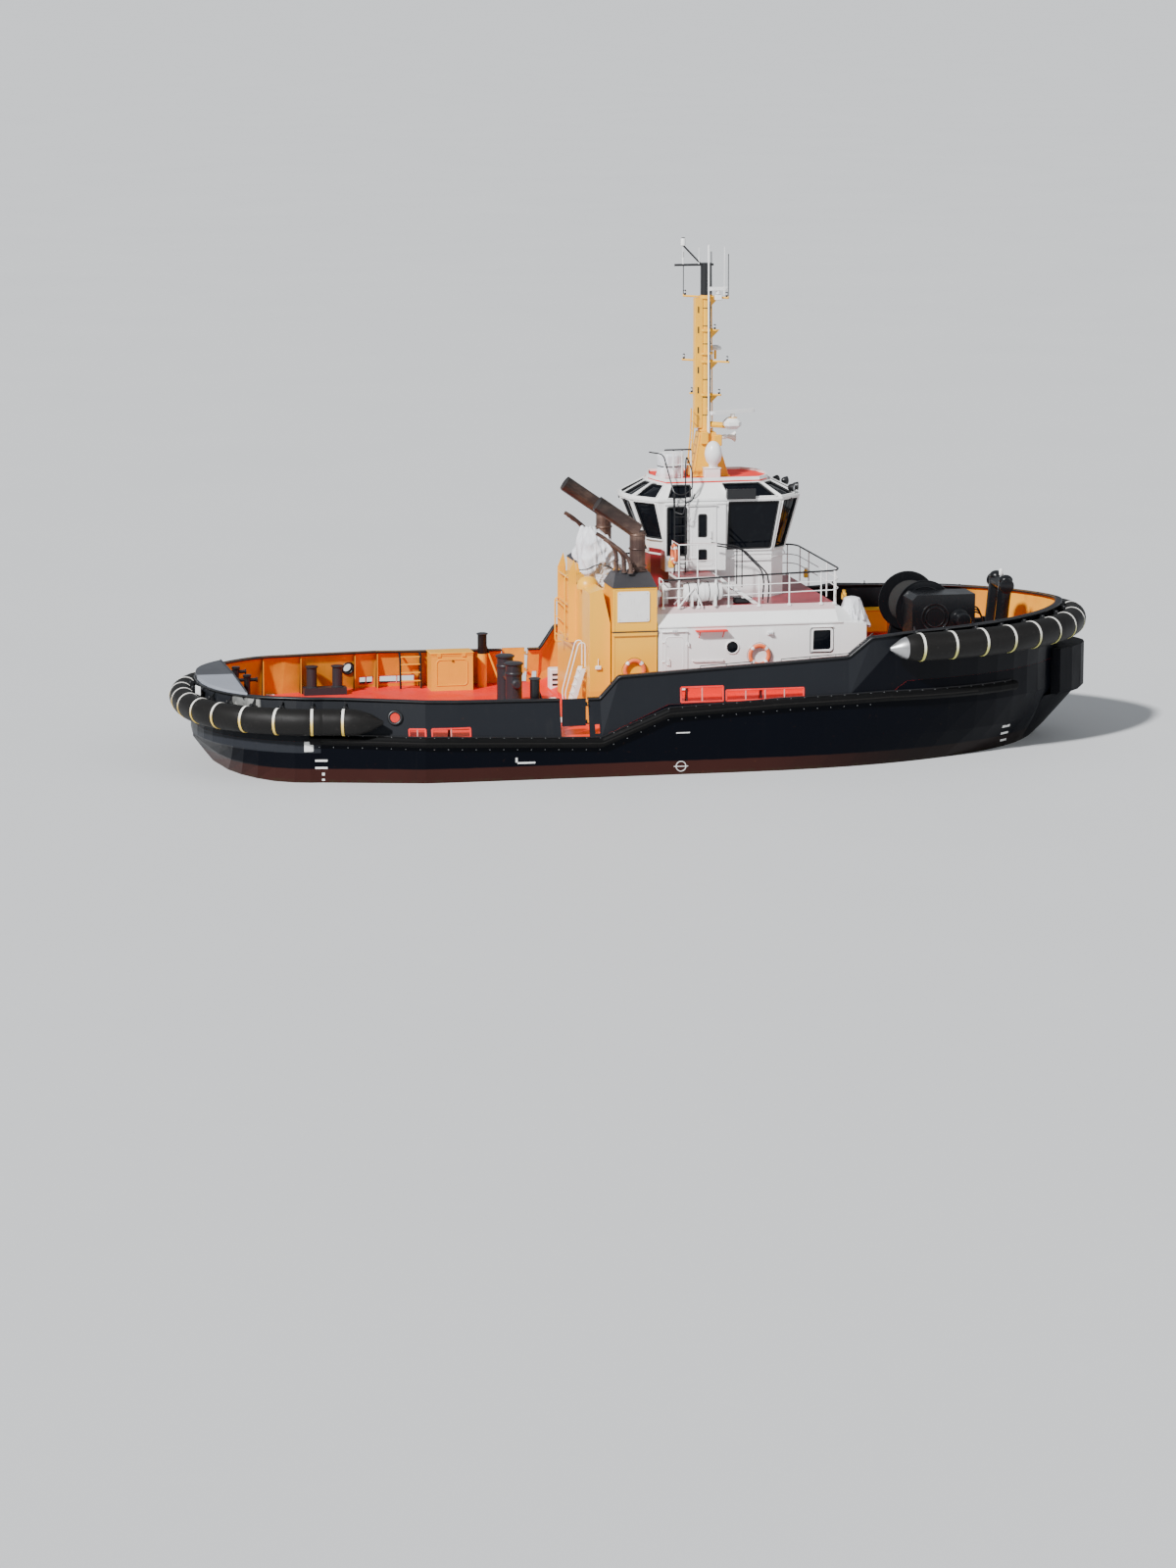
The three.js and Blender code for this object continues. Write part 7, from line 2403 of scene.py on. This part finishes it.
@dataclass
class ForeDeck:
    """The bow winch and the staple.

    Attributes:
        x: Place of the drum's axis.
        z: Its height.
        drum: Radius of the drum.
        flange: Radius of its flanges.
        half: Half of the drum's length.
        rope: Radius of the rope.
    """

    x: float = 8.98
    z: float = 4.15
    drum: float = 0.56
    flange: float = 0.93
    half: float = 1.05
    rope: float = 0.034

    def winding(self) -> None:
        """Makes the rope on the drum: two layers of touching turns, each a helix with a slow ripple."""
        coils = []
        for layer, (start, stop) in enumerate(((-0.9, 0.9), (-0.82, 0.74))):
            turns = int((stop - start) / (2 * self.rope * 1.03))
            t = np.linspace(0, 2 * math.pi * turns, turns * 30)
            reach = self.drum + self.rope * (1 + 1.8 * layer) + 0.006 * np.sin(t * 0.2) ** 2
            path = np.stack(
                [self.x + reach * np.cos(t), start + (stop - start) * t / t[-1], self.z + reach * np.sin(t)],
                1
            )
            coils.append(carry(path, circle(self.rope, 8), (0, 1, 0)))
        make_piece("winch_rope", coils, HAWSER, Body.WINCH_DRUM)

    def flanges(self) -> None:
        """Makes the rings of the flanges, which turn with the drum, and the fixed cheeks' ribs and bolts."""
        parts, bolts = [], []
        for y in (-self.half + 0.005, self.half - 0.005):
            parts += [
                ring_of(r, 0.02, (self.x, y, self.z), "Y", 64, 8) for r in (self.flange - 0.015, 0.72, 0.5)
            ]
        make_piece("winch_flange_rims", parts, BLACK_GLOSS, Body.WINCH_DRUM)
        cheeks = []
        for sign in (-1, 1):
            y = sign * 1.21
            for r, tube in ((0.3, 0.03), (0.2, 0.025)):
                cheeks.append(ring_of(r, tube, (self.x, y, self.z), "Y", 44, 8))
            for a in np.arange(10) * math.pi / 5:
                place = (self.x + 0.25 * math.cos(a), y, self.z + 0.25 * math.sin(a))
                bolts.append(turning([(0, -0.03), (0.022, -0.026), (0.022, 0.026), (0, 0.03)], place, "Y", 6))
            for dx in (-0.42, 0.42):
                foot = (self.x + dx * 1.5, y + sign * 0.02, 2.7)
                top = (self.x + dx * 0.62, y + sign * 0.02, 4.2)
                cheeks.append(pipe([foot, top], 0.045, 10))
            cheeks.append(block((self.x - 0.72, y - 0.03, 2.79), (self.x + 0.72, y + 0.05, 2.87), 0.01))
        make_piece("winch_cheek_ribs", cheeks, BLACK_GLOSS)
        make_piece("winch_bolts", bolts, BRIGHT_STEEL)

    def gearbox(self) -> None:
        """Makes the motor, brake cover, pipes and flanges on the gearbox."""
        parts = [
            turning(
                [(0, -0.62), (0.2, -0.6), (0.24, -0.55), (0.24, -0.1), (0.3, -0.08), (0.3, 0.0)],
                (9.75, -2.3, 4.05), "Y", 32
            ),
            turning(
                [(0, 0), (0.2, 0.01), (0.22, 0.05), (0.22, 0.4), (0.26, 0.42), (0.26, 0.46)],
                (10.26, -1.75, 3.75), "X", 32
            ),
            ring_of(0.42, 0.03, (8.98, -2.3, 4.1), "Y", 48, 8),
            ring_of(0.3, 0.022, (8.98, -2.3, 4.1), "Y", 40, 8),
        ]
        bolt, count = [(0.022, -0.02), (0.022, 0.02), (0, 0.025)], 9
        for k in range(count):
            a = k * 2 * math.pi / count
            parts.append(turning(bolt, (8.98 + 0.36 * math.cos(a), -2.31, 4.1 + 0.36 * math.sin(a)), "Y", 6))
        make_piece("winch_motor", parts, BLACK_GLOSS)
        hoses = []
        for dy, z, reach in ((0.0, 4.1, 0.0), (0.12, 4.0, 0.06), (0.24, 3.9, 0.12)):
            rising = [(10.1, -2.1 + dy, z + 0.2), (10.4 + reach, -2.1 + dy, z + 0.3)]
            falling = [(10.7 + reach, -1.95 + dy, 3.6), (10.65 + reach, -1.7 + dy, 2.63)]
            hoses.append(pipe([*rising, *falling], 0.028, 10, 0.25))
        make_piece("winch_pipes", hoses, BLACK_SMALL)

    def staple(self) -> None:
        """Makes the glossy heads, weld collars and lamp of the staple."""
        parts = []
        for y in (-0.52, 0.52):
            parts.append(turning(
                np.vstack([[(0.215, 0.0), (0.225, 0.02)], dome_profile(0.225, 0.17, 8, 0.04)]),
                (11.75, y, 4.89), "Z", 36
            ))
            parts.append(ring_of(0.232, 0.02, (11.505, y, 2.66), "Z", 36, 8))
        for y in (-0.74, 0.74):
            parts.append(turning(
                [(0, -0.03), (0.2, -0.02), (0.235, 0.0), (0.235, 0.03), (0.2, 0.05), (0, 0.06)],
                (11.73, y, 4.77), "Y", 32
            ))
        make_piece("staple_heads", parts, BLACK_GLOSS)
        lamp = gather(
            turning(
                [(0.05, 0), (0.06, 0.02), (0.06, 0.16), (0.04, 0.2), (0, 0.21)], (11.74, 0.0, 5.02), "Z", 20
            ),
            pipe([(11.74, 0, 4.95), (11.74, 0, 5.04)], 0.025)
        )
        make_piece("staple_lamp", lamp, WHITE_SMALL)

    def deck_gear(self) -> None:
        """Makes the vents, the hatch and the rope locker on the fore deck."""
        parts = []
        for x, y in ((7.7, -3.6), (7.7, 3.6), (10.9, 2.6)):
            parts.append(turning(
                [(0.14, 0), (0.14, 0.42), (0.24, 0.44), (0.25, 0.56), (0.2, 0.63), (0, 0.66)],
                (x, y, 2.602), "Z", 28
            ))
        parts.append(turning(
            [(0.36, 0), (0.36, 0.22), (0.39, 0.24), (0.39, 0.3), (0.3, 0.34), (0, 0.36)],
            (11.0, -2.4, 2.602), "Z", 32
        ))
        parts.append(block((6.75, 2.2, 2.17), (7.2, 3.2, 2.9), 0.03))
        make_piece("fore_deck_vents", parts, LOCKER_OCHRE)
        chest = gather(
            block((8.3, 3.7, 2.74), (9.03, 4.3, 3.42), 0.02),
            block((8.28, 3.68, 3.42), (9.05, 4.32, 3.46), 0.01)
        )
        make_piece("fore_deck_chest", chest, LOCKER_OCHRE)

    def build(self) -> None:
        """Makes the winch's and the staple's gear."""
        self.winding()
        self.flanges()
        self.gearbox()
        self.staple()
        self.deck_gear()


@dataclass
class HullSides:
    """Marks, the knee, the handrails and the shore connections on the hull's sides.

    Attributes:
        proud: How far the marks stand out of the plating.
    """

    proud: float = 0.006

    def __post_init__(self) -> None:
        """Prepares the hull's faces for rays."""
        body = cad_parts["hull"].data
        self.plating = BVHTree.FromPolygons(
            [v.co for v in body.vertices], [p.vertices for p in body.polygons]
        )

    def place(self, x: float, z: float) -> Vector3:
        """Returns the point of the hull's starboard side at a place, found by a ray from outside."""
        hit = self.plating.ray_cast((x, -9.0, z), (0, 1, 0))[0]
        return (x, hit.y if hit else -5.2, z)

    def mark(self, x0: float, x1: float, z0: float, z1: float) -> Shape:
        """Returns a thin mark whose corners lie on the side."""
        corners = np.array([self.place(x0, z0), self.place(x1, z0), self.place(x1, z1), self.place(x0, z1)])
        return panel(corners, 0.02, self.proud)

    def knee(self) -> None:
        """Makes the knee under the stem block.

        The plating there lies at x = 12.655 + 0.655 z - 0.36 |y| - 0.078 y^2; the knee stands before it by
        depth (1 - (|y| / half)^1.5) and reaches a little into it.
        """
        half, foot, head, root = 1.85, -0.12, 1.446, 0.12
        y = np.linspace(-half, half, 41)[:, None]
        z = np.linspace(foot, head, 12)[None, :]
        plating = 12.655 + 0.655 * z - 0.36 * np.abs(y) - 0.078 * y**2
        depth = np.interp(z, (foot, 0.3, head), (0.16, 0.36, 0.7)) * (1 - (np.abs(y) / (half + 0.01)) ** 1.5)
        front = np.stack(np.broadcast_arrays(plating + depth, y, z), -1)
        rear = np.stack(np.broadcast_arrays(plating - root, y, z), -1)[:, ::-1]
        make_piece("stem_knee", skin(np.concatenate([front, rear], 1)), STEM_BLACK)

    def rail(self) -> None:
        """Makes the thin handrail along the fore bulwark's top on its short posts."""
        x = np.array([0.9, 1.7, 2.5, 3.4, 4.3, 5.1, 5.5, 5.85, 6.25])
        z = table_at(FORE_TOP, x)
        line = np.stack([x, np.full(x.size, -5.14), z + 0.075], 1)
        parts = [pipe(line[:3], 0.013, 8, 0.05), pipe(line[3:], 0.013, 8, 0.05)]
        parts += [pipe([row, row - (0, 0, 0.085)], 0.011, 6) for row in line]
        make_pair("bulwark_handrails", parts, BLACK_SMALL)

    def build(self) -> None:
        """Makes the marks on the sides, the knee, the handrails and the shore connection's box."""
        self.rail()
        marks = [self.mark(*row) for row in (
            (-4.78, -4.72, 0.5, 0.69), (-4.78, -4.18, 0.5, 0.55), (0.15, 0.57, 1.26, 1.29),
            (0.08, 0.52, 0.24, 0.26),
            (-10.72, -10.36, 0.64, 0.7), (-10.72, -10.36, 0.42, 0.48), (-10.52, -10.44, 0.22, 0.3),
            (-10.52, -10.44, 0.06, 0.12),
            (10.95, 11.25, 0.7, 0.78), (10.95, 11.25, 0.46, 0.53), (11.0, 11.25, 0.2, 0.27),
        )]
        x, y, z = self.place(0.3, 0.25)
        marks.append(ring_of(0.15, 0.012, (x, y, z), "Y", 40, 6))
        make_pair("hull_marks", marks, MARK_WHITE)
        self.knee()
        x, y, z = self.place(-10.9, 1.1)
        make_piece(
            "shore_connection",
            both_sides(block((x - 0.14, y - 0.03, z - 0.16), (x + 0.14, y + 0.2, z + 0.16), 0.012)),
            MARK_WHITE
        )


# The studio


@dataclass
class Studio:
    """Camera, lights and floor.

    Attributes:
        eye: Place of the camera.
        right: The picture's rightward direction.
        up: Its upward direction.
        lens: Focal length for a long side of 36 mm.
    """

    eye: Vector3 = (-31.21, -147.26, 26.93)
    right: Vector3 = (0.98027, -0.19766, 0.0)
    up: Vector3 = (0.03636, 0.18032, 0.98294)
    lens: float = 112.5

    def camera(self) -> None:
        """Makes the camera, looking along up x right."""
        data = bpy.data.cameras.new("photo_camera")
        data.lens = self.lens
        data.sensor_width = 36.0
        data.sensor_fit = "AUTO"
        data.clip_start = 1.0
        data.clip_end = 3000.0
        right, up = np.array(self.right), np.array(self.up)
        back = np.cross(right, up)
        turn = np.stack([right, up, back], 1)
        eye = bpy.data.objects.new("photo_camera", data)
        eye.matrix_world = Matrix.Translation(self.eye) @ Matrix(turn.tolist()).to_4x4()
        bpy.context.scene.collection.objects.link(eye)
        bpy.context.scene.camera = eye

    def floor(self) -> None:
        """Makes the pale floor at the waterline: a wide disc."""
        sides, radius = 96, 900
        angle = 2 * math.pi * np.arange(sides) / sides
        rim = np.stack([radius * np.cos(angle), radius * np.sin(angle), np.zeros(sides)], 1)
        mesh = bpy.data.meshes.new("floor")
        mesh.from_pydata(rim.tolist(), [], [list(range(sides))])
        floor = bpy.data.objects.new("floor", mesh)
        tree = Tree("pale_floor")
        tree.weather(
            (0.62, 0.63, 0.64),
            Wear(roughness=0.6, drift=0.03, runs=0.0, specks=0.0, grain=0.0, dents=0.0, scale=0.2)
        )
        mesh.materials.append(tree.material)
        bpy.context.scene.collection.objects.link(floor)

    def lights(self) -> None:
        """Makes the soft sky and two broad lamps: one from ahead on starboard and one from behind."""
        world = bpy.data.worlds.new("studio")
        world.use_nodes = True
        world.node_tree.nodes["Background"].inputs["Color"].default_value = (0.82, 0.87, 0.93, 1)
        world.node_tree.nodes["Background"].inputs["Strength"].default_value = 0.4
        bpy.context.scene.world = world
        for name, energy, angle, turn in (("key", 6.6, 4, (51, 0, -47)), ("fill", 0.6, 40, (60, 0, 60))):
            lamp = bpy.data.lights.new(name, "SUN")
            lamp.energy = energy
            lamp.angle = math.radians(angle)
            holder = bpy.data.objects.new(name, lamp)
            holder.rotation_euler = tuple(math.radians(a) for a in turn)
            bpy.context.scene.collection.objects.link(holder)

    def build(self) -> None:
        """Makes the studio."""
        self.camera()
        self.floor()
        self.lights()


def sided(*names: str) -> list[str]:
    """Returns each name with either side at its end."""
    return [f"{name}_{side}" for name in names for side in ("starboard", "port")]


FINISHED_NODES: tuple[tuple[Finish, list[str]], ...] = (
    (HULL_PAINT, ["hull", "skeg"]),
    (BULWARK_PAINT, ["bulwark_aft", "bulwark_fore", *sided("bulwark_gate")]),
    (STERN_CAP_GREY_PORT_SHADED, ["stern_cap"]),
    (FENDER_RUBBER, ["fender_stern", "fender_bow"]),
    (SIDE_RUBBER, sided("fender_side")),
    (STEM_BLACK, ["fender_stem"]),
    (UNDERWATER_RED, sided("drive")),
    (BRONZE_CAST, sided("propeller")),
    (HOUSE_PAINT, ["deckhouse"]),
    (WHITE_PAINT, sided("deckhouse_door", "wheelhouse_door")),
    (WINDOW_GLASS, sided("deckhouse_glass")),
    (AFT_WALL_PAINT, ["aft_house"]),
    (CASING_PAINT, [*sided("casing"), "vent_trunk_starboard", "fin_plates"]),
    (EXHAUST_STEEL, sided("casing_cap")),
    (CANVAS, ["covered_gear", "roof_monitor"]),
    (BASE_PAINT, ["wheelhouse_base"]),
    (CABIN_PAINT, ["wheelhouse_cabin"]),
    (DECK_PAINT, ["wheelhouse_roof"]),
    (PLATFORM_PAINT, sided("platform")),
    (MAST_PAINT, ["mast"]),
    (WHITE_PLASTIC, ["radar_scanner_low", "radar_scanner_high"]),
    (BASKET_PAINT, ["roof_rails"]),
    (BLACK_GLOSS, ["winch_frame", "winch_drum", "towing_staple"]),
    (FITTING_GREY, ["towing_bitt", *sided("bollard_aft")]),
    (SIDE_POST, sided("side_post")),
    (LOCKER_OCHRE, ["locker_port"]),
)


def main() -> None:
    """Builds the studio, dresses the CAD nodes and adds the fittings, one sub-assembly after another."""
    logging.basicConfig(level=logging.INFO, format="%(message)s")
    Studio().build()
    for finish, nodes in FINISHED_NODES:
        for node in nodes:
            dress(node, finish)
    RoundFender("bow", True, 0.43, 3.69, 6.6, 0.635, 0.489, 17, STRAP_BOW, 0.1, lead=1.46).build()
    RoundFender("stern", False, 0.40, 1.88, -8.7, 0.69, 0.262, 15, STRAP_STERN, -0.16).build()
    for part in (
        SideFenders(), Bulwarks(), AftDeck(), Casings(), Deckhouse(), BoatDeck(), Wheelhouse(), RoofGear(),
        MastHead(), ForeDeck(), HullSides(),
    ):
        part.build()


if __name__ == "__main__":
    main()
